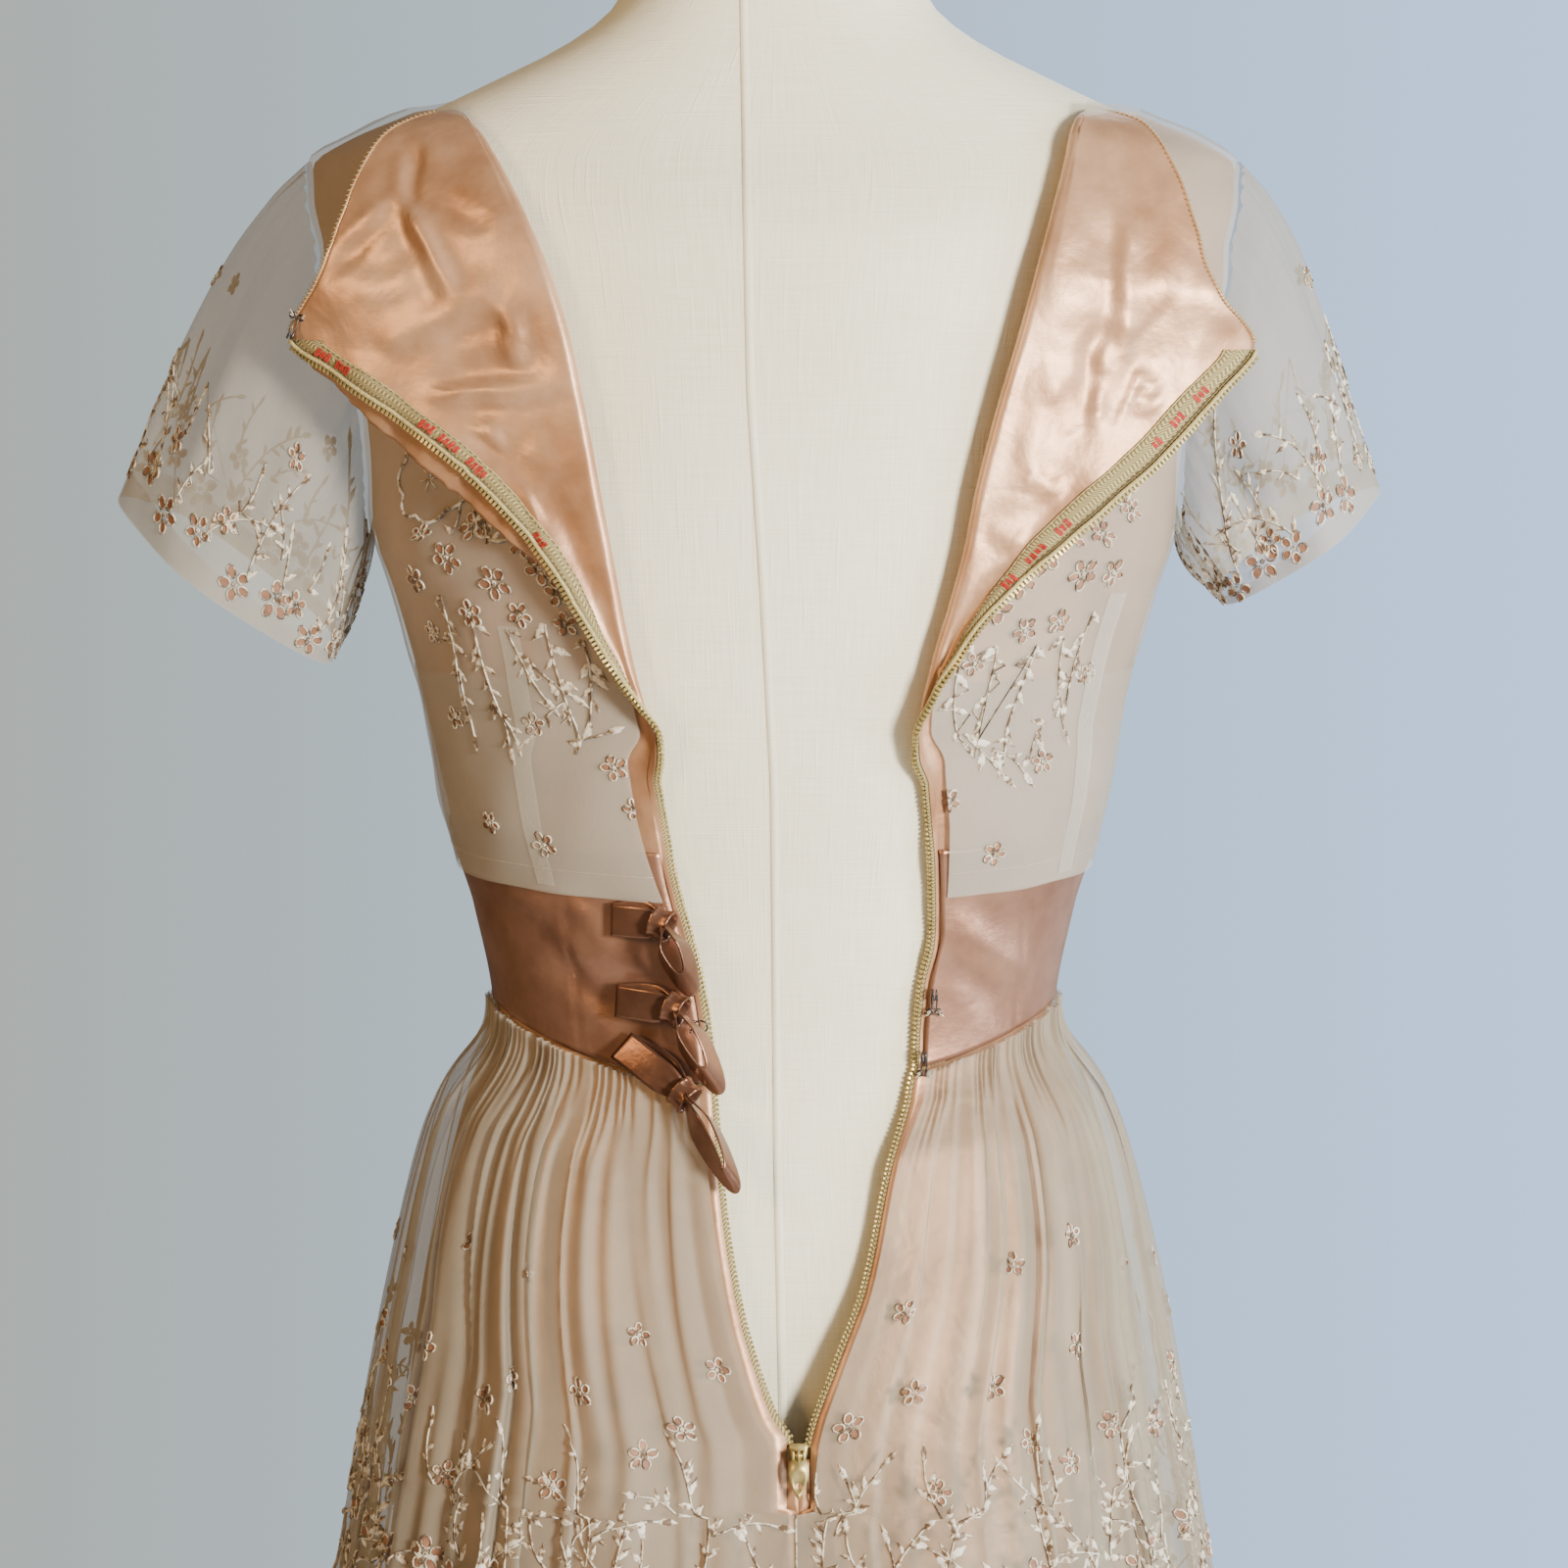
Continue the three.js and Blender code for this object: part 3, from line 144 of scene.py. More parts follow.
class Profile:
    """Smooth curves through a table's rows, by its first column, that never overshoot."""

    def __init__(self, names, rows):
        values = np.array(sorted(rows)).T
        self.at = values[0]
        self.columns = dict(zip(names[1:], values[1:]))

    def __call__(self, name, at):
        x = self.at
        y = self.columns[name]
        slope = np.diff(y) / np.diff(x)
        before, after = slope[:-1], slope[1:]
        agree = before * after > 0
        inner = np.where(agree, 2 * before * after / np.where(agree, before + after, 1), 0)
        tangent = np.concatenate(([slope[0]], inner, [slope[-1]]))
        at = np.clip(at, x[0], x[-1])
        i = np.clip(np.searchsorted(x, at, side="right") - 1, 0, len(x) - 2)
        span = x[i + 1] - x[i]
        t = (at - x[i]) / span
        rest = 1 - t
        rise = y[i] * (1 + 2 * t) * rest**2 + y[i + 1] * t * t * (3 - 2 * t)
        return rise + span * t * rest * (tangent[i] * rest - tangent[i + 1] * t)


FORM = Profile(("level", "side", "back", "front"), [
    (0.760, 0.150, 0.104, 0.098),
    (0.830, 0.150, 0.108, 0.098),
    (0.900, 0.144, 0.106, 0.098),
    (0.960, 0.132, 0.098, 0.094),
    (1.000, 0.121, 0.088, 0.090),
    (1.040, 0.113, 0.080, 0.086),
    (1.090, 0.120, 0.084, 0.092),
    (1.140, 0.131, 0.092, 0.104),
    (1.190, 0.139, 0.098, 0.116),
    (1.230, 0.145, 0.101, 0.132),
    (1.250, 0.147, 0.102, 0.134),
    (1.290, 0.152, 0.103, 0.124),
    (1.330, 0.161, 0.103, 0.108),
    (1.360, 0.170, 0.099, 0.094),
    (1.380, 0.177, 0.090, 0.084),
    (1.392, 0.176, 0.082, 0.078),
    (1.402, 0.165, 0.076, 0.073),
    (1.414, 0.142, 0.070, 0.068),
    (1.428, 0.112, 0.064, 0.063),
    (1.442, 0.084, 0.059, 0.059),
    (1.456, 0.066, 0.056, 0.057),
    (1.472, 0.058, 0.054, 0.056),
    (1.500, 0.055, 0.053, 0.055),
    (1.530, 0.054, 0.052, 0.054),
])
FORM_BOTTOM, FORM_TOP = 0.760, 1.530
COVER_INSET = 0.0006  # the cover's facets stay just inside the form's solid


def form_section(height):
    return {name: FORM(name, height) for name in ("side", "back", "front")}


def power(value, exponent):
    return np.sign(value) * np.abs(value) ** exponent


def on_section(section, height, angle):
    """Points of a section. The angle runs from the centre back, 0, towards the right."""
    depth = np.where(np.cos(angle) >= 0, section["back"], section["front"])
    x = section["side"] * power(np.sin(angle), 2 / SQUARENESS)
    y = -depth * power(np.cos(angle), 2 / SQUARENESS)
    return np.stack(np.broadcast_arrays(x, y, height), axis=-1)


def lengths_along(points, axis):
    """Distance along each line of a grid, from its start."""
    steps = np.linalg.norm(np.diff(points, axis=axis), axis=-1)
    start = np.zeros_like(np.take(steps, [0], axis=axis))
    return np.concatenate([start, np.cumsum(steps, axis=axis)], axis=axis)


def grid_normals(points):
    across = np.gradient(points, axis=1)
    up = np.gradient(points, axis=0)
    normal = np.cross(across, up)
    return normal / np.maximum(np.linalg.norm(normal, axis=-1, keepdims=True), 1e-12)


def finish_piece(name, bm, material, replaces=(), body="root", smooth=True):
    mesh = bpy.data.meshes.new(name)
    bm.to_mesh(mesh)
    bm.free()
    mesh.polygons.foreach_set("use_smooth", [smooth] * len(mesh.polygons))
    mesh.materials.append(material)
    piece = bpy.data.objects.new(name, mesh)
    bpy.context.scene.collection.objects.link(piece)
    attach(piece, body)
    if replaces:
        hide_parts(*replaces)
    return piece


def grid_bmesh(points, tube=False):
    """A bmesh grid through rows of points, with a UV map in metres of cloth."""
    rows, columns = points.shape[:2]
    bm = bmesh.new()
    uv = bm.loops.layers.uv.new("UVMap")
    bmesh.ops.create_grid(bm, x_segments=columns - 1, y_segments=rows - 1, size=0.5,
                          calc_uvs=True)
    bm.verts.ensure_lookup_table()
    for vert, point in zip(bm.verts, points.reshape(-1, 3)):
        vert.co = point
    width = lengths_along(points, 1)[:, -1].mean()
    height = lengths_along(points, 0)[-1].mean()
    for face in bm.faces:
        for loop in face.loops:
            loop[uv].uv = (loop[uv].uv[0] * width, loop[uv].uv[1] * height)
    if tube:
        edge = [v for row in range(rows) for v in (bm.verts[row * columns],
                                                   bm.verts[row * columns + columns - 1])]
        bmesh.ops.remove_doubles(bm, verts=edge, dist=1e-5)
    return bm


def thickened(piece, thickness, offset=0):
    wall = piece.modifiers.new("thickness", "SOLIDIFY")
    wall.thickness = thickness
    wall.offset = offset
    return piece


class Finish:
    """A node material with a Principled shader, and short calls for the nodes before it."""

    def __init__(self, name, **sockets):
        self.material = bpy.data.materials.new(name)
        self.material.use_nodes = True
        self.tree = self.material.node_tree
        self.shader = self.tree.nodes["Principled BSDF"]
        for socket, value in sockets.items():
            self.shader.inputs[socket.replace("_", " ")].default_value = value

    def node(self, kind, **settings):
        made = self.tree.nodes.new(kind)
        for key, value in settings.items():
            setattr(made, key, value)
        return made

    def link(self, output, target, socket):
        self.tree.links.new(output, target.inputs[socket])

    def coordinates(self, source, scale, turn=0):
        """UV or Object coordinates, turned and then scaled."""
        start = self.node("ShaderNodeTexCoord")
        mapping = self.node("ShaderNodeMapping")
        mapping.inputs["Scale"].default_value = scale
        mapping.inputs["Rotation"].default_value = (0, 0, turn)
        self.link(start.outputs[source], mapping, "Vector")
        return mapping.outputs["Vector"]

    def noise(self, vector, scale, detail=3, roughness=0.5, distortion=0):
        made = self.node("ShaderNodeTexNoise")
        made.inputs["Scale"].default_value = scale
        made.inputs["Detail"].default_value = detail
        made.inputs["Roughness"].default_value = roughness
        made.inputs["Distortion"].default_value = distortion
        self.link(vector, made, "Vector")
        return made.outputs["Fac"]

    def through(self, *settings):
        """Noise through the solid of a piece."""
        return self.noise(self.coordinates("Object", (1, 1, 1)), *settings)

    def threads(self, scale, detail):
        """Noise drawn out along the cloth's threads."""
        return self.noise(self.coordinates("UV", scale), 1, detail)

    def ramp(self, value, stops):
        made = self.node("ShaderNodeValToRGB")
        while len(made.color_ramp.elements) < len(stops):
            made.color_ramp.elements.new(0.5)
        for element, (position, colour) in zip(made.color_ramp.elements, stops):
            element.position = position
            element.color = (*colour, 1)
        self.link(value, made, "Fac")
        return made.outputs["Color"]

    def math(self, operation, a, b):
        made = self.node("ShaderNodeMath", operation=operation)
        for socket, value in enumerate((a, b)):
            if isinstance(value, (int, float)):
                made.inputs[socket].default_value = value
            else:
                self.link(value, made, socket)
        return made.outputs[0]

    def mix(self, share, a, b, blend="MIX"):
        made = self.node("ShaderNodeMix", data_type="RGBA", blend_type=blend)
        if isinstance(share, (int, float)):
            made.inputs[0].default_value = share
        else:
            self.link(share, made, 0)
        for socket, value in ((6, a), (7, b)):
            if isinstance(value, tuple):
                made.inputs[socket].default_value = (*value, 1)
            else:
                self.link(value, made, socket)
        return made.outputs[2]

    def colour(self, output):
        self.link(output, self.shader, "Base Color")

    def darkened(self, tone, pattern, dark):
        """The base colour: a tone, less a share of it where a pattern is low."""
        shade = self.ramp(pattern, [(0.3, (dark, dark, dark)), (0.7, (1.0, 1.0, 1.0))])
        self.colour(self.mix(1.0, tone, shade, "MULTIPLY"))

    def bump(self, height, strength, distance, under=None):
        made = self.node("ShaderNodeBump")
        made.inputs["Strength"].default_value = strength
        made.inputs["Distance"].default_value = distance
        self.link(height, made, "Height")
        if under is not None:
            self.link(under, made, "Normal")
        self.link(made.outputs["Normal"], self.shader, "Normal")
        return made.outputs["Normal"]


def linen_finish():
    """Plain-woven cream linen with thick and thin threads both ways."""
    finish = Finish("cream_linen", Roughness=0.85, Sheen_Weight=0.15, Sheen_Roughness=0.5)
    warp = finish.threads((1500, 45, 1), 2)
    weft = finish.threads((45, 1500, 1), 2)
    weave = finish.math("ADD", warp, weft)
    weave = finish.math("MULTIPLY", weave, 0.5)
    slub = finish.threads((700, 22, 1), 1)
    slub_across = finish.threads((22, 700, 1), 1)
    slubs = finish.math("MAXIMUM", slub, slub_across)
    cloud = finish.noise(finish.coordinates("UV", (1, 1, 1)), 9, 4)
    thread = finish.ramp(weave, [(0.32, (0.90, 0.84, 0.61)), (0.62, (1.0, 0.97, 0.79))])
    aged = finish.ramp(cloud, [(0.3, (0.92, 0.90, 0.84)), (0.7, (1.0, 1.0, 1.0))])
    finish.colour(finish.mix(1.0, thread, aged, "MULTIPLY"))
    first = finish.bump(weave, 0.5, 0.0005)
    finish.bump(finish.ramp(slubs, [(0.62, (0, 0, 0)), (0.75, (1, 1, 1))]), 0.35, 0.0003, first)
    return finish.material


linen = linen_finish()
FORM_ROWS, FORM_COLUMNS = 124, 132

levels = np.linspace(FORM_BOTTOM, FORM_TOP, FORM_ROWS)[:, None]
turns = np.linspace(0, 4 * QUARTER, FORM_COLUMNS + 1)[None, :] + QUARTER * 2
form_points = on_section(form_section(levels), levels + 0 * turns, turns + 0 * levels)
form_points -= COVER_INSET * grid_normals(form_points)
torso_bm = grid_bmesh(form_points, tube=True)
rims = [edge for edge in torso_bm.edges if edge.is_boundary]
bmesh.ops.holes_fill(torso_bm, edges=rims)
finish_piece("form_cover", torso_bm, linen, ["form_torso"])


def seam_strip(name, back, levels, distances):
    """A pressed seam of the cover: a fine ledge whose distance right is given by level."""
    rows = []
    for level in np.linspace(levels[0], levels[-1], 150):
        section = form_section(level)
        x = float(np.interp(level, levels, distances)) + np.array([-0.0006, 0, 0.0020, 0.0052])
        depth = (section["back"] if back else section["front"]) - COVER_INSET
        y = depth * (1 - np.abs(x / section["side"]) ** SQUARENESS) ** (1 / SQUARENESS)
        y = y + np.array([-0.0008, 0.0004, 0.0003, -0.0006])
        rows.append(np.stack([x, -y if back else y, np.full(4, level)], axis=-1))
    grid = np.array(rows)
    return finish_piece(name, grid_bmesh(grid if back else grid[:, ::-1]), linen)


seam_strip("form_seam_back", True, [0.765, 0.90, 1.0, 1.15, 1.227, 1.302, 1.453, 1.525],
           [0.003, 0.0022, 0, -0.0012, -0.0053, -0.0101, -0.0131, -0.0131])
seam_strip("form_seam_front", False, [0.765, 1.525], [0, 0])

# ---- Stand ----
# A black enamelled steel pole in a collar on a heavy round base plate, and a turned and
# varnished wooden cap on the neck.


def enamel_finish():
    finish = Finish("black_enamel", Roughness=0.32, Coat_Weight=0.4, Coat_Roughness=0.15)
    wear = finish.through(60, 5)
    finish.colour(finish.ramp(wear, [(0.3, (0.012, 0.012, 0.014)), (0.8, (0.03, 0.03, 0.032))]))
    orange_peel = finish.through(420, 2)
    finish.bump(orange_peel, 0.08, 0.0004)
    return finish.material


def wood_finish():
    finish = Finish("varnished_wood", Roughness=0.35, Coat_Weight=0.3, Coat_Roughness=0.2)
    grain = finish.noise(finish.coordinates("Object", (9, 1.2, 9)), 14, 6, 0.6, 1.2)
    finish.colour(finish.ramp(grain, [(0.3, (0.10, 0.045, 0.018)), (0.7, (0.26, 0.13, 0.06))]))
    finish.bump(grain, 0.2, 0.0004)
    return finish.material


enamel = enamel_finish()
cap_wood = wood_finish()


def turned(name, profile, segments, material, replaces, centre=(0, 0, 0), bevel=0):
    """A turned piece: a half outline, from axis to axis, spun round +Z."""
    bm = bmesh.new()
    verts = [bm.verts.new((radius, 0, height)) for radius, height in profile]
    edges = [bm.edges.new(pair) for pair in zip(verts, verts[1:])]
    bmesh.ops.spin(bm, geom=verts + edges, cent=(0, 0, 0), axis=(0, 0, 1),
                   angle=4 * QUARTER, steps=segments, use_merge=True)
    bmesh.ops.remove_doubles(bm, verts=bm.verts, dist=1e-6)
    bmesh.ops.recalc_face_normals(bm, faces=bm.faces)
    if bevel:
        sharp = [e for e in bm.edges if e.is_manifold and e.calc_face_angle(0) > 0.6]
        bmesh.ops.bevel(bm, geom=sharp, offset=bevel, segments=2, profile=0.5,
                        affect="EDGES", material=-1)
    bmesh.ops.translate(bm, vec=centre, verts=bm.verts)
    return finish_piece(name, bm, material, replaces)


POLE_RADIUS = 0.0125
BASE_RADIUS, BASE_THICKNESS = 0.190, 0.008
COLLAR = POLE_RADIUS + 0.0003
cap_low, cap_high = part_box("form_neck_cap")
turned("neck_cap", [(0, 0), (0.047, 0), (0.050, 0.002), (0.050, 0.008), (0.046, 0.0125),
                    (0.040, 0.015), (0.031, 0.0175), (0.022, 0.019), (0.011, 0.0198),
                    (0, 0.020)],
       96, cap_wood, ["form_neck_cap"],
       ((cap_low.x + cap_high.x) / 2, (cap_low.y + cap_high.y) / 2, cap_low.z), 0.0008)
pole_low, pole_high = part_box("stand_pole")
turned("pole", [(0, pole_low.z), (POLE_RADIUS, pole_low.z), (POLE_RADIUS, pole_high.z),
                (0, pole_high.z)],
       64, enamel, ["stand_pole"], bevel=0.0008)
turned("base_plate", [(0, 0), (BASE_RADIUS - 0.003, 0), (BASE_RADIUS, 0.0025),
                      (BASE_RADIUS - 0.004, BASE_THICKNESS), (COLLAR + 0.010, BASE_THICKNESS),
                      (COLLAR + 0.009, 0.034), (COLLAR, 0.034), (COLLAR, BASE_THICKNESS),
                      (0, BASE_THICKNESS)],
       128, enamel, ["stand_base"], bevel=0.0008)

# ---- Bodice lining ----
# Peach satin, cut as a front and two backs, and sewn at the sides and shoulders. Each back
# is unzipped and turned outwards from its fold, so that its inner face shows as a flap.

SATIN = 0.0005
WAIST, ARMPIT, SHOULDER_TIP, NECK_POINT = 1.052, 1.243, 1.395, 1.413
OVERLAY_HEM, MIDRIFF_TOP = 1.108, 1.126
SEAM = 0.0003
ZIP_TOP_LEVEL = 1.320
LINING_EDGE = 0.0024
UNROLLED_MARGIN = 0.002
FLAP_SPREAD = {"side": 1.22, "back": 0.008}
LEFT, RIGHT = -1, 1
NAMES = {LEFT: "left", RIGHT: "right"}


def facing(rows, side):
    """A side's grid with its columns in the order that turns its face outwards."""
    return rows if side == LEFT else rows[:, ::-1]



EASE = Profile(("level", "side", "back", "front"), [
    (1.020, 0.0028, 0.0042, 0.0028),
    (1.052, 0.0028, 0.0040, 0.0028),
    (1.090, 0.0038, 0.0038, 0.0032),
    (1.110, 0.0056, 0.0038, 0.0034),
    (1.145, 0.0064, 0.0038, 0.0040),
    (1.180, 0.0082, 0.0038, 0.0050),
    (1.220, 0.0126, 0.0036, 0.0060),
    (1.243, 0.0175, 0.0036, 0.0070),
    (1.270, 0.0190, 0.0040, 0.0070),
    (1.294, 0.0210, 0.0040, 0.0065),
    (1.320, 0.0250, 0.0040, 0.0060),
    (1.340, 0.0260, 0.0040, 0.0055),
    (1.362, 0.0185, 0.0036, 0.0050),
    (1.385, 0.0120, 0.0032, 0.0040),
    (1.395, 0.0115, 0.0030, 0.0036),
    (1.402, 0.0090, 0.0028, 0.0032),
    (1.414, 0.0040, 0.0026, 0.0028),
    (1.430, 0.0040, 0.0026, 0.0028),
])
BACK_DIP = Profile(("level", "dip"), [
    (0.290, 0), (0.860, 0), (1.000, 0.016), (1.052, 0.025), (1.108, 0.006), (1.181, 0),
    (1.440, 0),
])
CHAIN = {
    LEFT: Profile(("height", "out"), [
        (0.880, -0.0086), (0.892, -0.0086), (0.905, -0.001), (0.949, 0.013), (0.986, 0.019),
        (1.030, 0.023), (1.071, 0.029), (1.111, 0.0383), (1.154, 0.045), (1.181, 0.050),
        (1.450, 0.050),
    ]),
    RIGHT: Profile(("height", "out"), [
        (0.880, 0.0110), (0.892, 0.0122), (0.923, 0.0232), (0.952, 0.0347), (0.996, 0.0445),
        (1.029, 0.0545), (1.066, 0.0586), (1.090, 0.0623), (1.130, 0.0599), (1.158, 0.0576),
        (1.187, 0.0585), (1.450, 0.0585),
    ]),
}
FLAP_COLUMNS_NAMED = ("level", "fold", "edge", "edge_level")
FLAP = {
    LEFT: Profile(FLAP_COLUMNS_NAMED, [
        (1.165, 0.0475, 0.051, 1.165),
        (1.181, 0.0510, 0.056, 1.181),
        (1.200, 0.0545, 0.066, 1.203),
        (1.220, 0.0580, 0.084, 1.234),
        (1.243, 0.0620, 0.104, 1.258),
        (1.262, 0.0655, 0.122, 1.275),
        (1.285, 0.0695, 0.148, 1.294),
        (1.305, 0.0735, 0.170, 1.309),
        (1.320, 0.0765, 0.188, 1.322),
        (1.345, 0.0840, 0.173, 1.345),
        (1.368, 0.0940, 0.161, 1.370),
        (1.388, 0.1050, 0.151, 1.394),
        (1.402, 0.1140, 0.141, 1.406),
        (1.413, 0.1210, 0.130, 1.415),
    ]),
    RIGHT: Profile(FLAP_COLUMNS_NAMED, [
        (1.165, 0.0580, 0.0615, 1.165),
        (1.181, 0.0585, 0.064, 1.182),
        (1.200, 0.0615, 0.075, 1.209),
        (1.220, 0.0670, 0.095, 1.229),
        (1.243, 0.0730, 0.113, 1.244),
        (1.262, 0.0765, 0.130, 1.259),
        (1.285, 0.0820, 0.152, 1.278),
        (1.305, 0.0875, 0.173, 1.301),
        (1.320, 0.0920, 0.187, 1.318),
        (1.345, 0.0990, 0.168, 1.338),
        (1.368, 0.1055, 0.161, 1.364),
        (1.388, 0.1115, 0.151, 1.390),
        (1.402, 0.1150, 0.143, 1.404),
        (1.413, 0.1190, 0.131, 1.415),
    ]),
}
ROLL = Profile(("level", "turned", "radius"), [
    (1.020, 0, 0.0020), (1.145, 0, 0.0020), (1.165, 0.25, 0.0022), (1.181, 0.55, 0.0025),
    (1.200, 0.85, 0.0028), (1.220, 1, 0.0030), (1.440, 1, 0.0030),
])
ARMHOLE = {"half_depth": 0.048, "level": (ARMPIT + SHOULDER_TIP) / 2,
           "half_height": (SHOULDER_TIP - ARMPIT) / 2}


def ease01(value):
    value = np.clip(value, 0, 1)
    return value * value * (3 - 2 * value)


def mixed(a, b, share):
    return a + (b - a) * share


def bodice_section(height):
    return {name: FORM(name, height) + EASE(name, height) for name in ("side", "back", "front")}


def flap_section(height):
    """The turned-out flap hangs straighter than the body it lies on."""
    bodice = bodice_section(height)
    return {"side": bodice["side"] * FLAP_SPREAD["side"],
            "back": bodice["back"] + FLAP_SPREAD["back"], "front": bodice["front"]}


def angle_out(section, out):
    """The angle from the centre back at which a section reaches a distance out."""
    share = np.clip(out / section["side"], -1, 1)
    return np.arcsin(power(share, SQUARENESS / 2))


def unit(vector):
    return vector / np.linalg.norm(vector)


def units(vectors):
    return vectors / np.linalg.norm(vectors, axis=-1, keepdims=True)


def lifted(section_at, height, angle, lift):
    """Points raised square off the surface that a section function describes."""
    step, rise = 0.02, 0.001
    here = on_section(section_at(height), height, angle)
    around = (on_section(section_at(height), height, angle + step)
              - on_section(section_at(height), height, angle - step))
    up = (on_section(section_at(height + rise), height + rise, angle)
          - on_section(section_at(height - rise), height - rise, angle))
    return here + units(np.cross(around, up)) * np.asarray(lift)[..., None]


def dipped_height(level, out_share):
    return level - BACK_DIP("dip", level) * (1 - out_share * out_share)


def chain_out(side, level):
    """The zip chain's distance out at a level line."""
    out = 0.03
    for _ in range(6):
        share = out / bodice_section(level)["side"]
        out = CHAIN[side]("out", dipped_height(level, share))
    return out


def back_point(side, level, angle, lift):
    share = power(np.sin(angle), 2 / SQUARENESS)
    return lifted(bodice_section, dipped_height(level, share), side * angle, lift)


def fold_at(side, level):
    """Where a back panel turns over: the roll, its start, and the panel's free edge."""
    radius = ROLL("radius", level)
    turned_share = ROLL("turned", level)
    low_edge = chain_out(side, level) + LINING_EDGE
    low_start = low_edge + math.pi * radius + UNROLLED_MARGIN
    table = FLAP[side]
    start = table("fold", level) + radius
    edge = table("edge", level)
    joined = ease01((level - 1.150) / 0.022)
    start = mixed(low_start, start, joined)
    edge = mixed(low_edge, edge, joined)
    width = mixed(UNROLLED_MARGIN, np.abs(edge - start), joined)
    edge_level = mixed(level, table("edge_level", level), joined)
    return {"radius": radius, "turned": turned_share, "start": start, "edge": edge,
            "edge_level": edge_level, "width": width}


def side_angle(level, depth):
    """The angle from the centre back, or front, at which the side seam or armhole is."""
    rise = np.clip((level - ARMHOLE["level"]) / ARMHOLE["half_height"], -1, 1)
    hole = ARMHOLE["half_depth"] * np.sqrt(1 - rise * rise)
    return np.arccos((hole / depth) ** (SQUARENESS / 2))


BODY_COLUMNS, ROLL_COLUMNS, FLAP_COLUMNS = 44, 10, 46


def lining_row(side, level):
    """One level of a satin back panel, from its side seam to its free edge."""
    fold = fold_at(side, level)
    section = bodice_section(level)
    start_angle = side_angle(level, section["back"])
    root_angle = angle_out(section, fold["start"])
    angles = np.linspace(start_angle, root_angle, BODY_COLUMNS + 1)
    body = back_point(side, level, angles, np.zeros_like(angles))
    root = body[-1]
    out = back_point(side, level, np.array([root_angle]), np.array([1.0]))[0] - root
    onwards = back_point(side, level, np.array([root_angle - 0.02]), np.zeros(1))[0] - root
    onwards = unit(onwards - out * onwards.dot(out))
    bend = max(float(fold["turned"]) * math.pi, 1e-6)
    length = math.pi * float(fold["radius"])
    turn = np.linspace(0, bend, ROLL_COLUMNS + 1)[1:, None]
    roll = root + length / bend * (np.sin(turn) * onwards + (1 - np.cos(turn)) * out)
    end = roll[-1]
    heading = onwards * math.cos(bend) + out * math.sin(bend)
    share = np.linspace(0, 1, FLAP_COLUMNS + 1)[1:]
    flat = end + heading * (fold["width"] * share)[:, None]
    spread = mixed(fold["start"], fold["edge"], share)
    height = mixed(end[2], fold["edge_level"] + 0.001, share)
    near = bodice_section(height)
    close = lifted(bodice_section, height, side * angle_out(near, spread),
                   np.full_like(share, 2 * float(fold["radius"])))
    wide = flap_section(height)
    free = on_section(wide, height, side * angle_out(wide, spread))
    stand = mixed(1, 0.35, max((level - ZIP_TOP_LEVEL) / (NECK_POINT - ZIP_TOP_LEVEL), 0))
    laid = mixed(close, free, (ease01(share) * stand)[:, None])
    flap = mixed(flat, laid, float(fold["turned"]) ** 2)
    return np.concatenate([body, roll, flap])


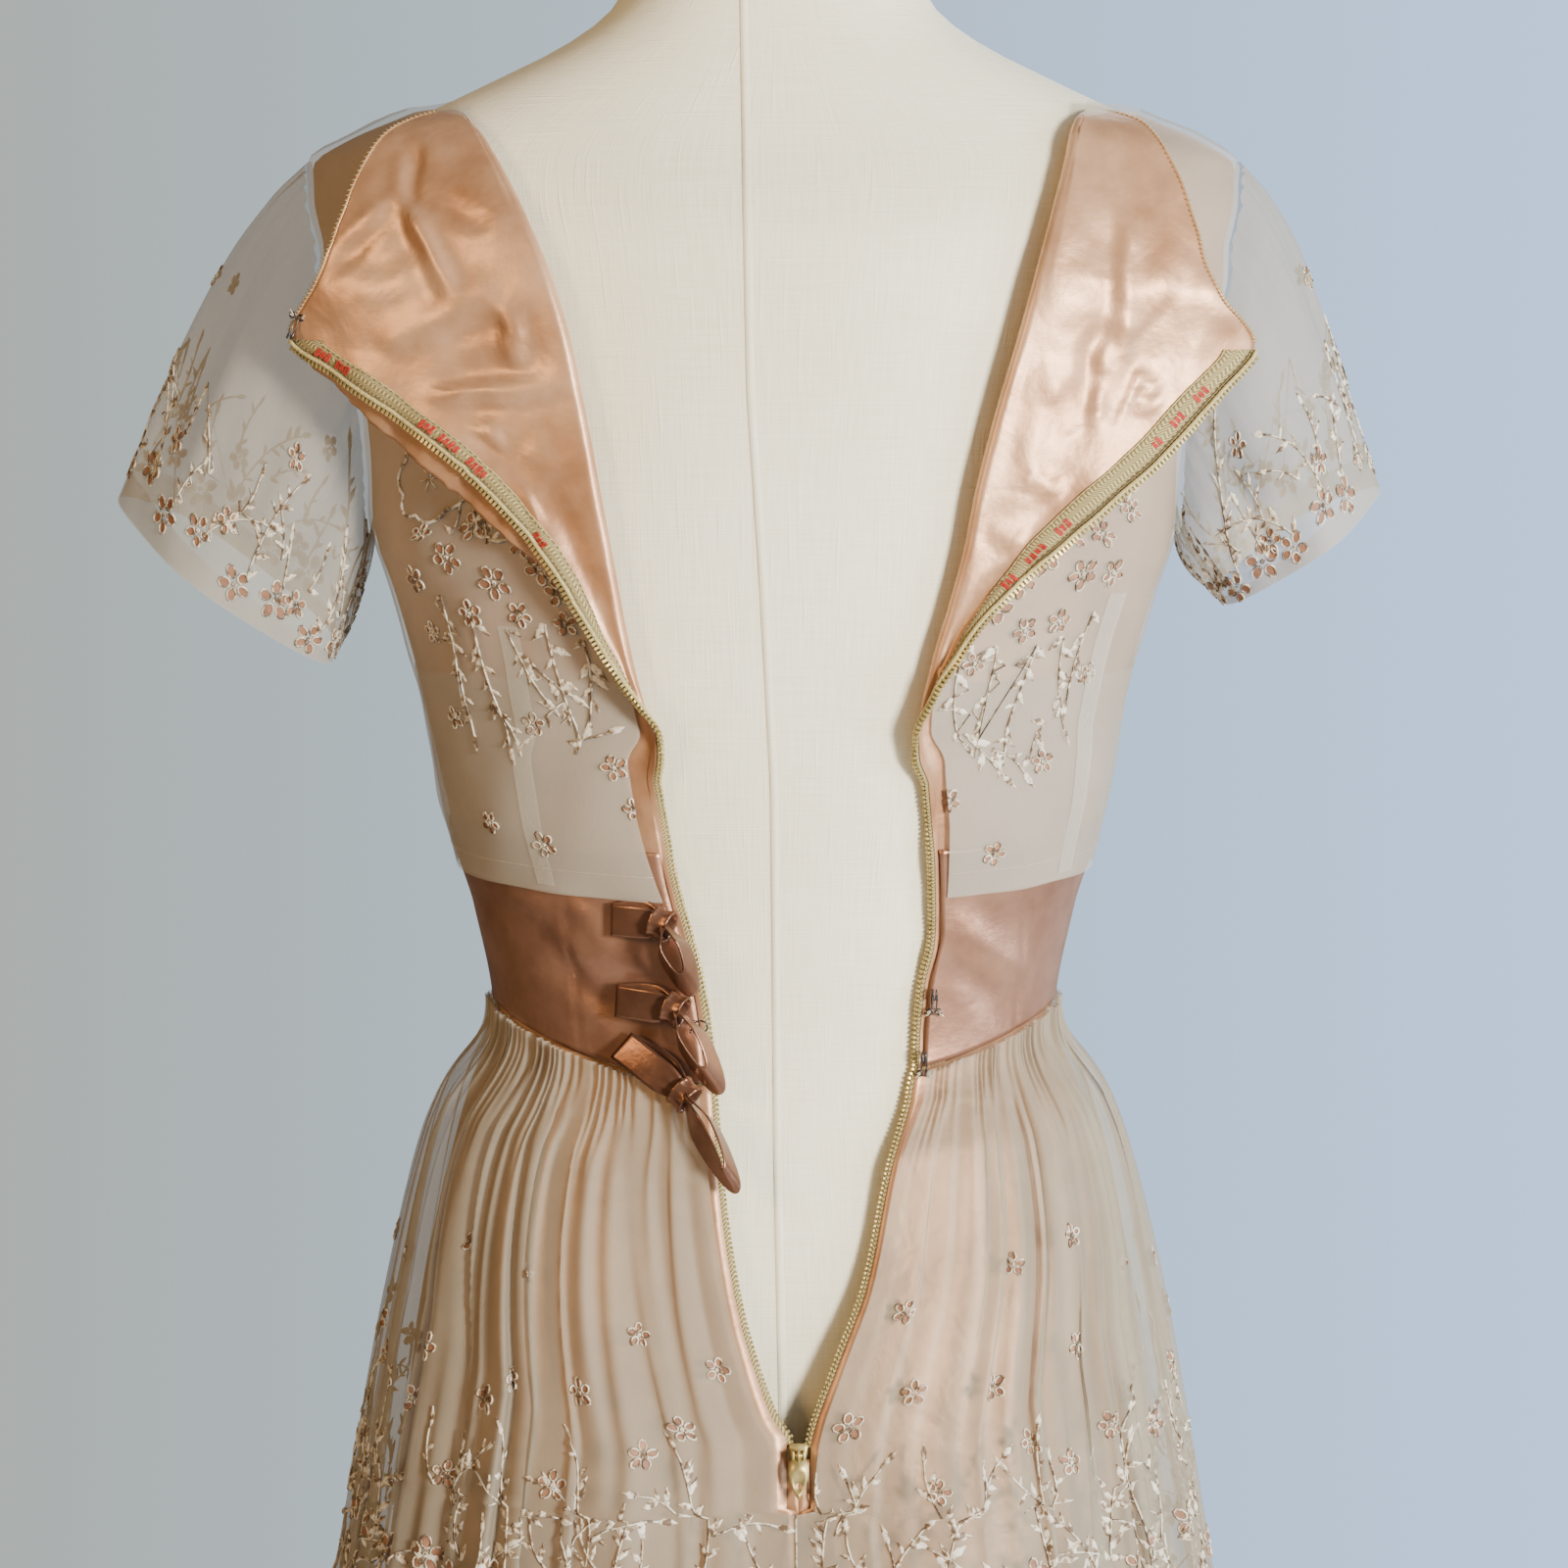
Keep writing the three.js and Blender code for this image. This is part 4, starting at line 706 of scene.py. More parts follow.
# A crease is a soft trough or ridge: two ends by distance right and height, its half-width,
# and how far it rises from the cloth, less than 0 for a trough.
FLAP_CREASES = {
    LEFT: [
        ((-0.1360, 1.3959), (-0.1359, 1.3731), 0.0035, 0.0030),
        ((-0.1372, 1.3720), (-0.1202, 1.3370), 0.0045, -0.0034),
        ((-0.1526, 1.3183), (-0.1075, 1.3413), 0.0060, -0.0030),
        ((-0.1306, 1.2995), (-0.0800, 1.3045), 0.0036, -0.0044),
        ((-0.1300, 1.3070), (-0.0820, 1.3130), 0.0050, 0.0020),
        ((-0.1249, 1.3713), (-0.1060, 1.3660), 0.0038, 0.0026),
        ((-0.1010, 1.3320), (-0.0985, 1.3120), 0.0040, -0.0028),
        ((-0.0930, 1.3350), (-0.0900, 1.3130), 0.0040, 0.0022),
        ((-0.1120, 1.2890), (-0.1040, 1.2850), 0.0030, -0.0022),
        ((-0.1640, 1.3480), (-0.1350, 1.3620), 0.0080, 0.0026),
        ((-0.1180, 1.3890), (-0.1000, 1.3560), 0.0100, -0.0024),
        ((-0.0950, 1.2850), (-0.0760, 1.2560), 0.0060, -0.0022),
        ((-0.0860, 1.2700), (-0.0680, 1.2250), 0.0050, 0.0022),
        ((-0.1731, 1.3515), (-0.1416, 1.3776), 0.0022, -0.0013),
        ((-0.1700, 1.3450), (-0.1430, 1.3700), 0.0024, 0.0012),
        ((-0.1416, 1.3776), (-0.1199, 1.3412), 0.0020, -0.0016),
        ((-0.1325, 1.3003), (-0.0833, 1.3083), 0.0017, -0.0018),
        ((-0.1160, 1.2876), (-0.1028, 1.2813), 0.0018, -0.0014),
        ((-0.1087, 1.3378), (-0.0927, 1.3191), 0.0020, -0.0014),
        ((-0.1250, 1.3230), (-0.0900, 1.3290), 0.0026, 0.0012),
        ((-0.0964, 1.2655), (-0.0840, 1.2403), 0.0020, -0.0014),
        ((-0.1400, 1.3980), (-0.1230, 1.3880), 0.0022, -0.0012),
        ((-0.1180, 1.2720), (-0.0860, 1.2870), 0.0030, 0.0011),
    ],
    RIGHT: [
        ((0.1347, 1.3640), (0.1325, 1.3307), 0.0040, -0.0030),
        ((0.1325, 1.3320), (0.1255, 1.3090), 0.0044, -0.0036),
        ((0.1275, 1.3280), (0.1205, 1.3060), 0.0050, 0.0024),
        ((0.1351, 1.3307), (0.1353, 1.3130), 0.0032, -0.0028),
        ((0.1380, 1.3090), (0.1481, 1.3005), 0.0032, -0.0032),
        ((0.1400, 1.3010), (0.1500, 1.2960), 0.0032, 0.0020),
        ((0.1247, 1.3050), (0.1249, 1.2877), 0.0030, -0.0026),
        ((0.1170, 1.3130), (0.1060, 1.2990), 0.0055, -0.0030),
        ((0.1150, 1.3900), (0.1060, 1.3250), 0.0080, -0.0028),
        ((0.1060, 1.3250), (0.0980, 1.2600), 0.0070, -0.0026),
        ((0.1560, 1.3500), (0.1480, 1.3250), 0.0070, 0.0020),
        ((0.0960, 1.2700), (0.1120, 1.2640), 0.0040, -0.0024),
        ((0.0820, 1.2500), (0.0960, 1.2440), 0.0040, -0.0020),
        ((0.1260, 1.3780), (0.1400, 1.3560), 0.0022, -0.0013),
        ((0.1110, 1.3480), (0.1290, 1.3420), 0.0020, -0.0014),
        ((0.1520, 1.3380), (0.1400, 1.3220), 0.0020, 0.0013),
        ((0.1090, 1.2860), (0.1290, 1.2960), 0.0019, -0.0014),
        ((0.0930, 1.3060), (0.1060, 1.3190), 0.0022, 0.0012),
        ((0.0800, 1.2300), (0.0950, 1.2330), 0.0019, -0.0012),
        ((0.1340, 1.2900), (0.1410, 1.3090), 0.0018, -0.0013),
    ],
}


def creased(points, creases, strength=None):
    """Points moved along their normals by soft creases, which fade at both ends."""
    move = np.zeros(points.shape[:-1])
    for (x0, z0), (x1, z1), width, depth in creases:
        run = np.array([x1 - x0, z1 - z0])
        length = np.linalg.norm(run)
        run /= length
        dx, dz = points[..., 0] - x0, points[..., 2] - z0
        along = (dx * run[0] + dz * run[1]) / length
        aside = (dx * run[1] - dz * run[0] + 0.15 * width * np.sin(along * 7)) / width
        fade = ease01((along + 0.12) / 0.35) * ease01((1.12 - along) / 0.35)
        move += depth * fade * (np.exp(-aside**2) - 0.30 * np.exp(-((aside - 1.6) ** 2)))
    if strength is not None:
        move = move * strength
    return points + grid_normals(points) * move[..., None]


def soft_waves(points, seed, size, pitch):
    """Low uneven hollows all over a cloth, of a given height and spacing."""
    turn = random.Random(seed)
    x, z = points[..., 0], points[..., 2]
    move = np.zeros(x.shape)
    for _ in range(7):
        direction = turn.uniform(0, math.pi)
        stretch = pitch * turn.uniform(0.6, 1.7)
        phase = turn.uniform(0, 2 * math.pi)
        across = x * math.cos(direction) + z * math.sin(direction)
        move += np.sin(across / stretch * 2 * math.pi + phase) / 7
    return points + grid_normals(points) * (move * 2 * size)[..., None]


def satin_finish(name, shade, light, metal, rough, crumpled=0.14):
    """Satin: long floats that gleam along the cloth, with faint ribs of thread."""
    finish = Finish(name, Roughness=rough, Metallic=metal, Sheen_Weight=0.12,
                    Sheen_Roughness=0.4)
    finish.shader.inputs["Sheen Tint"].default_value = (*light, 1)
    # The tone drifts at random between a shaded and a lit colour: painted shade and sheen in soft
    # blotches.
    cloud = finish.through(22, 4, 0.6)
    tone = finish.ramp(cloud, [(0.32, shade), (0.68, light)])
    ribs = finish.threads((240, 3600, 1), 2)
    finish.darkened(tone, ribs, 0.93)
    puckers = finish.through(130, 3, 0.55)
    first = finish.bump(ribs, 0.12, 0.0003)
    crumple = finish.through(46, 2, 0.5, 0.9)
    second = finish.bump(puckers, 0.16, 0.0016, first)
    finish.bump(crumple, crumpled, 0.0040, second)
    return finish.material


peach_satin = satin_finish("peach_satin", (0.40, 0.19, 0.088), (0.64, 0.375, 0.215), 0.36, 0.39)
BODICE_ROWS = 132

bodice_levels = np.linspace(WAIST + SEAM / 2, NECK_POINT, BODICE_ROWS)
lining_grids = {}
for side in (LEFT, RIGHT):
    rows = np.array([lining_row(side, level) for level in bodice_levels])
    turned_columns = np.zeros(rows.shape[:2])
    turned_columns[:, BODY_COLUMNS + ROLL_COLUMNS:] = np.linspace(0, 1, FLAP_COLUMNS + 1) ** 0.3
    rows = creased(rows, FLAP_CREASES[side],
                   -side * turned_columns * (0.85 if side == LEFT else 0.6))
    waves = soft_waves(soft_waves(rows, 11 + side, 0.0008, 0.045), 15 + side, 0.00035, 0.017)
    rows = mixed(rows, waves, turned_columns[..., None])
    tip = rows[..., 2].max()
    near_tip = np.clip((rows[..., 2] - tip + 0.026) / 0.026, 0, 1)
    rise = np.clip((rows[..., 2] - 1.335) / (tip - 1.335), 0, 1)
    rows[..., 2] -= 0.010 * near_tip**2 * ease01((np.arange(rows.shape[1]) - 32) / 12)
    bulge = (0.0045 if side == LEFT else 0.0014) * np.sin(math.pi * rise)
    beside_zip = np.exp(-(((rows[..., 2] - ZIP_TOP_LEVEL - 0.016) / 0.012) ** 2))
    bulge += (0.0012 if side == LEFT else 0.0042) * beside_zip
    rows[..., 0] += side * bulge * turned_columns**2
    lining_grids[side] = rows
    panel = finish_piece(f"bodice_lining_back_{NAMES[side]}_satin",
                         grid_bmesh(facing(rows, side)), peach_satin,
                         [f"bodice_lining_back_{NAMES[side]}"])
    thickened(panel, SATIN)


FRONT_NECK, FRONT_NECK_HALF_WIDTH = 1.345, 0.125


def front_grid(rows_at, columns, lift_at):
    """A bodice front, from side seam to side seam, with its armholes and scooped neck."""
    grid = []
    for level in rows_at:
        section = bodice_section(level)
        reach = side_angle(level, section["front"]) - SEAM / 2 / 0.12
        half_width = section["side"] * power(np.sin(reach), 2 / SQUARENESS)
        up = np.clip((level - OVERLAY_HEM) / (NECK_POINT - OVERLAY_HEM), 0, 1)
        middle = mixed(OVERLAY_HEM, FRONT_NECK, up) if level > OVERLAY_HEM else level
        top = ease01((level - SHOULDER_TIP) / (NECK_POINT - SHOULDER_TIP))
        width = mixed(half_width, FRONT_NECK_HALF_WIDTH, top)
        share = np.sin(np.linspace(1, -1, columns + 1) * reach) / np.sin(reach)
        height = mixed(middle, level, np.abs(share) ** 3)
        angle = angle_out(bodice_section(height), width * share)
        grid.append(lifted(bodice_section, height, 2 * QUARTER - angle,
                           np.full_like(height, lift_at(level))))
    return np.array(grid)


front_rows = front_grid(bodice_levels[::2], 96, lambda level: 0)
front = finish_piece("bodice_lining_front_satin", grid_bmesh(front_rows), peach_satin,
                     ["bodice_lining_front"])
thickened(front, SATIN)

# ---- Bodice overlay ----
# Sheer organza over the lining, cut as a front and two backs. Its hem is turned up inside
# nearly as high as the bust, so that the lower half of the bodice is of two layers.

OVERLAY_LIFT = Profile(("level", "lift"), [
    (1.100, 0.0036), (1.130, 0.0036), (1.165, 0.0020), (1.200, 0.0018), (1.345, 0.0018),
    (1.380, 0.0028), (1.440, 0.0028),
])
OVERLAY_EDGE = Profile(("level", "left", "right"), [
    (1.100, 0.006, 0.006), (1.145, 0.011, 0.009), (1.165, 0.011, 0.009),
])
DEEP_HEM_TOP = 1.190


def organza_finish(name, tint, alpha):
    """Sheer crisp organza: a thin open weave with a faint lustre at its folds."""
    finish = Finish(name, Roughness=0.6, Alpha=alpha, Specular_IOR_Level=0.25,
                    Sheen_Weight=0.06, Sheen_Roughness=0.35)
    cloud = finish.noise(finish.coordinates("UV", (1, 1, 1)), 30, 4)
    low = tuple(0.92 * c for c in tint)
    tone = finish.ramp(cloud, [(0.35, low), (0.65, tint)])
    threads = finish.threads((2400, 160, 1), 2)
    finish.darkened(tone, threads, 0.93)
    finish.bump(threads, 0.1, 0.0002)
    return finish.material


organza = organza_finish("bodice_organza", (0.55, 0.485, 0.39), 0.49)


def overlay_edge(side, level):
    below = chain_out(side, level) + OVERLAY_EDGE(NAMES[side], level)
    above = fold_at(side, level)["start"] + 0.0005
    return mixed(below, above, ease01((level - 1.155) / 0.015))


def overlay_grid(side, rows_at, columns, sink=0):
    grid = []
    for level in rows_at:
        section = bodice_section(level)
        angles = np.linspace(side_angle(level, section["back"]),
                             angle_out(section, overlay_edge(side, level)), columns + 1)
        lift = np.full_like(angles, OVERLAY_LIFT("lift", level) - sink)
        grid.append(back_point(side, level, angles, lift))
    return np.array(grid)


overlay_levels = np.linspace(OVERLAY_HEM, NECK_POINT, 100)
overlay_grids = {}
for side in (LEFT, RIGHT):
    rows = soft_waves(overlay_grid(side, overlay_levels, 60), 21 + side, 0.0007, 0.034)
    overlay_grids[side] = rows
    sheer = finish_piece(f"bodice_overlay_back_{NAMES[side]}_organza",
                         grid_bmesh(facing(rows, side)), organza,
                         [f"bodice_overlay_back_{NAMES[side]}"])
    hem_levels = np.linspace(OVERLAY_HEM + 0.0004, DEEP_HEM_TOP, 36)
    hem_rows = overlay_grid(side, hem_levels, 60, sink=0.0007)
    hem = finish_piece(f"bodice_overlay_hem_{NAMES[side]}",
                       grid_bmesh(facing(hem_rows, side)), organza)

front_lift = front_grid(overlay_levels[::2], 90,
                        lambda level: OVERLAY_LIFT("lift", level))
front_sheer = finish_piece("bodice_overlay_front_organza", grid_bmesh(front_lift), organza,
                           ["bodice_overlay_front"])
front_hem_rows = front_grid(np.linspace(OVERLAY_HEM + 0.0004, 1.165, 24), 90,
                            lambda level: OVERLAY_LIFT("lift", level) - 0.0007)
front_hem = finish_piece("bodice_overlay_hem_front", grid_bmesh(front_hem_rows), organza)

# ---- Midriff band ----
# A fitted band of heavier rose-bronze satin between bodice and skirt, cut as a front and
# two backs with a seam in each, and eased so that soft diagonal folds cross it.

MIDRIFF_LIFT, MIDRIFF_EDGE = 0.0017, 0.0046
MIDRIFF_CREASES = {
    LEFT: [
        ((-0.1110, 1.1114), (-0.0652, 1.0725), 0.0075, 0.0030),
        ((-0.0980, 1.0960), (-0.0660, 1.0560), 0.0055, -0.0014),
        ((-0.0882, 1.1081), (-0.0480, 1.0700), 0.0060, 0.0024),
        ((-0.0700, 1.0660), (-0.0440, 1.0400), 0.0060, -0.0008),
        ((-0.0850, 1.1200), (-0.0770, 1.0340), 0.0011, -0.0007),
    ],
    RIGHT: [
        ((0.0640, 1.0950), (0.1042, 1.0686), 0.0066, 0.0026),
        ((0.0657, 1.0786), (0.1005, 1.0490), 0.0070, -0.0008),
        ((0.1020, 1.1200), (0.0980, 1.0400), 0.0011, -0.0007),
    ],
}
rose_satin = satin_finish("rose_satin", (0.26, 0.115, 0.065), (0.50, 0.265, 0.168), 0.62, 0.33,
                          0.07)


def midriff_grid(side, rows_at, columns):
    grid = []
    for level in rows_at:
        to = angle_out(bodice_section(level), chain_out(side, level) + MIDRIFF_EDGE)
        angles = np.linspace(QUARTER, to, columns + 1)
        grid.append(back_point(side, level, angles, np.full_like(angles, MIDRIFF_LIFT)))
    return np.array(grid)


midriff_levels = np.linspace(WAIST + SEAM, MIDRIFF_TOP, 40)
for side in (LEFT, RIGHT):
    rows = midriff_grid(side, midriff_levels, 64)
    inside = np.minimum(np.linspace(0, 8, 65), np.linspace(8, 0, 65)).clip(0, 1)
    below_hem = ease01((1.107 - rows[..., 2]) / 0.012)
    rows = creased(rows, MIDRIFF_CREASES[side], -side * inside[None, :] * 0.8 * below_hem)
    band = finish_piece(f"midriff_back_{NAMES[side]}_satin",
                        grid_bmesh(facing(rows, side)), rose_satin,
                        [f"midriff_back_{NAMES[side]}"])
    thickened(band, SATIN)
front_band_rows = front_grid(midriff_levels, 80, lambda level: MIDRIFF_LIFT)
front_band = finish_piece("midriff_front_satin", grid_bmesh(front_band_rows), rose_satin,
                          ["midriff_front"])
thickened(front_band, SATIN)

# ---- Sleeves ----
# Short set-in sleeves of one sheer layer, eased over the shoulder and open at the cuff,
# where a narrow hem is turned up.

SLEEVE_LIFT = 0.0036
CUFF_FORWARD = 0.004
CUFF = {
    LEFT: {"out": 0.226, "level": 1.224, "wide": 0.088, "high": 0.066, "half_depth": 0.046,
           "dip": 0.13},
    RIGHT: {"out": 0.217, "level": 1.238, "wide": 0.064, "high": 0.046, "half_depth": 0.054,
            "dip": 0.05},
}
SLEEVE_SWELL = Profile(("along", "swell"), [
    (0, 0), (0.12, 0.005), (0.3, 0.0075), (0.55, 0.006), (0.8, 0.003), (1, 0),
])


def armhole_points(side, turn, lift):
    height = ARMHOLE["level"] + ARMHOLE["half_height"] * np.cos(turn)
    depth = ARMHOLE["half_depth"] * np.sin(turn)
    section = bodice_section(height)
    reach = np.where(depth > 0, section["back"], section["front"])
    share = (np.abs(depth) / reach) ** SQUARENESS
    out = section["side"] * (1 - share) ** (1 / SQUARENESS)
    return np.stack([side * (out + lift), -depth, height], axis=-1)


def cuff_points(side, turn):
    cuff = CUFF[side]
    depth = cuff["half_depth"] * np.sin(turn)
    return np.stack([side * (cuff["out"] + cuff["wide"] / 2 * np.cos(turn)),
                     CUFF_FORWARD - depth,
                     cuff["level"] + cuff["high"] / 2 * np.cos(turn) - cuff["dip"] * depth],
                    axis=-1)


def sleeve_grid(side, alongs, columns, sink=0):
    """Rows from cuff to armhole, round the arm from the shoulder by way of the back."""
    turn = np.linspace(0, 4 * QUARTER, columns + 1)
    grid = []
    for along in alongs:
        points = mixed(armhole_points(side, turn, SLEEVE_LIFT), cuff_points(side, turn), along)
        wave = 0.0022 * along * np.sin(5 * turn + 1)
        wave += 0.0022 * math.sin(math.pi * along) * np.sin(8 * turn + 2 * along + side)
        wave += 0.0012 * (1 - along) ** 3 * np.sin(46 * turn + 2 * np.sin(5 * turn))
        wave += 0.0010 * along * math.sin(math.pi * along) * np.sin(17 * turn - 4 * along)
        push = SLEEVE_SWELL("swell", along) * (0.65 + 0.35 * np.cos(turn)) + wave - sink
        points[:, 0] += side * push * np.cos(turn) * 0.8
        points[:, 1] -= push * np.sin(turn)
        points[:, 2] += push * np.cos(turn) * 0.6
        grid.append(points)
    return np.array(grid)


sleeve_organza = organza_finish("sleeve_organza", (0.50, 0.45, 0.36), 0.50)
sleeve_grids = {}
for side in (LEFT, RIGHT):
    rows = sleeve_grid(side, np.linspace(1, 0, 60), 110)
    sleeve_grids[side] = rows
    sleeve = finish_piece(f"sleeve_{NAMES[side]}_organza",
                          grid_bmesh(facing(rows, -side), tube=True),
                          sleeve_organza, [f"sleeve_{NAMES[side]}"])
    hem_rows = sleeve_grid(side, np.linspace(0.998, 0.91, 5), 110, sink=0.0006)
    cuff_hem = finish_piece(f"sleeve_{NAMES[side]}_hem",
                            grid_bmesh(facing(hem_rows, -side), tube=True), sleeve_organza)

# ---- Skirt lining ----
# Peach satin, flared and lightly gathered into the waist, cut as a front and two backs.

SKIRT_NAMES = ("level", "side", "back", "front", "fold")
SKIRT = Profile(SKIRT_NAMES, [
    (0.290, 0.296, 0.266, 0.260, 0.0120),
    (0.450, 0.258, 0.230, 0.224, 0.0105),
    (0.650, 0.216, 0.190, 0.186, 0.0090),
    (0.810, 0.185, 0.160, 0.154, 0.0075),
    (0.860, 0.176, 0.149, 0.145, 0.0070),
    (0.930, 0.163, 0.130, 0.131, 0.0060),
    (0.995, 0.147, 0.110, 0.116, 0.0042),
    (1.035, 0.129, 0.100, 0.102, 0.0028),
    (1.052, 0.1205, 0.092, 0.0935, 0.0016),
])
SKIRT_LINING = Profile(SKIRT_NAMES, [
    (0.290, 0.264, 0.234, 0.228, 0.0070),
    (0.450, 0.232, 0.203, 0.198, 0.0060),
    (0.650, 0.194, 0.166, 0.163, 0.0050),
    (0.810, 0.165, 0.138, 0.134, 0.0040),
    (0.860, 0.158, 0.130, 0.126, 0.0034),
    (0.930, 0.148, 0.116, 0.115, 0.0026),
    (0.995, 0.133, 0.100, 0.102, 0.0016),
    (1.035, 0.121, 0.093, 0.093, 0.0006),
    (1.052, 0.117, 0.088, 0.090, 0.0003),
])
HEM, LINING_HEM, ZIP_END = 0.290, 0.312, 0.868
CENTRE_SEAM, SLOT = 0.0098, 0.0047
SKIRT_SPRING, LOWEST_BODY, SKIRT_OVERLAY_LIFT = 0.040, 1.020, 0.0036
HUG = {"width": 0.25, "run": 0.060, "clearance": 0.0038, "folds_left": 0.15}


def skirt_section(profile, level, height):
    """The mean section at a level: it leaves the waist on the body's line, then flares."""
    blend = ease01((WAIST - level) / SKIRT_SPRING)
    body = bodice_section(np.maximum(height, LOWEST_BODY))
    away = SKIRT_OVERLAY_LIFT if profile is SKIRT else 0
    return {name: mixed(body[name] + away, profile(name, level), blend)
            for name in ("side", "back", "front")}


def fold_wave(share, folds, seed, quarter=0):
    """Uneven folds: how far out, or with a quarter turn how far along, the cloth lies."""
    warped = share + 0.02 * np.sin(6 * np.pi * share + seed)
    size = 0.82 + 0.18 * np.sin(4.4 * np.pi * share + 2 * seed)
    return size * np.sin(2 * np.pi * folds * warped + quarter)


def skirt_edge(side, level, inset):
    if level <= ZIP_END:
        return side * CENTRE_SEAM + SEAM / 2
    return max(float(chain_out(side, level)) + inset, side * CENTRE_SEAM + SLOT)


def skirt_row(profile, side, level, share, inset):
    """Mean points of a skirt panel at a level, with their sections and heights."""
    start = min(level, WAIST - 2 * SEAM)
    base = skirt_section(profile, start, dipped_height(start, 0 if side else 1))
    if side:
        to = angle_out(base, skirt_edge(side, start, inset))
        shut = angle_out(base, skirt_edge(side, HEM, inset))
        first = QUARTER - SEAM / 2 / base["side"]
        reach = float(mixed(0.15, 1, ease01((start - ZIP_END) / 0.12)))
        opened = np.clip((share - 1 + reach) / reach, 0, 1)
        angle = side * (mixed(first, shut, share) + (to - shut) * opened)
        height = dipped_height(start, power(np.sin(angle), 2 / SQUARENESS))
    else:
        first = QUARTER + SEAM / 2 / base["side"]
        angle = mixed(first, 4 * QUARTER - first, share)
        height = np.full_like(share, start)
    section = skirt_section(profile, start, height)
    return section, height, angle


def line_lengths(line):
    """Distance along one line of points, from its start."""
    return np.concatenate([[0], np.cumsum(np.linalg.norm(np.diff(line, axis=0), axis=1))])


def along_line(line, at):
    """The points at given distances along a line."""
    length = line_lengths(line)
    return np.stack([np.interp(at, length, line[:, axis]) for axis in range(3)], axis=-1)


def spread_evenly(points):
    """The same line of cloth with its points spaced evenly along it."""
    return along_line(points, np.linspace(0, line_lengths(points)[-1], len(points)))


def lining_skirt_grid(side, rows_at, columns, folds, seed):
    share = np.linspace(0, 1, columns + 1)
    calm = ease01(share * folds) * ease01((1 - share) * folds)
    grid = []
    for level in rows_at:
        section, height, angle = skirt_row(SKIRT_LINING, side, level, share, LINING_EDGE)
        points = on_section(section, height, angle)
        out = units(points * (1, 1, 0))
        push = SKIRT_LINING("fold", level) * calm * fold_wave(share, folds, seed)
        deep = ease01((WAIST - level) / 0.10)
        push = push + 0.0011 * calm * deep * np.sin(2 * np.pi * folds * 4.5 * share + 3 * seed)
        grid.append(points + out * push[:, None])
    return np.array(grid)


skirt_lining_levels = np.concatenate([
    np.linspace(LINING_HEM, ZIP_END, 70), np.linspace(ZIP_END + 0.0012, WAIST, 46)])
skirt_lining_grids = {}
SEEDS = {LEFT: 0.4, RIGHT: 1.3}
for side in (LEFT, RIGHT):
    rows = lining_skirt_grid(side, skirt_lining_levels, 72, 2, SEEDS[side])
    skirt_lining_grids[side] = rows
    panel = finish_piece(f"skirt_lining_back_{NAMES[side]}_satin",
                         grid_bmesh(facing(rows, side)), peach_satin,
                         [f"skirt_lining_back_{NAMES[side]}"])
    thickened(panel, SATIN)
front_rows = lining_skirt_grid(None, skirt_lining_levels[::2], 110, 5, 2.1)
panel = finish_piece("skirt_lining_front_satin", grid_bmesh(front_rows), peach_satin,
                     ["skirt_lining_front"])
thickened(panel, SATIN)

# ---- Skirt overlay ----
# One full layer of sheer organza, closely gathered at the waist. The gathers run into deep
# soft folds, some of which lie over their neighbours.

SKIRT_OVERLAY_EDGE = 0.007
skirt_organza = organza_finish("skirt_organza", (0.41, 0.355, 0.26), 0.54)


def narrow_folds(dense, below, folds):
    """Deep narrow folds that change down the skirt: how far in, and how far aside."""
    push, lean = np.zeros_like(dense), np.zeros_like(dense)
    for place, width, depth, shear, phase in folds:
        at = place + 0.016 * math.sin((5 + phase) * below + phase)
        aside = (dense - at) / (width * (0.8 + 1.3 * below))
        size = depth * max(0.62 + 0.46 * math.sin((7 + phase) * below + 2 * phase), 0.1)
        size = size * np.exp(-(aside**2))
        push -= size
        lean -= size * shear
    return push, lean


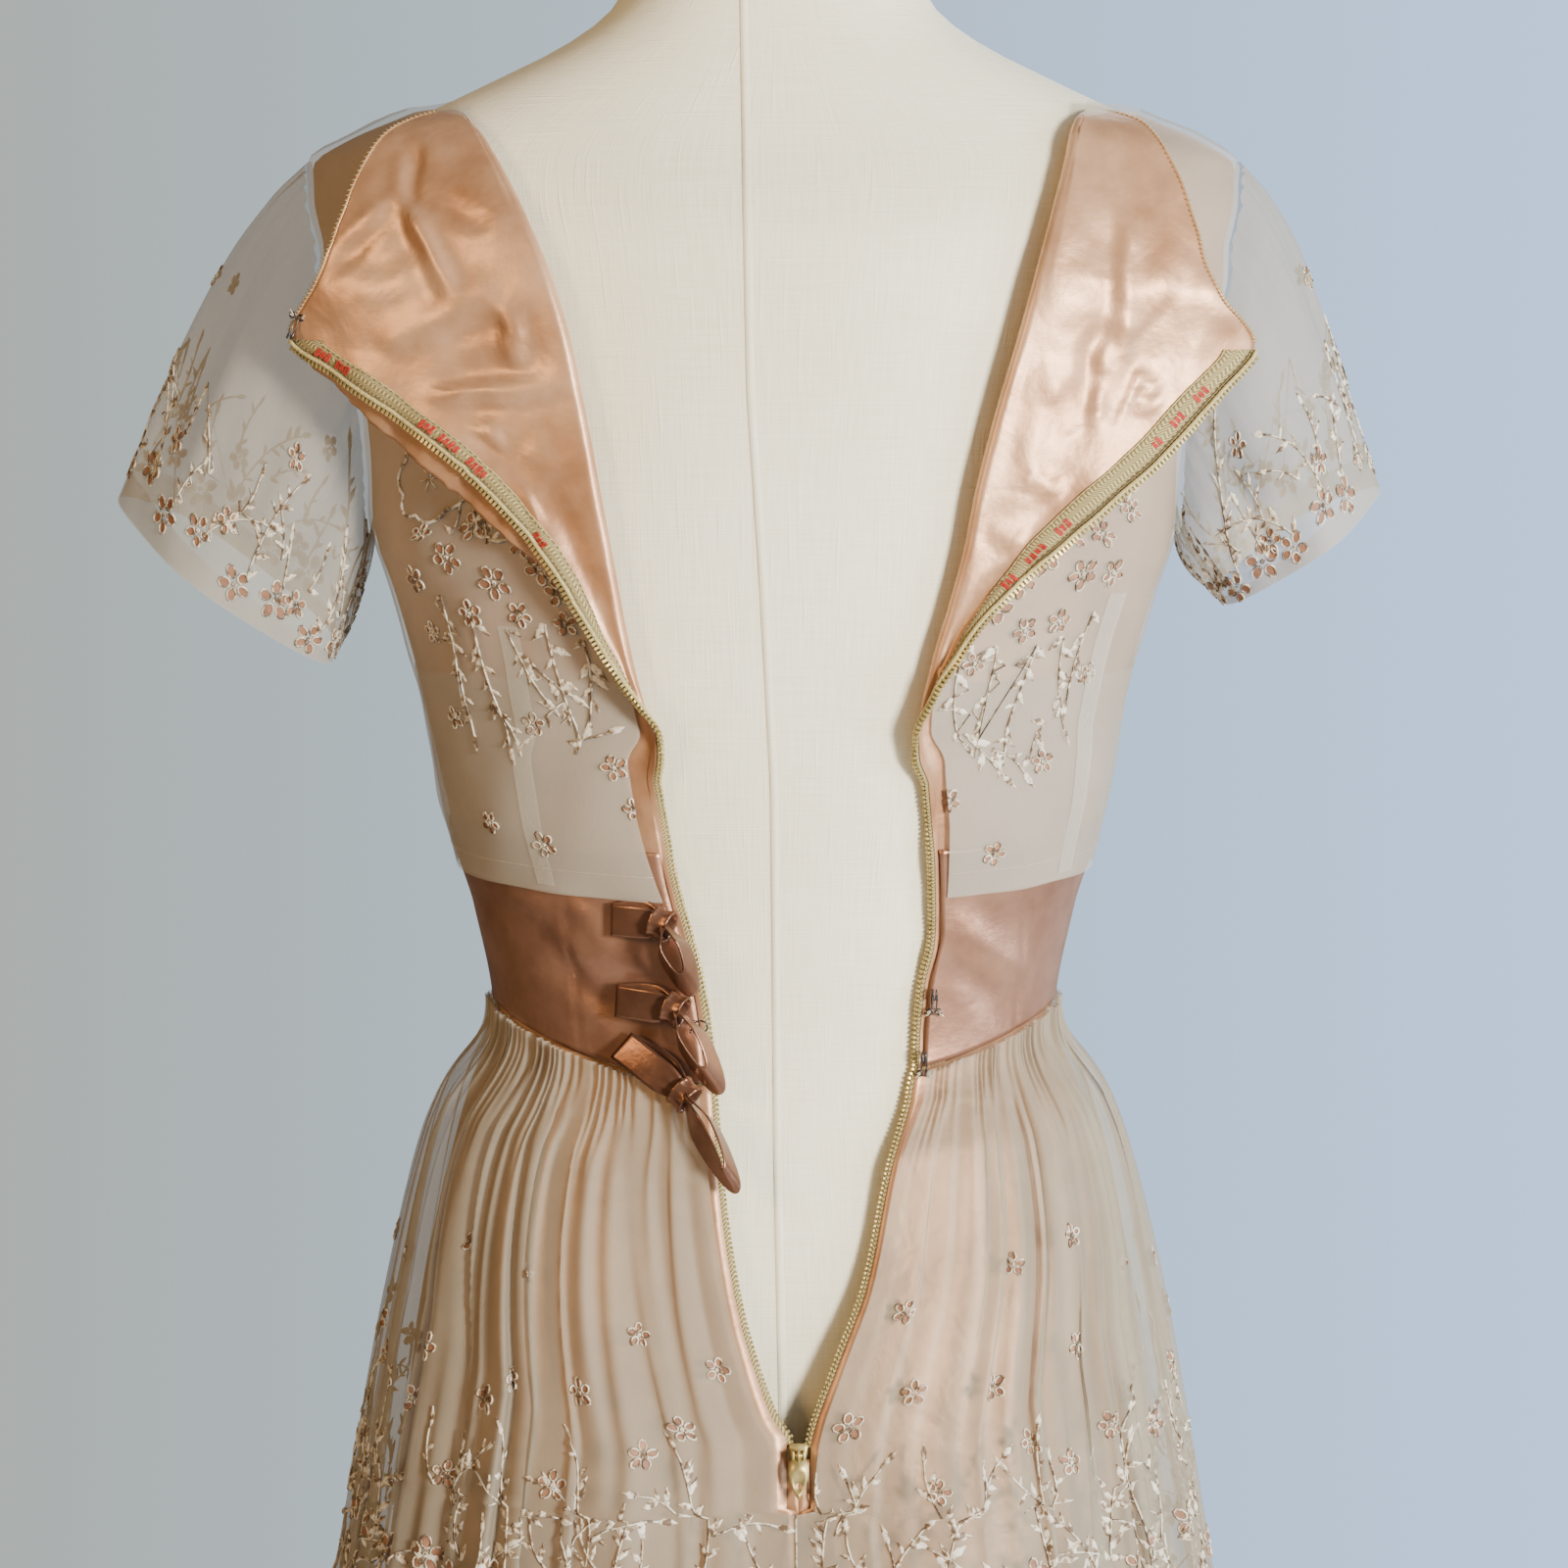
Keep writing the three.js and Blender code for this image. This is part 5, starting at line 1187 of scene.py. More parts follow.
def overlay_skirt_grid(side, rows_at, columns, folds, seed):
    dense = np.linspace(0, 1, 3 * columns + 1)
    ends = ease01(dense * folds * 1.6) * ease01((1 - dense) * folds * 1.6)
    turn = random.Random(int(seed * 10))
    fine = round(folds * 3.8) + 1
    drift = [turn.uniform(0, 2 * math.pi) for _ in range(8)]
    narrow, place, scale = [], 0.02, 9 / folds
    while place < 0.985:
        narrow.append((place, turn.uniform(0.008, 0.015) * scale, turn.uniform(0.6, 1.3),
                       turn.choice((-1.6, -0.8, 0.9, 1.7)), turn.uniform(0, 6)))
        place += turn.choice((0.024, 0.036, 0.050, 0.075, 0.100)) * scale
    grid = []
    for level in rows_at:
        section, height, angle = skirt_row(SKIRT, side, level, dense, SKIRT_OVERLAY_EDGE)
        points = on_section(section, height, angle)
        out = units(points * (1, 1, 0))
        around = units(np.gradient(points * (1, 1, 0), axis=0))
        below = WAIST - level
        fold = float(SKIRT("fold", level))
        hug = np.zeros_like(dense)
        drawn = float(np.clip((level - ZIP_END) / HUG["run"] + 1, 0, 1))
        if side and drawn:
            lining = skirt_section(SKIRT_LINING, level, dipped_height(level, HUG["width"]))
            spare = np.maximum(section["back"] - lining["back"] - HUG["clearance"], 0)
            hug = ease01((dense - 1) / HUG["width"] + 1) * drawn
            points = points - out * (spare * hug)[:, None]
        calm = ends * (1 - (1 - HUG["folds_left"]) * hug)
        variety = 0.74 + 0.34 * np.sin(2 * np.pi * 3.3 * dense + drift[5] + 1.5 * below)
        push = 0.5 * fold * calm * variety * fold_wave(dense, folds * 0.62, seed)
        middle = 0.0020 * float(ease01(below / 0.03) * (1 - 0.55 * ease01((below - 0.12) / 0.3)))
        wave = np.sin(2 * np.pi * folds * 2.37 * dense + drift[1] + 2.5 * below
                      + 0.9 * np.sin(2 * np.pi * 3 * dense + drift[2]))
        crinkle = 0.0009 * np.sin(2 * np.pi * folds * 1.9 * dense + 16 * below + drift[4])
        push = push + 0.30 * middle * calm * wave + crinkle * ends * float(ease01(below / 0.05))
        shear = 1.25 * np.sin(2 * np.pi * 1.6 * dense + drift[0] + 0.8 * below) + 0.35
        shear = shear * float(0.5 + 0.5 * ease01(below / 0.06))
        deep, aside = narrow_folds(dense, below, narrow)
        settled = fold * (0.55 + 0.45 * calm) * ends * float(ease01(below / 0.045))
        lean = push * shear + settled * aside
        push = push + settled * deep
        reach = 0.022 + 0.018 * np.sin(2 * np.pi * 6.1 * dense + drift[7])
        small = 0.0017 * (1 - 0.97 * ease01((below - 0.008) / (reach + 0.014)))
        small = small * (0.75 + 0.35 * np.sin(2 * np.pi * 4.3 * dense + drift[6]))
        gather = np.sin(2 * np.pi * fine * dense + drift[3]
                        + 3.1 * np.sin(2 * np.pi * 5 * dense + drift[4])
                        + 1.2 * np.sin(2 * np.pi * 13 * dense + drift[2]) + 9 * below)
        push = push + small * ends * gather
        lean = lean + 0.5 * small * ends * gather
        row = points + out * push[:, None] + around * lean[:, None]
        grid.append(spread_evenly(row)[::3])
    return np.array(grid)


overlay_skirt_levels = np.concatenate([
    np.linspace(HEM, 0.80, 44), np.linspace(0.808, ZIP_END, 12),
    np.linspace(ZIP_END + 0.0012, 0.99, 26), np.linspace(0.993, WAIST, 30)])
skirt_grids = {}
for side in (LEFT, RIGHT):
    rows = overlay_skirt_grid(side, overlay_skirt_levels, 250, 9, SEEDS[side])
    skirt_grids[side] = rows
    sheer = finish_piece(f"skirt_overlay_back_{NAMES[side]}_organza",
                         grid_bmesh(facing(rows, side)), skirt_organza,
                         [f"skirt_overlay_back_{NAMES[side]}"])
front_sheer_rows = overlay_skirt_grid(None, overlay_skirt_levels[::2], 380, 16, 2.1)
sheer = finish_piece("skirt_overlay_front_organza", grid_bmesh(front_sheer_rows),
                     skirt_organza, ["skirt_overlay_front"])

# ---- Zip ----
# A light zip of olive-tinted brass teeth on herringbone cotton tapes, sewn to the lining's
# inner face along each edge of the opening. Red dashes are woven into the tapes.

TAPE_END, TAPE_WIDTH, TAPE_LIFT = 0.890, 0.0140, 0.0008
TOOTH_PITCH, STITCH_PITCH, DASH_PITCH, DASH_SLANT = 0.0019, 0.0026, 0.0024, 0.15
TAPE_SPREAD = Profile(("level", "share"), [
    (0.880, 0.85), (1.126, 0.85), (1.145, 0.5), (1.165, 0.25), (1.200, 0.28), (1.220, 0.8),
    (1.243, 1),
])
DASH_GROUPS = {LEFT: [(0.008, 3), (0.018, 3), (0.060, 3), (0.070, 4), (0.084, 4), (0.122, 3)],
               RIGHT: [(0.022, 3), (0.036, 3), (0.050, 2), (0.098, 3), (0.112, 4), (0.128, 3)]}


def tube_rings(path, radius, sides, closed=False):
    """Rings of points round a path. The radius may vary along it."""
    path = np.asarray(path, dtype=float)
    radius = np.broadcast_to(radius, len(path))
    if closed:
        heading = np.roll(path, -1, axis=0) - np.roll(path, 1, axis=0)
        spread = path - path.mean(axis=0)
        helper = np.linalg.svd(spread)[2][2]
    else:
        heading = np.gradient(path, axis=0)
        spine = heading.mean(axis=0)
        helper = np.eye(3)[int(np.argmin(np.abs(spine)))]
    heading /= np.maximum(np.linalg.norm(heading, axis=1, keepdims=True), 1e-12)
    first = np.cross(heading, helper)
    first /= np.maximum(np.linalg.norm(first, axis=1, keepdims=True), 1e-12)
    second = np.cross(heading, first)
    turn = np.linspace(0, 4 * QUARTER, sides + 1)
    rings = (path[:, None] + radius[:, None, None]
             * (np.cos(turn)[None, :, None] * second[:, None]
                + np.sin(turn)[None, :, None] * first[:, None]))
    rings[:, -1] = rings[:, 0]
    return np.concatenate([rings, rings[:1]]) if closed else rings


def add_grids(bm, grids):
    """Many small grids with as many columns, made as one grid and then parted."""
    columns = grids[0].shape[1]
    rows = sum(len(grid) for grid in grids)
    before = len(bm.faces)
    made = bmesh.ops.create_grid(bm, x_segments=columns - 1, y_segments=rows - 1,
                                 size=0.5)["verts"]
    for vert, place in zip(made, np.concatenate(grids).reshape(-1, 3)):
        vert.co = place
    bm.faces.ensure_lookup_table()
    joints = [bm.faces[before + (end - 1) * (columns - 1) + column]
              for end in np.cumsum([len(grid) for grid in grids])[:-1]
              for column in range(columns - 1)]
    bmesh.ops.delete(bm, geom=joints, context="FACES")
    bmesh.ops.remove_doubles(bm, verts=made, dist=1e-7)


def add_tubes(bm, tubes):
    """Round cords, given as their rings, with their open ends closed."""
    sides = tubes[0].shape[1] - 1
    add_grids(bm, tubes)
    bmesh.ops.holes_fill(bm, edges=[e for e in bm.edges if e.is_boundary], sides=sides)


def add_tube(bm, path, radius, sides, closed=False):
    add_tubes(bm, [tube_rings(path, radius, sides, closed)])


def add_block(bm, centre, axes, size):
    """A box with the given axes and sizes."""
    matrix = Matrix([[*(axes[column][row] * size[column] for column in range(3)), centre[row]]
                     for row in range(3)] + [[0, 0, 0, 1]])
    return bmesh.ops.create_cube(bm, size=1, matrix=matrix)["verts"]


def along_row(row, back):
    """The point of a row a distance back from its free edge, and the way out there."""
    reverse, step = row[::-1], 0.0005
    back = np.clip(back, 0, line_lengths(reverse)[-1])
    out = along_line(reverse, max(back - step, 0)) - along_line(reverse, max(back, step) + step)
    return along_line(reverse, back), unit(out)


def curve_through(points, count):
    """A smooth path through points."""
    points = np.asarray(points, dtype=float)
    at = np.arange(len(points))
    table = Profile(("at", "x", "y", "z"), [(i, *point) for i, point in zip(at, points)])
    fine = np.linspace(0, len(points) - 1, count)
    return np.stack([table(axis, fine) for axis in ("x", "y", "z")], axis=-1)


def edge_strip(row, width=0.016, points=40):
    """The last of a row, up to its free edge, in evenly spaced points."""
    return along_line(row[::-1], np.linspace(width, 0, points))


def zip_rows(side):
    """The rows of satin that the tape is sewn to, from its lower end to the zip's top."""
    low = [row for level, row in zip(skirt_lining_levels, skirt_lining_grids[side])
           if TAPE_END < level < WAIST - 0.002]
    high = [row for level, row in zip(bodice_levels, lining_grids[side])
            if level <= ZIP_TOP_LEVEL + 0.0005]
    levels = [WAIST - 0.005] * len(low) + [level for level in bodice_levels
                                           if level <= ZIP_TOP_LEVEL + 0.0005]
    return [edge_strip(row) for row in low + high], levels


def zip_frames(side):
    """Along the zip: each row, its level, the point of its free edge, and its way along."""
    rows, levels = zip_rows(side)
    edges = np.array([row[-1] for row in rows])
    return rows, levels, edges, units(np.gradient(edges, axis=0))


def tape_point(side, row, along, back, lift):
    place, out = along_row(row, max(back, 0))
    face = unit(np.cross(out, along) * side)
    across = unit(out - along * out.dot(along))
    return place + across * max(-back, 0) + face * lift, across, face


def tape_axes(zip_line, distance, back, lift):
    """A place on the tape, by distance along the zip and back from its edge, and its axes."""
    side, rows, levels, along, run = zip_line
    at = float(np.interp(distance, run, np.arange(len(run))))
    low = min(int(at), len(run) - 2)
    row = mixed(rows[low], rows[low + 1], at - low)
    way = unit(mixed(along[low], along[low + 1], at - low))
    share = float(TAPE_SPREAD("share", mixed(levels[low], levels[low + 1], at - low)))
    place, across, face = tape_point(side, row, way, back * share if back > 0 else back, lift)
    return place, across, way, face


def cotton_finish():
    """Olive cotton tape, woven in a herringbone."""
    finish = Finish("herringbone_tape", Roughness=0.85, Sheen_Weight=0.1)
    where = finish.coordinates("UV", (1, 1, 1))
    parts = finish.node("ShaderNodeSeparateXYZ")
    finish.link(where, parts, "Vector")
    zigzag = finish.math("PINGPONG", parts.outputs["X"], 0.0024)
    slant = finish.math("ADD", parts.outputs["Y"], zigzag)
    ribs = finish.math("SINE", finish.math("MULTIPLY", slant, 2 * math.pi / 0.0017), 0)
    ribs = finish.math("MULTIPLY", finish.math("ADD", ribs, 1), 0.5)
    grain = finish.threads((900, 900, 1), 3)
    tone = finish.ramp(ribs, [(0.25, (0.20, 0.145, 0.045)), (0.75, (0.50, 0.41, 0.19))])
    finish.darkened(tone, grain, 0.85)
    finish.bump(ribs, 0.6, 0.0003)
    return finish.material


def plain_finish(name, dark, light, scale=60, bump=0.2, **sockets):
    finish = Finish(name, **sockets)
    spots = finish.through(scale, 4)
    finish.colour(finish.ramp(spots, [(0.32, dark), (0.68, light)]))
    finish.bump(spots, bump, 0.0003)
    return finish.material


cotton_tape = cotton_finish()
brass = plain_finish("olive_brass", (0.34, 0.26, 0.09), (0.58, 0.46, 0.19), 260, 0.15,
                     Metallic=0.6, Roughness=0.38)
cord_cotton = plain_finish("tape_cord", (0.34, 0.27, 0.10), (0.56, 0.47, 0.22), 900, 0.6,
                           Roughness=0.75)
dash_thread = plain_finish("red_thread", (0.30, 0.012, 0.008), (0.56, 0.045, 0.028), 900, 0.5,
                           Roughness=0.8)
dark_thread = plain_finish("olive_thread", (0.10, 0.075, 0.03), (0.22, 0.16, 0.07), 900, 0.5,
                           Roughness=0.8)

TAPE_COLUMNS = 12
for side in (LEFT, RIGHT):
    rows, levels, edges, along = zip_frames(side)
    grid, selvage, cord, seam = [], [], [], []
    for row, level, way in zip(rows, levels, along):
        share = float(TAPE_SPREAD("share", level))
        backs = np.linspace(TAPE_WIDTH * share, -0.0016, TAPE_COLUMNS)
        lifts = TAPE_LIFT + 0.0004 * np.sin(np.linspace(0, 5, TAPE_COLUMNS))
        grid.append([tape_point(side, row, way, b, h)[0] for b, h in zip(backs, lifts)])
        selvage.append(tape_point(side, row, way, TAPE_WIDTH * share + 0.0002, 0.0009)[0])
        cord.append(tape_point(side, row, way, 0.0002 * share, 0.0019)[0])
        seam.append(tape_point(side, row, way, 0.0022 * share, 0.0013)[0])
    grid = np.array(grid)
    tape = finish_piece(f"zip_tape_{NAMES[side]}_cotton",
                        grid_bmesh(facing(grid, -side)), cotton_tape,
                        [f"zip_tape_{NAMES[side]}"])
    thickened(tape, 0.0005)
    cords = bmesh.new()
    add_tube(cords, selvage, 0.00035, 6)
    add_tube(cords, cord, 0.00085, 8)
    finish_piece(f"zip_tape_{NAMES[side]}_cords", cords, cord_cotton)
    # The seam here is a dark olive cord along the tape beside the chain: painted shade of the
    # crease between them.
    crease_shade_cord = bmesh.new()
    add_tube(crease_shade_cord, seam, 0.00028, 6)
    finish_piece(f"zip_tape_{NAMES[side]}_seam", crease_shade_cord, dark_thread)

    run = line_lengths(edges)
    count = int(run[-1] / TOOTH_PITCH)
    shift = 0 if side == LEFT else TOOTH_PITCH / 2
    teeth, stitches, dashes = bmesh.new(), bmesh.new(), bmesh.new()
    zip_line = (side, rows, levels, along, run)
    for i in range(count):
        place, across, way, face = tape_axes(zip_line, i * TOOTH_PITCH + shift, -0.0014,
                                             0.0014)
        add_block(teeth, place, (across, way, face), (0.0026, 0.00125, 0.0019))
    bmesh.ops.bevel(teeth, geom=teeth.edges[:], offset=0.00022, segments=1, profile=0.5,
                    affect="EDGES", material=-1)
    finish_piece(f"zip_teeth_{NAMES[side]}", teeth, brass, smooth=False)
    for i in range(int(run[-1] / STITCH_PITCH)):
        for back in (TAPE_WIDTH - 0.0006, 0.0032):
            place, across, way, face = tape_axes(zip_line, i * STITCH_PITCH + 0.001, back, 0.0013)
            add_block(stitches, place, (across, way, face), (0.0003, 0.0013, 0.0003))
    finish_piece(f"zip_tape_{NAMES[side]}_stitches", stitches, dark_thread,
                 smooth=False)
    for start, number in DASH_GROUPS[side]:
        for i in range(number):
            for part in (-0.0005, 0.0004):
                at = run[-1] - start - DASH_PITCH * i - part
                place, across, way, face = tape_axes(zip_line, at, 0.0076, 0.0014)
                slanted = unit(across + way * DASH_SLANT)
                add_block(dashes, place, (slanted, np.cross(face, slanted), face),
                          (0.0036 - 0.0008 * (i % 2), 0.0007, 0.0007))
    finish_piece(f"zip_tape_{NAMES[side]}_dashes", dashes, dash_thread,
                 smooth=False)

# The satin's turned-in edge shows beyond the left tape where the flap hangs free.
rows, levels, edges, along = zip_frames(LEFT)
margin = []
for row, level, way in zip(rows, levels, along):
    if not 1.216 < level < 1.318:
        continue
    free = math.sin(math.pi * (level - 1.214) / 0.106) ** 0.6
    line = []
    for share in np.linspace(0, 1, 9):
        wrinkle = 0.0007 * math.sin(level * 900 + 3 * share) + 0.0005 * math.sin(level * 2300)
        line.append(tape_point(LEFT, row, way, -(0.0002 + 0.0108 * share * free),
                               -0.0002 - 0.0016 * share + wrinkle * share)[0])
    margin.append(line)
margin = np.array(margin)[:, ::-1]
edge_fold = finish_piece("bodice_lining_left_turning", grid_bmesh(margin), peach_satin)
thickened(edge_fold, SATIN)


# Below the slider the zip is shut and the satin's two edges meet over it.
def opening_edge(side, level):
    rows = skirt_lining_grids[side][:, -1]
    return np.array([np.interp(level, skirt_lining_levels, rows[:, axis]) for axis in range(3)])


closure = []
for level in np.linspace(ZIP_END - 0.005, 0.8885, 14):
    left, right = opening_edge(LEFT, level), opening_edge(RIGHT, level)
    share = np.array([-0.25, 0.0, 0.3, 0.46, 0.5, 0.54, 0.7, 1.0, 1.25])
    row = left + (right - left) * share[:, None]
    row[:, 1] += np.array([0.0014, 0.0008, 0.0002, 0.0, 0.0009, 0.0, 0.0002, 0.0008, 0.0014])
    closure.append(row)
closure = finish_piece("skirt_lining_zip_end", grid_bmesh(np.array(closure)), peach_satin)
thickened(closure, SATIN)

# A cord of satin is whipped along the neckline, which the flaps now show from inside.
for side in (LEFT, RIGHT):
    neck = np.array([row[-1] for level, row in zip(bodice_levels, lining_grids[side])
                     if level >= ZIP_TOP_LEVEL])
    piping, whips = bmesh.new(), []
    add_tube(piping, curve_through(neck, 90), 0.0007, 8)
    finish_piece(f"neckline_cord_{NAMES[side]}", piping, peach_satin)
    fine = curve_through(neck, 62)
    heading = units(np.gradient(fine, axis=0))
    inwards = np.cross(heading, np.array([0.0, -1.0, 0.0])) * side
    for place, way, side_way in zip(fine[1:-1], heading[1:-1], inwards[1:-1]):
        a = place + way * 0.0005 + np.array([0, -0.0010, 0]) - side_way * 0.0006
        b = place - way * 0.0005 + np.array([0, -0.0008, 0]) + side_way * 0.0014
        whips.append(tube_rings([a, (a + b) / 2 + np.array([0, -0.0003, 0]), b], 0.00022, 4))
    stitches = bmesh.new()
    add_tubes(stitches, whips)
    finish_piece(f"neckline_stitches_{NAMES[side]}", stitches, cord_cotton)

# ---- Slider and pull tab ----
# A small pressed brass slider with its pin between two lugs. The pear-shaped tab hangs on
# the pin by its eye, and turns on it.

SLIDER_CENTRE = Vector((0.0098, -0.124107, 0.8888))
UP, OUT = Vector((0, 0.21065, 0.97756)), Vector((0, -0.97756, 0.21065))
ACROSS = Vector((1, 0, 0))


def local(x, up, out, origin=SLIDER_CENTRE):
    return origin + ACROSS * x + UP * up + OUT * out


def add_plate(bm, outline, hole, thickness, origin):
    """A flat plate between two loops of as many points, with a hole through it."""
    loops = []
    for face in (-thickness / 2, thickness / 2):
        for points in (outline, hole):
            ring = bmesh.ops.create_circle(bm, segments=len(points), radius=0.001)["verts"]
            for vert, (x, up) in zip(ring, points):
                vert.co = local(x, up, face, origin)
            loops.append(ring)
    edges = []
    for ring in loops:
        inside = set(ring)
        edges.append([edge for edge in {edge for vert in ring for edge in vert.link_edges}
                      if edge.verts[0] in inside and edge.verts[1] in inside])
    for a, b in ((0, 1), (2, 3), (0, 2), (1, 3)):
        bmesh.ops.bridge_loops(bm, edges=edges[a] + edges[b])


slider_bm = bmesh.new()
body = add_block(slider_bm, local(0, 0, 0), (ACROSS, UP, OUT), (0.0080, 0.0100, 0.0046))
for vert in body:
    if (vert.co - SLIDER_CENTRE).dot(UP) < 0:
        vert.co -= ACROSS * (vert.co.x - SLIDER_CENTRE.x) * 0.42
bmesh.ops.bevel(slider_bm, geom=slider_bm.edges[:], offset=0.0011, segments=3, profile=0.5,
                affect="EDGES", material=-1)
for sign in (-1, 1):
    lug = add_block(slider_bm, local(sign * 0.0021, 0.001, 0.0037), (ACROSS, UP, OUT),
                    (0.0010, 0.0034, 0.0074))
    around = {e for v in lug for e in v.link_edges}
    bmesh.ops.bevel(slider_bm, geom=list(around), offset=0.0004, segments=2, profile=0.5,
                    affect="EDGES", material=-1)
bmesh.ops.recalc_face_normals(slider_bm, faces=slider_bm.faces)
PIVOT = local(0, 0.001, 0.0062)
add_tube(slider_bm, [PIVOT - ACROSS * 0.0021, PIVOT + ACROSS * 0.0021], 0.0009, 16)
finish_piece("zip_slider_body", slider_bm, brass, ["zip_slider"])

tab_bm = bmesh.new()
POINTS = 48
outline = []
for i in range(POINTS):
    turn = 2 * math.pi * i / POINTS
    up = -0.0088 + 0.0082 * math.cos(turn)
    drop = (0.0 - up - 0.0006) / 0.0164
    half = 0.0040 * math.sin(math.pi * min(max(drop, 0), 1) ** 0.62) ** 0.75
    outline.append((math.copysign(half, math.sin(turn)) if 0 < i < POINTS else 0, up))
hole = [(0.0013 * math.sin(2 * math.pi * i / POINTS),
         -0.0118 + 0.0013 * math.cos(2 * math.pi * i / POINTS)) for i in range(POINTS)]
add_plate(tab_bm, outline, hole, 0.0011, PIVOT)
bmesh.ops.recalc_face_normals(tab_bm, faces=tab_bm.faces)
eye_path = [PIVOT + UP * (0.00195 * math.cos(t)) + OUT * (0.00195 * math.sin(t))
            for t in np.linspace(0, 4 * QUARTER, 25)[:-1]]
add_tube(tab_bm, eye_path, 0.00058, 8, closed=True)
finish_piece("zip_pull_tab_plate", tab_bm, brass, ["zip_pull_tab"],
             body="zip_pull")

# ---- Ribbon bows ----
# Three bows of rose-bronze satin ribbon on the left of the midriff. Each has a loop that
# lies flat on the band, a wrapped knot, and a loop that hangs down the opening's edge.

RIBBON_WIDTH, RIBBON = 0.013, 0.0007
NEAR_DIP = 0.022
BOWS = [
    {"knot": (0.0435, 1.0945), "flat": (0.0640, 1.0950), "hang": (0.0315, 1.0660),
     "lift": 0.0062, "tilt": 0.05, "back_half": 0.0064, "front_half": 0.0034,
     "gape": 0.40, "shift": -0.0004},
    {"knot": (0.0385, 1.0600), "flat": (0.0625, 1.0620), "hang": (0.0205, 1.0270),
     "lift": 0.0070, "tilt": 0.06, "back_half": 0.0062, "front_half": 0.0032,
     "gape": 0.36, "shift": 0.0002},
    {"knot": (0.0350, 1.0260), "flat": (0.0605, 1.0440), "hang": (0.0140, 0.9900),
     "lift": 0.0073, "tilt": 0.0, "back_half": 0.0056, "front_half": 0.0014,
     "gape": 0.24, "shift": 0.0036},
]
TOWARDS = np.array([0.0, -1.0, 0.0])


def over_left_back(out, height, lift):
    """A point over the left back, by distance out, height and lift off the satin."""
    level = height + NEAR_DIP
    section = (bodice_section(height) if level >= WAIST
               else skirt_section(SKIRT_LINING, level, height))
    place = on_section(section, height, -angle_out(section, out))
    return place + TOWARDS * lift
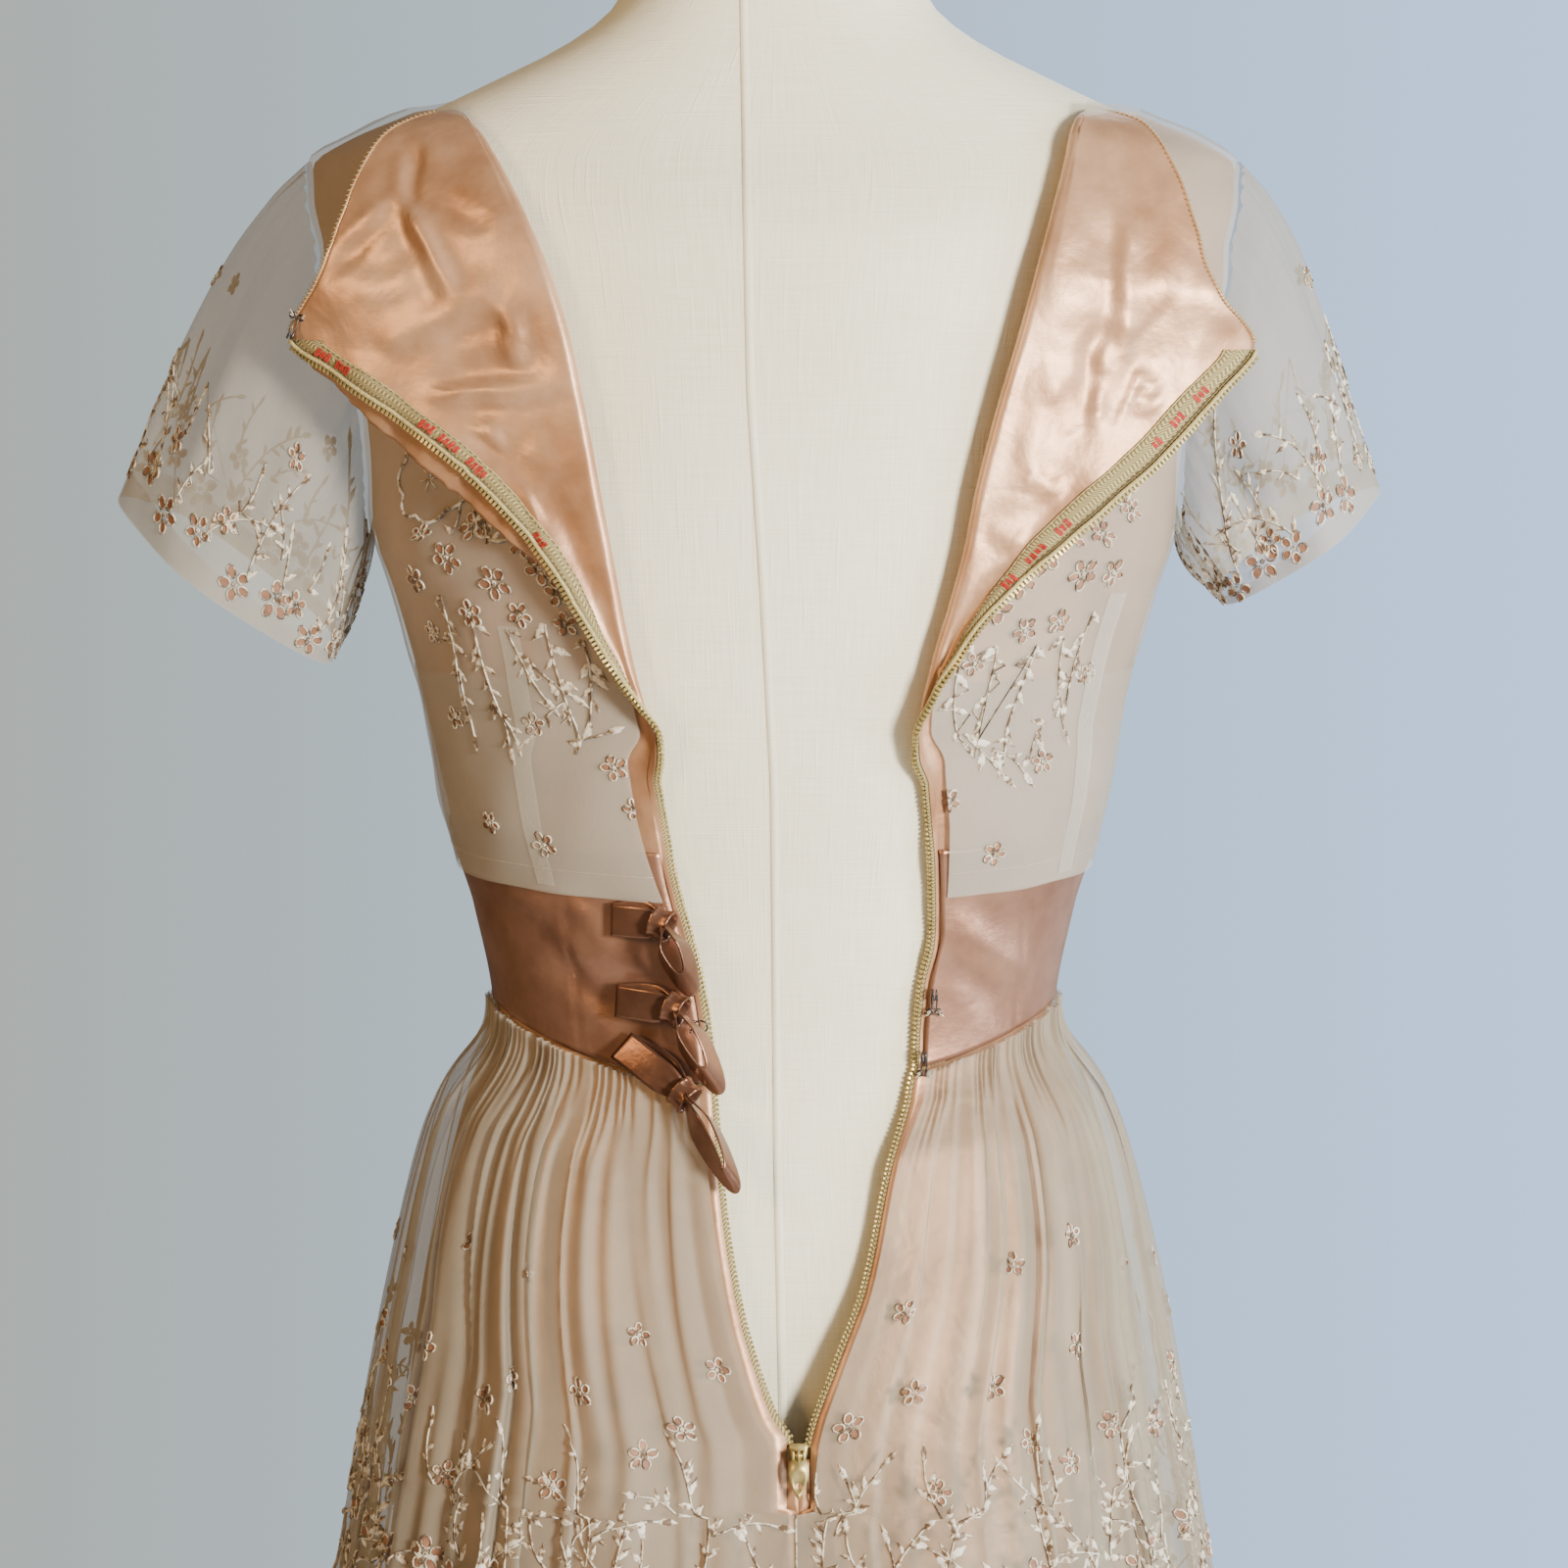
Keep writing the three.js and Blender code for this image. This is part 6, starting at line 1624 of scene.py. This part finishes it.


# The ribbon is the band's rose-bronze satin at about half its brightness: painted shade of the dim
# left side where the bows sit.
ribbon_satin_painted_shade = satin_finish("ribbon_satin_painted_shade", (0.12, 0.050, 0.028), (0.28, 0.135, 0.082), 0.70,
                            0.28, 0.03)
for number, bow in enumerate(BOWS, start=1):
    knot = over_left_back(*bow["knot"], bow["lift"] + 0.0012)
    tip = over_left_back(*bow["flat"], bow["lift"])
    run = tip - knot
    length = np.linalg.norm(run)
    run = run / length
    across = unit(np.cross(TOWARDS, run))
    across = -across if across[2] < 0 else across
    front = unit(np.cross(run, across))
    front = -front if front[1] > 0 else front
    # The flat loop: out along its front, round the fold, and back behind.
    turn = np.linspace(0, 1, 49)
    reach = np.where(turn < 0.5, turn * 2, 2 - turn * 2)
    reach = 1 - (1 - reach) ** 1.15
    gap = 0.0016 * np.sin(math.pi * np.clip(reach, 0, 1)) ** 0.6 * np.where(turn < 0.5, 1, -1)
    gap = gap * (0.55 + 0.5 * (1 - reach))
    path = knot + run * (reach * length)[:, None] + front * gap[:, None]
    pinch = 0.60 + 0.40 * ease01(reach / 0.35)
    grid = []
    for share in np.linspace(-0.5, 0.5, 11):
        open_top = 0.0009 * (share + 0.5) * np.sin(math.pi * reach) * np.where(turn < 0.5, 1, -1)
        tuck = 0.0006 * np.sin(share * 19) * (1 - ease01(reach / 0.4))
        lean = bow["tilt"] * share * RIBBON_WIDTH
        grid.append(path + across * (RIBBON_WIDTH * share * pinch)[:, None]
                    + front * (open_top + tuck)[:, None]
                    + across * np.where(turn < 0.5, 0, 0.0022 * np.sin(math.pi * reach))[:, None]
                    + run * (lean * reach * 2 - 0.0012 * share * reach)[:, None])
    flat_bm = grid_bmesh(np.array(grid))
    flat = finish_piece(f"bow_{number}_flat_loop", flat_bm, ribbon_satin_painted_shade,
                        [f"bow_{number}"])
    thickened(flat, RIBBON)
    # The hanging loop: its back edge is wider and hangs lower than its front one, so that
    # it gapes outwards.
    start = over_left_back(*bow["knot"], bow["lift"] + 0.0030)
    end = over_left_back(*bow["hang"], bow["lift"] + 0.0030)
    drop = end - start
    fall = np.linalg.norm(drop)
    drop = drop / fall
    face = unit(TOWARDS - drop * TOWARDS.dot(drop))
    aside = unit(np.cross(drop, face))
    aside = -aside if aside[0] < 0 else aside
    turn = np.linspace(0, 1, 65)
    half_turn = np.where(turn < 0.5, 1, -1)
    reach = np.where(turn < 0.5, turn * 2, 2 - turn * 2)
    reach = np.sin(reach * math.pi / 2)
    grid = []
    for share in np.linspace(0, 1, 13):
        lens = np.sqrt(np.clip(1 - reach**7, 0, 1)) * (0.25 + 0.75 * ease01(reach / 0.42))
        lens = lens * (1 - 0.22 * ease01((reach - 0.45) / 0.5))
        wide = mixed(bow["back_half"], bow["front_half"], share) * lens * half_turn
        along = fall * reach * (1 - bow["gape"] * share)
        depth = 0.0006 + 0.0085 * share * (0.45 + 0.55 * ease01(reach / 0.35))
        grid.append(start + drop * along[:, None]
                    + aside * (wide + bow["shift"] * share * lens)[:, None]
                    + face * depth[:, None])
    hang_bm = grid_bmesh(np.array(grid))
    hang = finish_piece(f"bow_{number}_hanging_loop", hang_bm, ribbon_satin_painted_shade)
    thickened(hang, RIBBON)
    # The knot: a band of ribbon pulled round the middle, flared where it is gathered.
    turn = np.linspace(0, 4 * QUARTER, 33)
    grid = []
    knot_run = unit(run * -1 + drop * 0.5)
    knot_across = unit(across - knot_run * across.dot(knot_run))
    for share in np.linspace(-1, 1, 9):
        flare = 1 + 0.18 * share * share
        crimp = 1 + 0.05 * np.sin(9 * turn + 2 * share)
        grid.append(knot + front * 0.0012
                    + knot_run * (0.0036 * share - 0.0010 * np.sin(turn))[:, None]
                    + knot_across * (0.0056 * flare * np.cos(turn) * crimp)[:, None]
                    + front * (0.0034 * flare * np.sin(turn) * crimp)[:, None])
    wrap = finish_piece(f"bow_{number}_knot", grid_bmesh(np.array(grid), tube=True), ribbon_satin_painted_shade)
    thickened(wrap, RIBBON)

# ---- Hooks and eye ----
# Small blackened steel hooks and a wire eye, sewn on by hand over the waist and at the
# zip's top. Each has two little rings for its thread.

steel = plain_finish("black_steel", (0.03, 0.03, 0.03), (0.16, 0.155, 0.15), 400, 0.1,
                     Metallic=0.9, Roughness=0.3)
loop_thread = plain_finish("sewing_thread", (0.50, 0.40, 0.28), (0.80, 0.70, 0.55), 900, 0.4,
                           Roughness=0.8)


def add_hook(name, node, origin, right, up, along):
    """A hook at a point: right across it, up off the cloth, and along its shank."""
    bm, thread = bmesh.new(), bmesh.new()
    right, up, along = np.array(right), np.array(up), np.array(along)
    for sign in (-1, 1):
        shank = [(0.0008, 0.0, 0.0), (0.0011, 0, 0.004), (0.0008, 0.0004, 0.0075),
                 (0.0007, 0.0018, 0.0086), (0.0006, 0.0031, 0.0072), (0.0003, 0.0031, 0.0045)]
        path = [origin + right * sign * x + up * (y + 0.0004) + along * z for x, y, z in shank]
        add_tube(bm, curve_through(path, 22), 0.00034, 8)
        ring = [origin + right * (sign * (0.0018 + 0.0011 * math.cos(t)))
                + along * (-0.0006 + 0.0011 * math.sin(t)) + up * 0.0004
                for t in np.linspace(0, 4 * QUARTER, 17)[:-1]]
        add_tube(bm, ring, 0.00034, 8, closed=True)
        for turn in (-0.5, 0.1, 0.7):
            a = origin + right * sign * 0.0016 + along * (-0.0008 + 0.0006 * turn)
            b = a + right * sign * 0.0024 * math.cos(turn) - along * 0.0022 * math.cos(turn * 2)
            add_tube(thread, [a, (a + b) / 2 + up * 0.0010, b - up * 0.0008], 0.00022, 5)
    finish_piece(name + "_wire", bm, steel, [node])
    finish_piece(name + "_thread", thread, loop_thread)


for name in ("hook_neck", "hook_waist_lower", "hook_waist_upper"):
    low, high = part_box(name)
    middle = np.array((low + high) / 2)
    near = np.array([middle[0], high.y, middle[2]])
    if name == "hook_neck":
        add_hook(name, name, near + np.array([0.0015, 0.0002, 0.003]), (0.94, 0, -0.34),
                 (0, -1, 0), (-0.34, 0, -0.94))
    else:
        add_hook(name, name, near + np.array([0, 0.0002, -0.004]), (1, 0, 0), (0, -1, 0),
                 (0, 0, 1))
eye_low, eye_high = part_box("eye_waist")
eye_bm = bmesh.new()
base = np.array([(eye_low.x + eye_high.x) / 2, eye_high.y, (eye_low.z + eye_high.z) / 2])
eye_shape = [(-0.0030, -0.0026), (-0.0036, -0.0016), (-0.0026, -0.0012), (0.0004, -0.0024),
             (0.0028, -0.0016), (0.0034, 0), (0.0028, 0.0016), (0.0004, 0.0024),
             (-0.0026, 0.0012), (-0.0036, 0.0016), (-0.0030, 0.0026)]
add_tube(eye_bm, curve_through([base + np.array([x, -0.0005, z]) for x, z in eye_shape], 60),
         0.00034, 8)
finish_piece("eye_waist_wire", eye_bm, steel, ["eye_waist"])

# ---- Embroidery ----
# Cream thread stitched on the organza by machine: five-petalled flowers of small bound
# eyelets, leafy sprigs in satin stitch, and scalloped rounds with a star.

def thread_finish():
    """Cream rayon thread, with bronze patches at random: painted shade for stitches that face away
    from the light.
    """
    finish = Finish("cream_thread", Roughness=0.5, Sheen_Weight=0.2)
    painted_shade_patch = finish.through(330, 2)
    tone = finish.ramp(painted_shade_patch, [(0.40, (0.15, 0.088, 0.044)), (0.47, (0.58, 0.46, 0.31)),
                               (0.57, (0.90, 0.83, 0.68))])
    twist = finish.through(1800, 1)
    finish.darkened(tone, twist, 0.7)
    finish.bump(twist, 0.5, 0.0003)
    return finish.material


thread = thread_finish()
eyelet_shade = plain_finish("eyelet_shade", (0.20, 0.09, 0.05), (0.36, 0.18, 0.10), 200, 0.1,
                            Roughness=0.7)


class Ground:
    """The outer face of a cloth, to lay threads on by distances right and up the cloth."""

    def __init__(self, points, sign=1):
        self.points = points
        self.normals = grid_normals(points) * sign
        self.up = lengths_along(points, 0)
        self.right = lengths_along(points, 1)

    def nearest(self, x, z, back=True):
        near = self.points
        score = (near[..., 0] - x) ** 2 + (near[..., 2] - z) ** 2
        score = score + (0.0006 if back else -0.0006) * near[..., 1]
        return np.unravel_index(int(np.argmin(score)), score.shape)

    def share(self, right, up):
        rows, columns = self.up.shape
        column = int(np.clip(right, 0, 1) * (columns - 1))
        heights = self.up[:, column]
        return int(np.searchsorted(heights, np.clip(up, 0, 1) * heights[-1])), column

    def sample(self, values, row, column):
        rows, columns = values.shape[:2]
        row = np.clip(row, 0, rows - 1.001)
        column = np.clip(column, 0, columns - 1.001)
        r, c = row.astype(int), column.astype(int)
        v, u = (row - r)[:, None], (column - c)[:, None]
        return ((values[r, c] * (1 - u) + values[r, c + 1] * u) * (1 - v)
                + (values[r + 1, c] * (1 - u) + values[r + 1, c + 1] * u) * v)

    def lay(self, anchor, flat, lift):
        """Points of the cloth, from distances right and up from an anchor."""
        flat = np.atleast_2d(flat)
        rows, columns = self.up.shape
        r0, c0 = min(anchor[0], rows - 1), anchor[1]
        row = np.interp(self.up[r0, c0] + flat[:, 1], self.up[:, c0], np.arange(rows))
        column = np.interp(self.right[r0, c0] + flat[:, 0], self.right[r0], np.arange(columns))
        place = self.sample(self.points, row, column)
        return place + self.sample(self.normals, row, column) * np.reshape(lift, (-1, 1))


def ahead(angle):
    return np.array([math.cos(angle), math.sin(angle)])


class Needlework:
    """The threads on one cloth, gathered into one piece, and the eyelets' middles in painted
    shade.
    """

    def __init__(self, ground, seed):
        self.ground = ground
        self.fine, self.bold, self.leaves, self.holes = [], [], [], []
        self.turn = random.Random(seed)

    def ring(self, anchor, centre, rx, ry, angle, radius, segments=8):
        t = np.linspace(0, 4 * QUARTER, segments + 1)[:-1]
        along, side = ahead(angle), ahead(angle + QUARTER)
        flat = centre + along * (rx * np.cos(t))[:, None] + side * (ry * np.sin(t))[:, None]
        self.fine.append(tube_rings(self.ground.lay(anchor, flat, radius * 0.7), radius, 3, True))

    # A flat dark disc in place of an eyelet's hole: the satin's colour through the hole, with
    # painted shade.
    def hole(self, anchor, centre, rx, ry, angle):
        t = np.linspace(0, 4 * QUARTER, 9)
        t[-1] = 0
        along, side = ahead(angle), ahead(angle + QUARTER)
        rim = centre + along * (rx * np.cos(t))[:, None] + side * (ry * np.sin(t))[:, None]
        middle = np.repeat(centre[None, :], 9, axis=0)
        self.holes.append(np.array([self.ground.lay(anchor, middle, 0.0002),
                                    self.ground.lay(anchor, rim, 0.0002)]))

    def flower(self, anchor, centre, size, angle=None, petals=5):
        centre = np.asarray(centre, dtype=float)
        angle = self.turn.uniform(0, 6) if angle is None else angle
        for k in range(petals):
            way = angle + 2 * math.pi * k / petals + self.turn.uniform(-0.08, 0.08)
            middle = centre + ahead(way) * size * 0.62
            long, wide = size * self.turn.uniform(0.33, 0.39), size * 0.27
            self.ring(anchor, middle, long, wide, way, 0.00046)
            self.hole(anchor, middle, long * 0.8, wide * 0.75, way)
        self.ring(anchor, centre, size * 0.10, size * 0.10, 0, 0.0005, 6)

    def leaf(self, anchor, base, angle, length, width):
        along, side = ahead(angle), ahead(angle + QUARTER)
        flat, lift = [], []
        for j in range(6):
            t = j / 5
            half = width / 2 * math.sin(math.pi * (0.06 + 0.90 * t) ** 0.85)
            half *= 1.22 if j % 2 else 0.88
            for k in (-1, 0, 1):
                flat.append(base + along * (length * t - abs(k) * 0.0003) + side * half * -k)
                lift.append(0.0007 if k == 0 else 0.00005)
        laid = self.ground.lay(anchor, np.array(flat), np.array(lift))
        self.leaves.append(laid.reshape(6, 3, 3))

    def stem(self, anchor, path, radius=0.00055):
        self.fine.append(tube_rings(self.ground.lay(anchor, path, radius * 0.8), radius, 3))

    def sprig(self, anchor, start, angle, length, curve=0.0, leaf=0.0088, gap=0.0092,
              tip=True, bare=0.004):
        """A stem that bends steadily, with leaves on alternate sides."""
        count = max(int(length / 0.0045), 3)
        path, heading = [np.asarray(start, dtype=float)], angle
        for _ in range(count):
            heading += curve * 0.0045 / max(length, 1e-3)
            path.append(path[-1] + ahead(heading) * length / count)
        path = np.array(path)
        self.stem(anchor, path)
        at, side = bare, self.turn.choice((-1, 1))
        while at < length - 0.003:
            i = min(int(at / length * count), count - 1)
            way = math.atan2(*(path[i + 1] - path[i])[::-1])
            size = leaf * self.turn.uniform(0.65, 1.2) * (1 - 0.3 * at / length)
            self.leaf(anchor, path[i], way + side * self.turn.uniform(0.6, 1.15), size,
                      size * self.turn.uniform(0.30, 0.40))
            at += gap * self.turn.uniform(0.35, 0.85)
            side = -side if self.turn.random() < 0.8 else side
        if tip:
            self.leaf(anchor, path[-1], heading, leaf * 0.9, leaf * 0.3)
        return path[-1]

    def star(self, anchor, centre, size):
        turn = self.turn.uniform(0, 1)
        for k in range(6):
            way = turn + 2 * math.pi * k / 6
            self.stem(anchor, np.array([centre + ahead(way) * size * 0.15,
                                        centre + ahead(way) * size]), 0.0004)

    def round(self, anchor, centre, size, scallops=7):
        """A scalloped ring round a small star."""
        centre = np.asarray(centre, dtype=float)
        t = np.linspace(0, 4 * QUARTER, scallops * 6 + 1)[:-1]
        reach = size * (0.86 + 0.16 * np.abs(np.sin(t * scallops / 2)))
        flat = centre + np.stack([reach * np.cos(t), reach * np.sin(t)], axis=-1)
        self.bold.append(tube_rings(self.ground.lay(anchor, flat, 0.0005), 0.00075, 4, True))
        self.star(anchor, centre, size * 0.28)

    def finish(self, name):
        bm, holes = bmesh.new(), bmesh.new()
        add_tubes(bm, self.fine)
        if self.bold:
            add_tubes(bm, self.bold)
        add_grids(bm, self.leaves)
        add_grids(holes, self.holes)
        finish_piece(name + "_threads", bm, thread)
        finish_piece(name + "_eyelets", holes, eyelet_shade, smooth=False)


# Bodice backs: rounds and flowers below the armhole, and sprigs that hang from them.
BODICE_WORK = {
    LEFT: {
        "flowers": [(-0.109, 1.228, 0.0075), (-0.091, 1.233, 0.0070), (-0.129, 1.236, 0.0072),
                    (-0.099, 1.214, 0.0055), (-0.119, 1.215, 0.0058), (-0.063, 1.155, 0.0056),
                    (-0.090, 1.125, 0.0056), (-0.113, 1.131, 0.0048), (-0.093, 1.171, 0.0050),
                    (-0.127, 1.171, 0.0048), (-0.052, 1.140, 0.0046), (-0.080, 1.214, 0.0052),
                    (-0.137, 1.205, 0.0050), (-0.150, 1.360, 0.0050), (-0.152, 1.334, 0.0050),
                    (-0.118, 1.249, 0.0066), (-0.097, 1.243, 0.0060), (-0.082, 1.224, 0.0062),
                    (-0.143, 1.226, 0.0062), (-0.139, 1.245, 0.0056)],
        "sprigs": [(-0.132, 1.222, -1.50, 0.040, -0.3), (-0.118, 1.212, -1.70, 0.052, 0.5),
                   (-0.104, 1.208, -1.40, 0.030, 0.4), (-0.088, 1.214, -1.65, 0.046, 0.3),
                   (-0.073, 1.205, -1.45, 0.034, -0.5), (-0.124, 1.190, -1.90, 0.026, 0.6),
                   (-0.083, 1.183, -2.70, 0.022, 0.5), (-0.080, 1.166, 0.10, 0.016, 0.3),
                   (-0.096, 1.196, -0.90, 0.020, 0.3), (-0.110, 1.178, -0.8, 0.016, -0.3),
                   (-0.112, 1.243, 1.90, 0.022, 0.4), (-0.126, 1.246, 1.30, 0.014, 0.4),
                   (-0.150, 1.372, 1.20, 0.022, -0.5), (-0.156, 1.352, 2.2, 0.016, 0.5)],
        "rounds": [(-0.134, 1.268, 0.0185), (-0.107, 1.256, 0.0120)],
    },
    RIGHT: {
        "flowers": [(0.087, 1.220, 0.0075), (0.107, 1.236, 0.0072), (0.121, 1.230, 0.0070),
                    (0.098, 1.210, 0.0055), (0.113, 1.213, 0.0052), (0.129, 1.248, 0.0068),
                    (0.107, 1.157, 0.0054), (0.066, 1.143, 0.0052), (0.088, 1.119, 0.0052),
                    (0.077, 1.196, 0.0050), (0.125, 1.192, 0.0050), (0.148, 1.355, 0.0050),
                    (0.152, 1.332, 0.0050), (0.121, 1.262, 0.0060), (0.096, 1.228, 0.0066),
                    (0.117, 1.247, 0.0064), (0.134, 1.231, 0.0060), (0.141, 1.257, 0.0060)],
        "sprigs": [(0.075, 1.205, -1.70, 0.042, 0.4), (0.088, 1.204, -1.40, 0.030, -0.4),
                   (0.102, 1.204, -1.65, 0.048, -0.3), (0.115, 1.206, -1.50, 0.040, 0.4),
                   (0.126, 1.214, -1.75, 0.036, 0.2), (0.074, 1.170, -1.20, 0.024, 0.5),
                   (0.086, 1.162, -0.30, 0.018, -0.6), (0.108, 1.172, -2.40, 0.016, 0.4),
                   (0.112, 1.247, 1.30, 0.022, -0.4), (0.147, 1.368, 1.40, 0.020, 0.4),
                   (0.153, 1.345, 0.9, 0.014, 0.3)],
        "rounds": [(0.134, 1.272, 0.0135)],
    },
}
ORIGIN = np.zeros(2)
for side in (LEFT, RIGHT):
    grid = facing(overlay_grids[side], side)
    work = Needlework(Ground(grid), 30 + side)
    for x, z, size in BODICE_WORK[side]["flowers"]:
        work.flower(work.ground.nearest(x, z), ORIGIN, size)
    for x, z, angle, length, curve in BODICE_WORK[side]["sprigs"]:
        work.sprig(work.ground.nearest(x, z), ORIGIN, angle, length, curve)
    for x, z, size in BODICE_WORK[side]["rounds"]:
        work.round(work.ground.nearest(x, z), ORIGIN, size)
    work.finish(f"embroidery_bodice_back_{NAMES[side]}")

# Seams of the organza backs: a narrow band of doubled cloth, and a stitched line along the hem.
HEM_ROW = 3  # the row of the organza along which the hem is stitched
band_organza = organza_finish("doubled_organza", (0.70, 0.65, 0.54), 0.36)
SEAM_BANDS = {LEFT: ((-0.0905, 1.1085), (-0.0850, 1.215)),
              RIGHT: ((0.1180, 1.1085), (0.1170, 1.225))}
BAND_ACROSS = (-0.0044, -0.0015, 0.0015, 0.0044)
for side in (LEFT, RIGHT):
    grid = facing(overlay_grids[side], side)
    ground = Ground(grid)
    low, high = SEAM_BANDS[side]
    anchor = ground.nearest(*low)
    reach = high[1] - low[1]
    band_rows = []
    for t in np.linspace(0, 1, 36):
        flat = [((high[0] - low[0]) * t + across, reach * t) for across in BAND_ACROSS]
        band_rows.append(ground.lay(anchor, np.array(flat), 0.0004))
    band = finish_piece(f"bodice_overlay_seam_{NAMES[side]}", grid_bmesh(np.array(band_rows)),
                        band_organza)
    hem_line = bmesh.new()
    add_tube(hem_line, grid[HEM_ROW] + ground.normals[HEM_ROW] * 0.0001, 0.00009, 4)
    finish_piece(f"bodice_overlay_hem_{NAMES[side]}_stitches", hem_line, loop_thread)

# Bodice front: the same band of flowers and hanging sprigs, right across the bust.
work = Needlework(Ground(front_lift), 41)
for k in range(19):
    across = 0.06 + 0.88 * k / 18
    rise = 0.55 + 0.05 * math.sin(k * 1.9)
    anchor = work.ground.share(across, rise)
    work.flower(anchor, ORIGIN, 0.0062 + 0.0012 * (k % 2))
    work.sprig(work.ground.share(across + 0.012, rise - 0.06), ORIGIN, -1.57 + 0.3 * math.sin(k),
               0.034 + 0.012 * math.sin(k * 2.3), 0.4)
    if k % 3 == 1:
        work.round(work.ground.share(across, rise + 0.17), ORIGIN, 0.0125)
        work.flower(work.ground.share(across, 0.22 + 0.05 * math.cos(k)), ORIGIN, 0.0050)
    if k % 3 == 2:
        work.sprig(work.ground.share(across, rise + 0.08), ORIGIN, 1.5, 0.028, 0.5)
work.finish("embroidery_bodice_front")

# Sleeves: flowers along the cuff, and sprigs that climb from them.
for side in (LEFT, RIGHT):
    grid = facing(sleeve_grids[side], side)
    work = Needlework(Ground(grid), 50 + side)
    if np.dot(work.ground.normals[30, 20], grid[30, 20] - grid[30].mean(axis=0)) < 0:
        work.ground.normals *= -1
    count = 17
    for k in range(count):
        across = (k + 0.5) / count
        low = work.ground.share(across, 0.10 + 0.05 * (k % 2))
        work.flower(low, ORIGIN, 0.0066 + 0.0008 * (k % 3))
        if k % 2:
            work.flower(work.ground.share(across + 0.025, 0.24 + 0.04 * math.sin(k)), ORIGIN,
                        0.0055)
        length = 0.036 + 0.014 * math.sin(k * 2.1)
        work.sprig(work.ground.share(across + 0.01, 0.15), ORIGIN, 1.57 + 0.35 * math.sin(k * 1.7),
                   length, 0.7 * math.cos(k), leaf=0.0070)
        work.sprig(work.ground.share(across - 0.02, 0.30), ORIGIN, 1.2 + 0.7 * (k % 2),
                   0.018, 0.5, leaf=0.0060)
        if k % 4 == 0:
            work.flower(work.ground.share(across, 0.62), ORIGIN, 0.0050)
    work.finish(f"embroidery_sleeve_{NAMES[side]}")


def skirt_work(name, grid, seed, panels):
    """A deep border: lone flowers first, then vines, rounds and flowers down to the hem."""
    work = Needlework(Ground(grid), seed)
    turn = work.turn
    rows, columns = work.ground.up.shape
    height = float(work.ground.up[-1].mean())

    def spot(across, level):
        """An anchor by share of the width and height above the floor."""
        column = int(np.clip(across, 0.01, 0.99) * (columns - 1))
        line = grid[:, column, 2]
        return int(np.argmin(np.abs(line - level))), column

    for k in range(panels * 5):
        across = (k + 0.5 + turn.uniform(-0.25, 0.25)) / (panels * 5)
        level = 0.900 + 0.018 * math.sin(k * 2.4) + turn.uniform(-0.008, 0.008)
        work.flower(spot(across, level), ORIGIN, turn.uniform(0.0052, 0.0066))
        if k % 3 == 0:
            work.flower(spot(across + 0.03, level + 0.042), ORIGIN, 0.0050)
    tiers = [(0.896, 2.4), (0.866, 2.6), (0.790, 2.6), (0.700, 2.4), (0.600, 2.4),
             (0.500, 2.4), (0.405, 2.6)]
    for tier, (level, density) in enumerate(tiers):
        count = int(panels * density)
        for k in range(count):
            across = (k + 0.5 * (tier % 2) + 0.3 + turn.uniform(-0.2, 0.2)) / count
            base = spot(across, level - 0.055)
            lean = turn.uniform(-0.35, 0.35)
            bend = turn.choice((-1, 1)) * turn.uniform(0.5, 1.2)
            work.sprig(base, ORIGIN, QUARTER + lean, 0.062, bend, leaf=0.0085, gap=0.0085)
            work.sprig(base, np.array([0.004, 0.022]), QUARTER + lean - 0.8, 0.028, -bend)
            work.sprig(base, np.array([-0.003, 0.032]), QUARTER + lean + 0.9, 0.024, bend)
            work.flower(base, np.array([-0.010, 0.002]), 0.0078)
            work.flower(base, np.array([0.012, -0.004]), 0.0066)
            if (k + tier) % 2 == 0:
                work.round(base, np.array([0.002, -0.024]), 0.0150)
            else:
                work.flower(base, np.array([0.001, -0.022]), 0.0072)
    work.finish(name)
    return work


for side in (LEFT, RIGHT):
    grid = facing(skirt_grids[side], side)
    skirt_work(f"embroidery_skirt_back_{NAMES[side]}", grid, 60 + side, 3)
skirt_work("embroidery_skirt_front", front_sheer_rows, 63, 4)
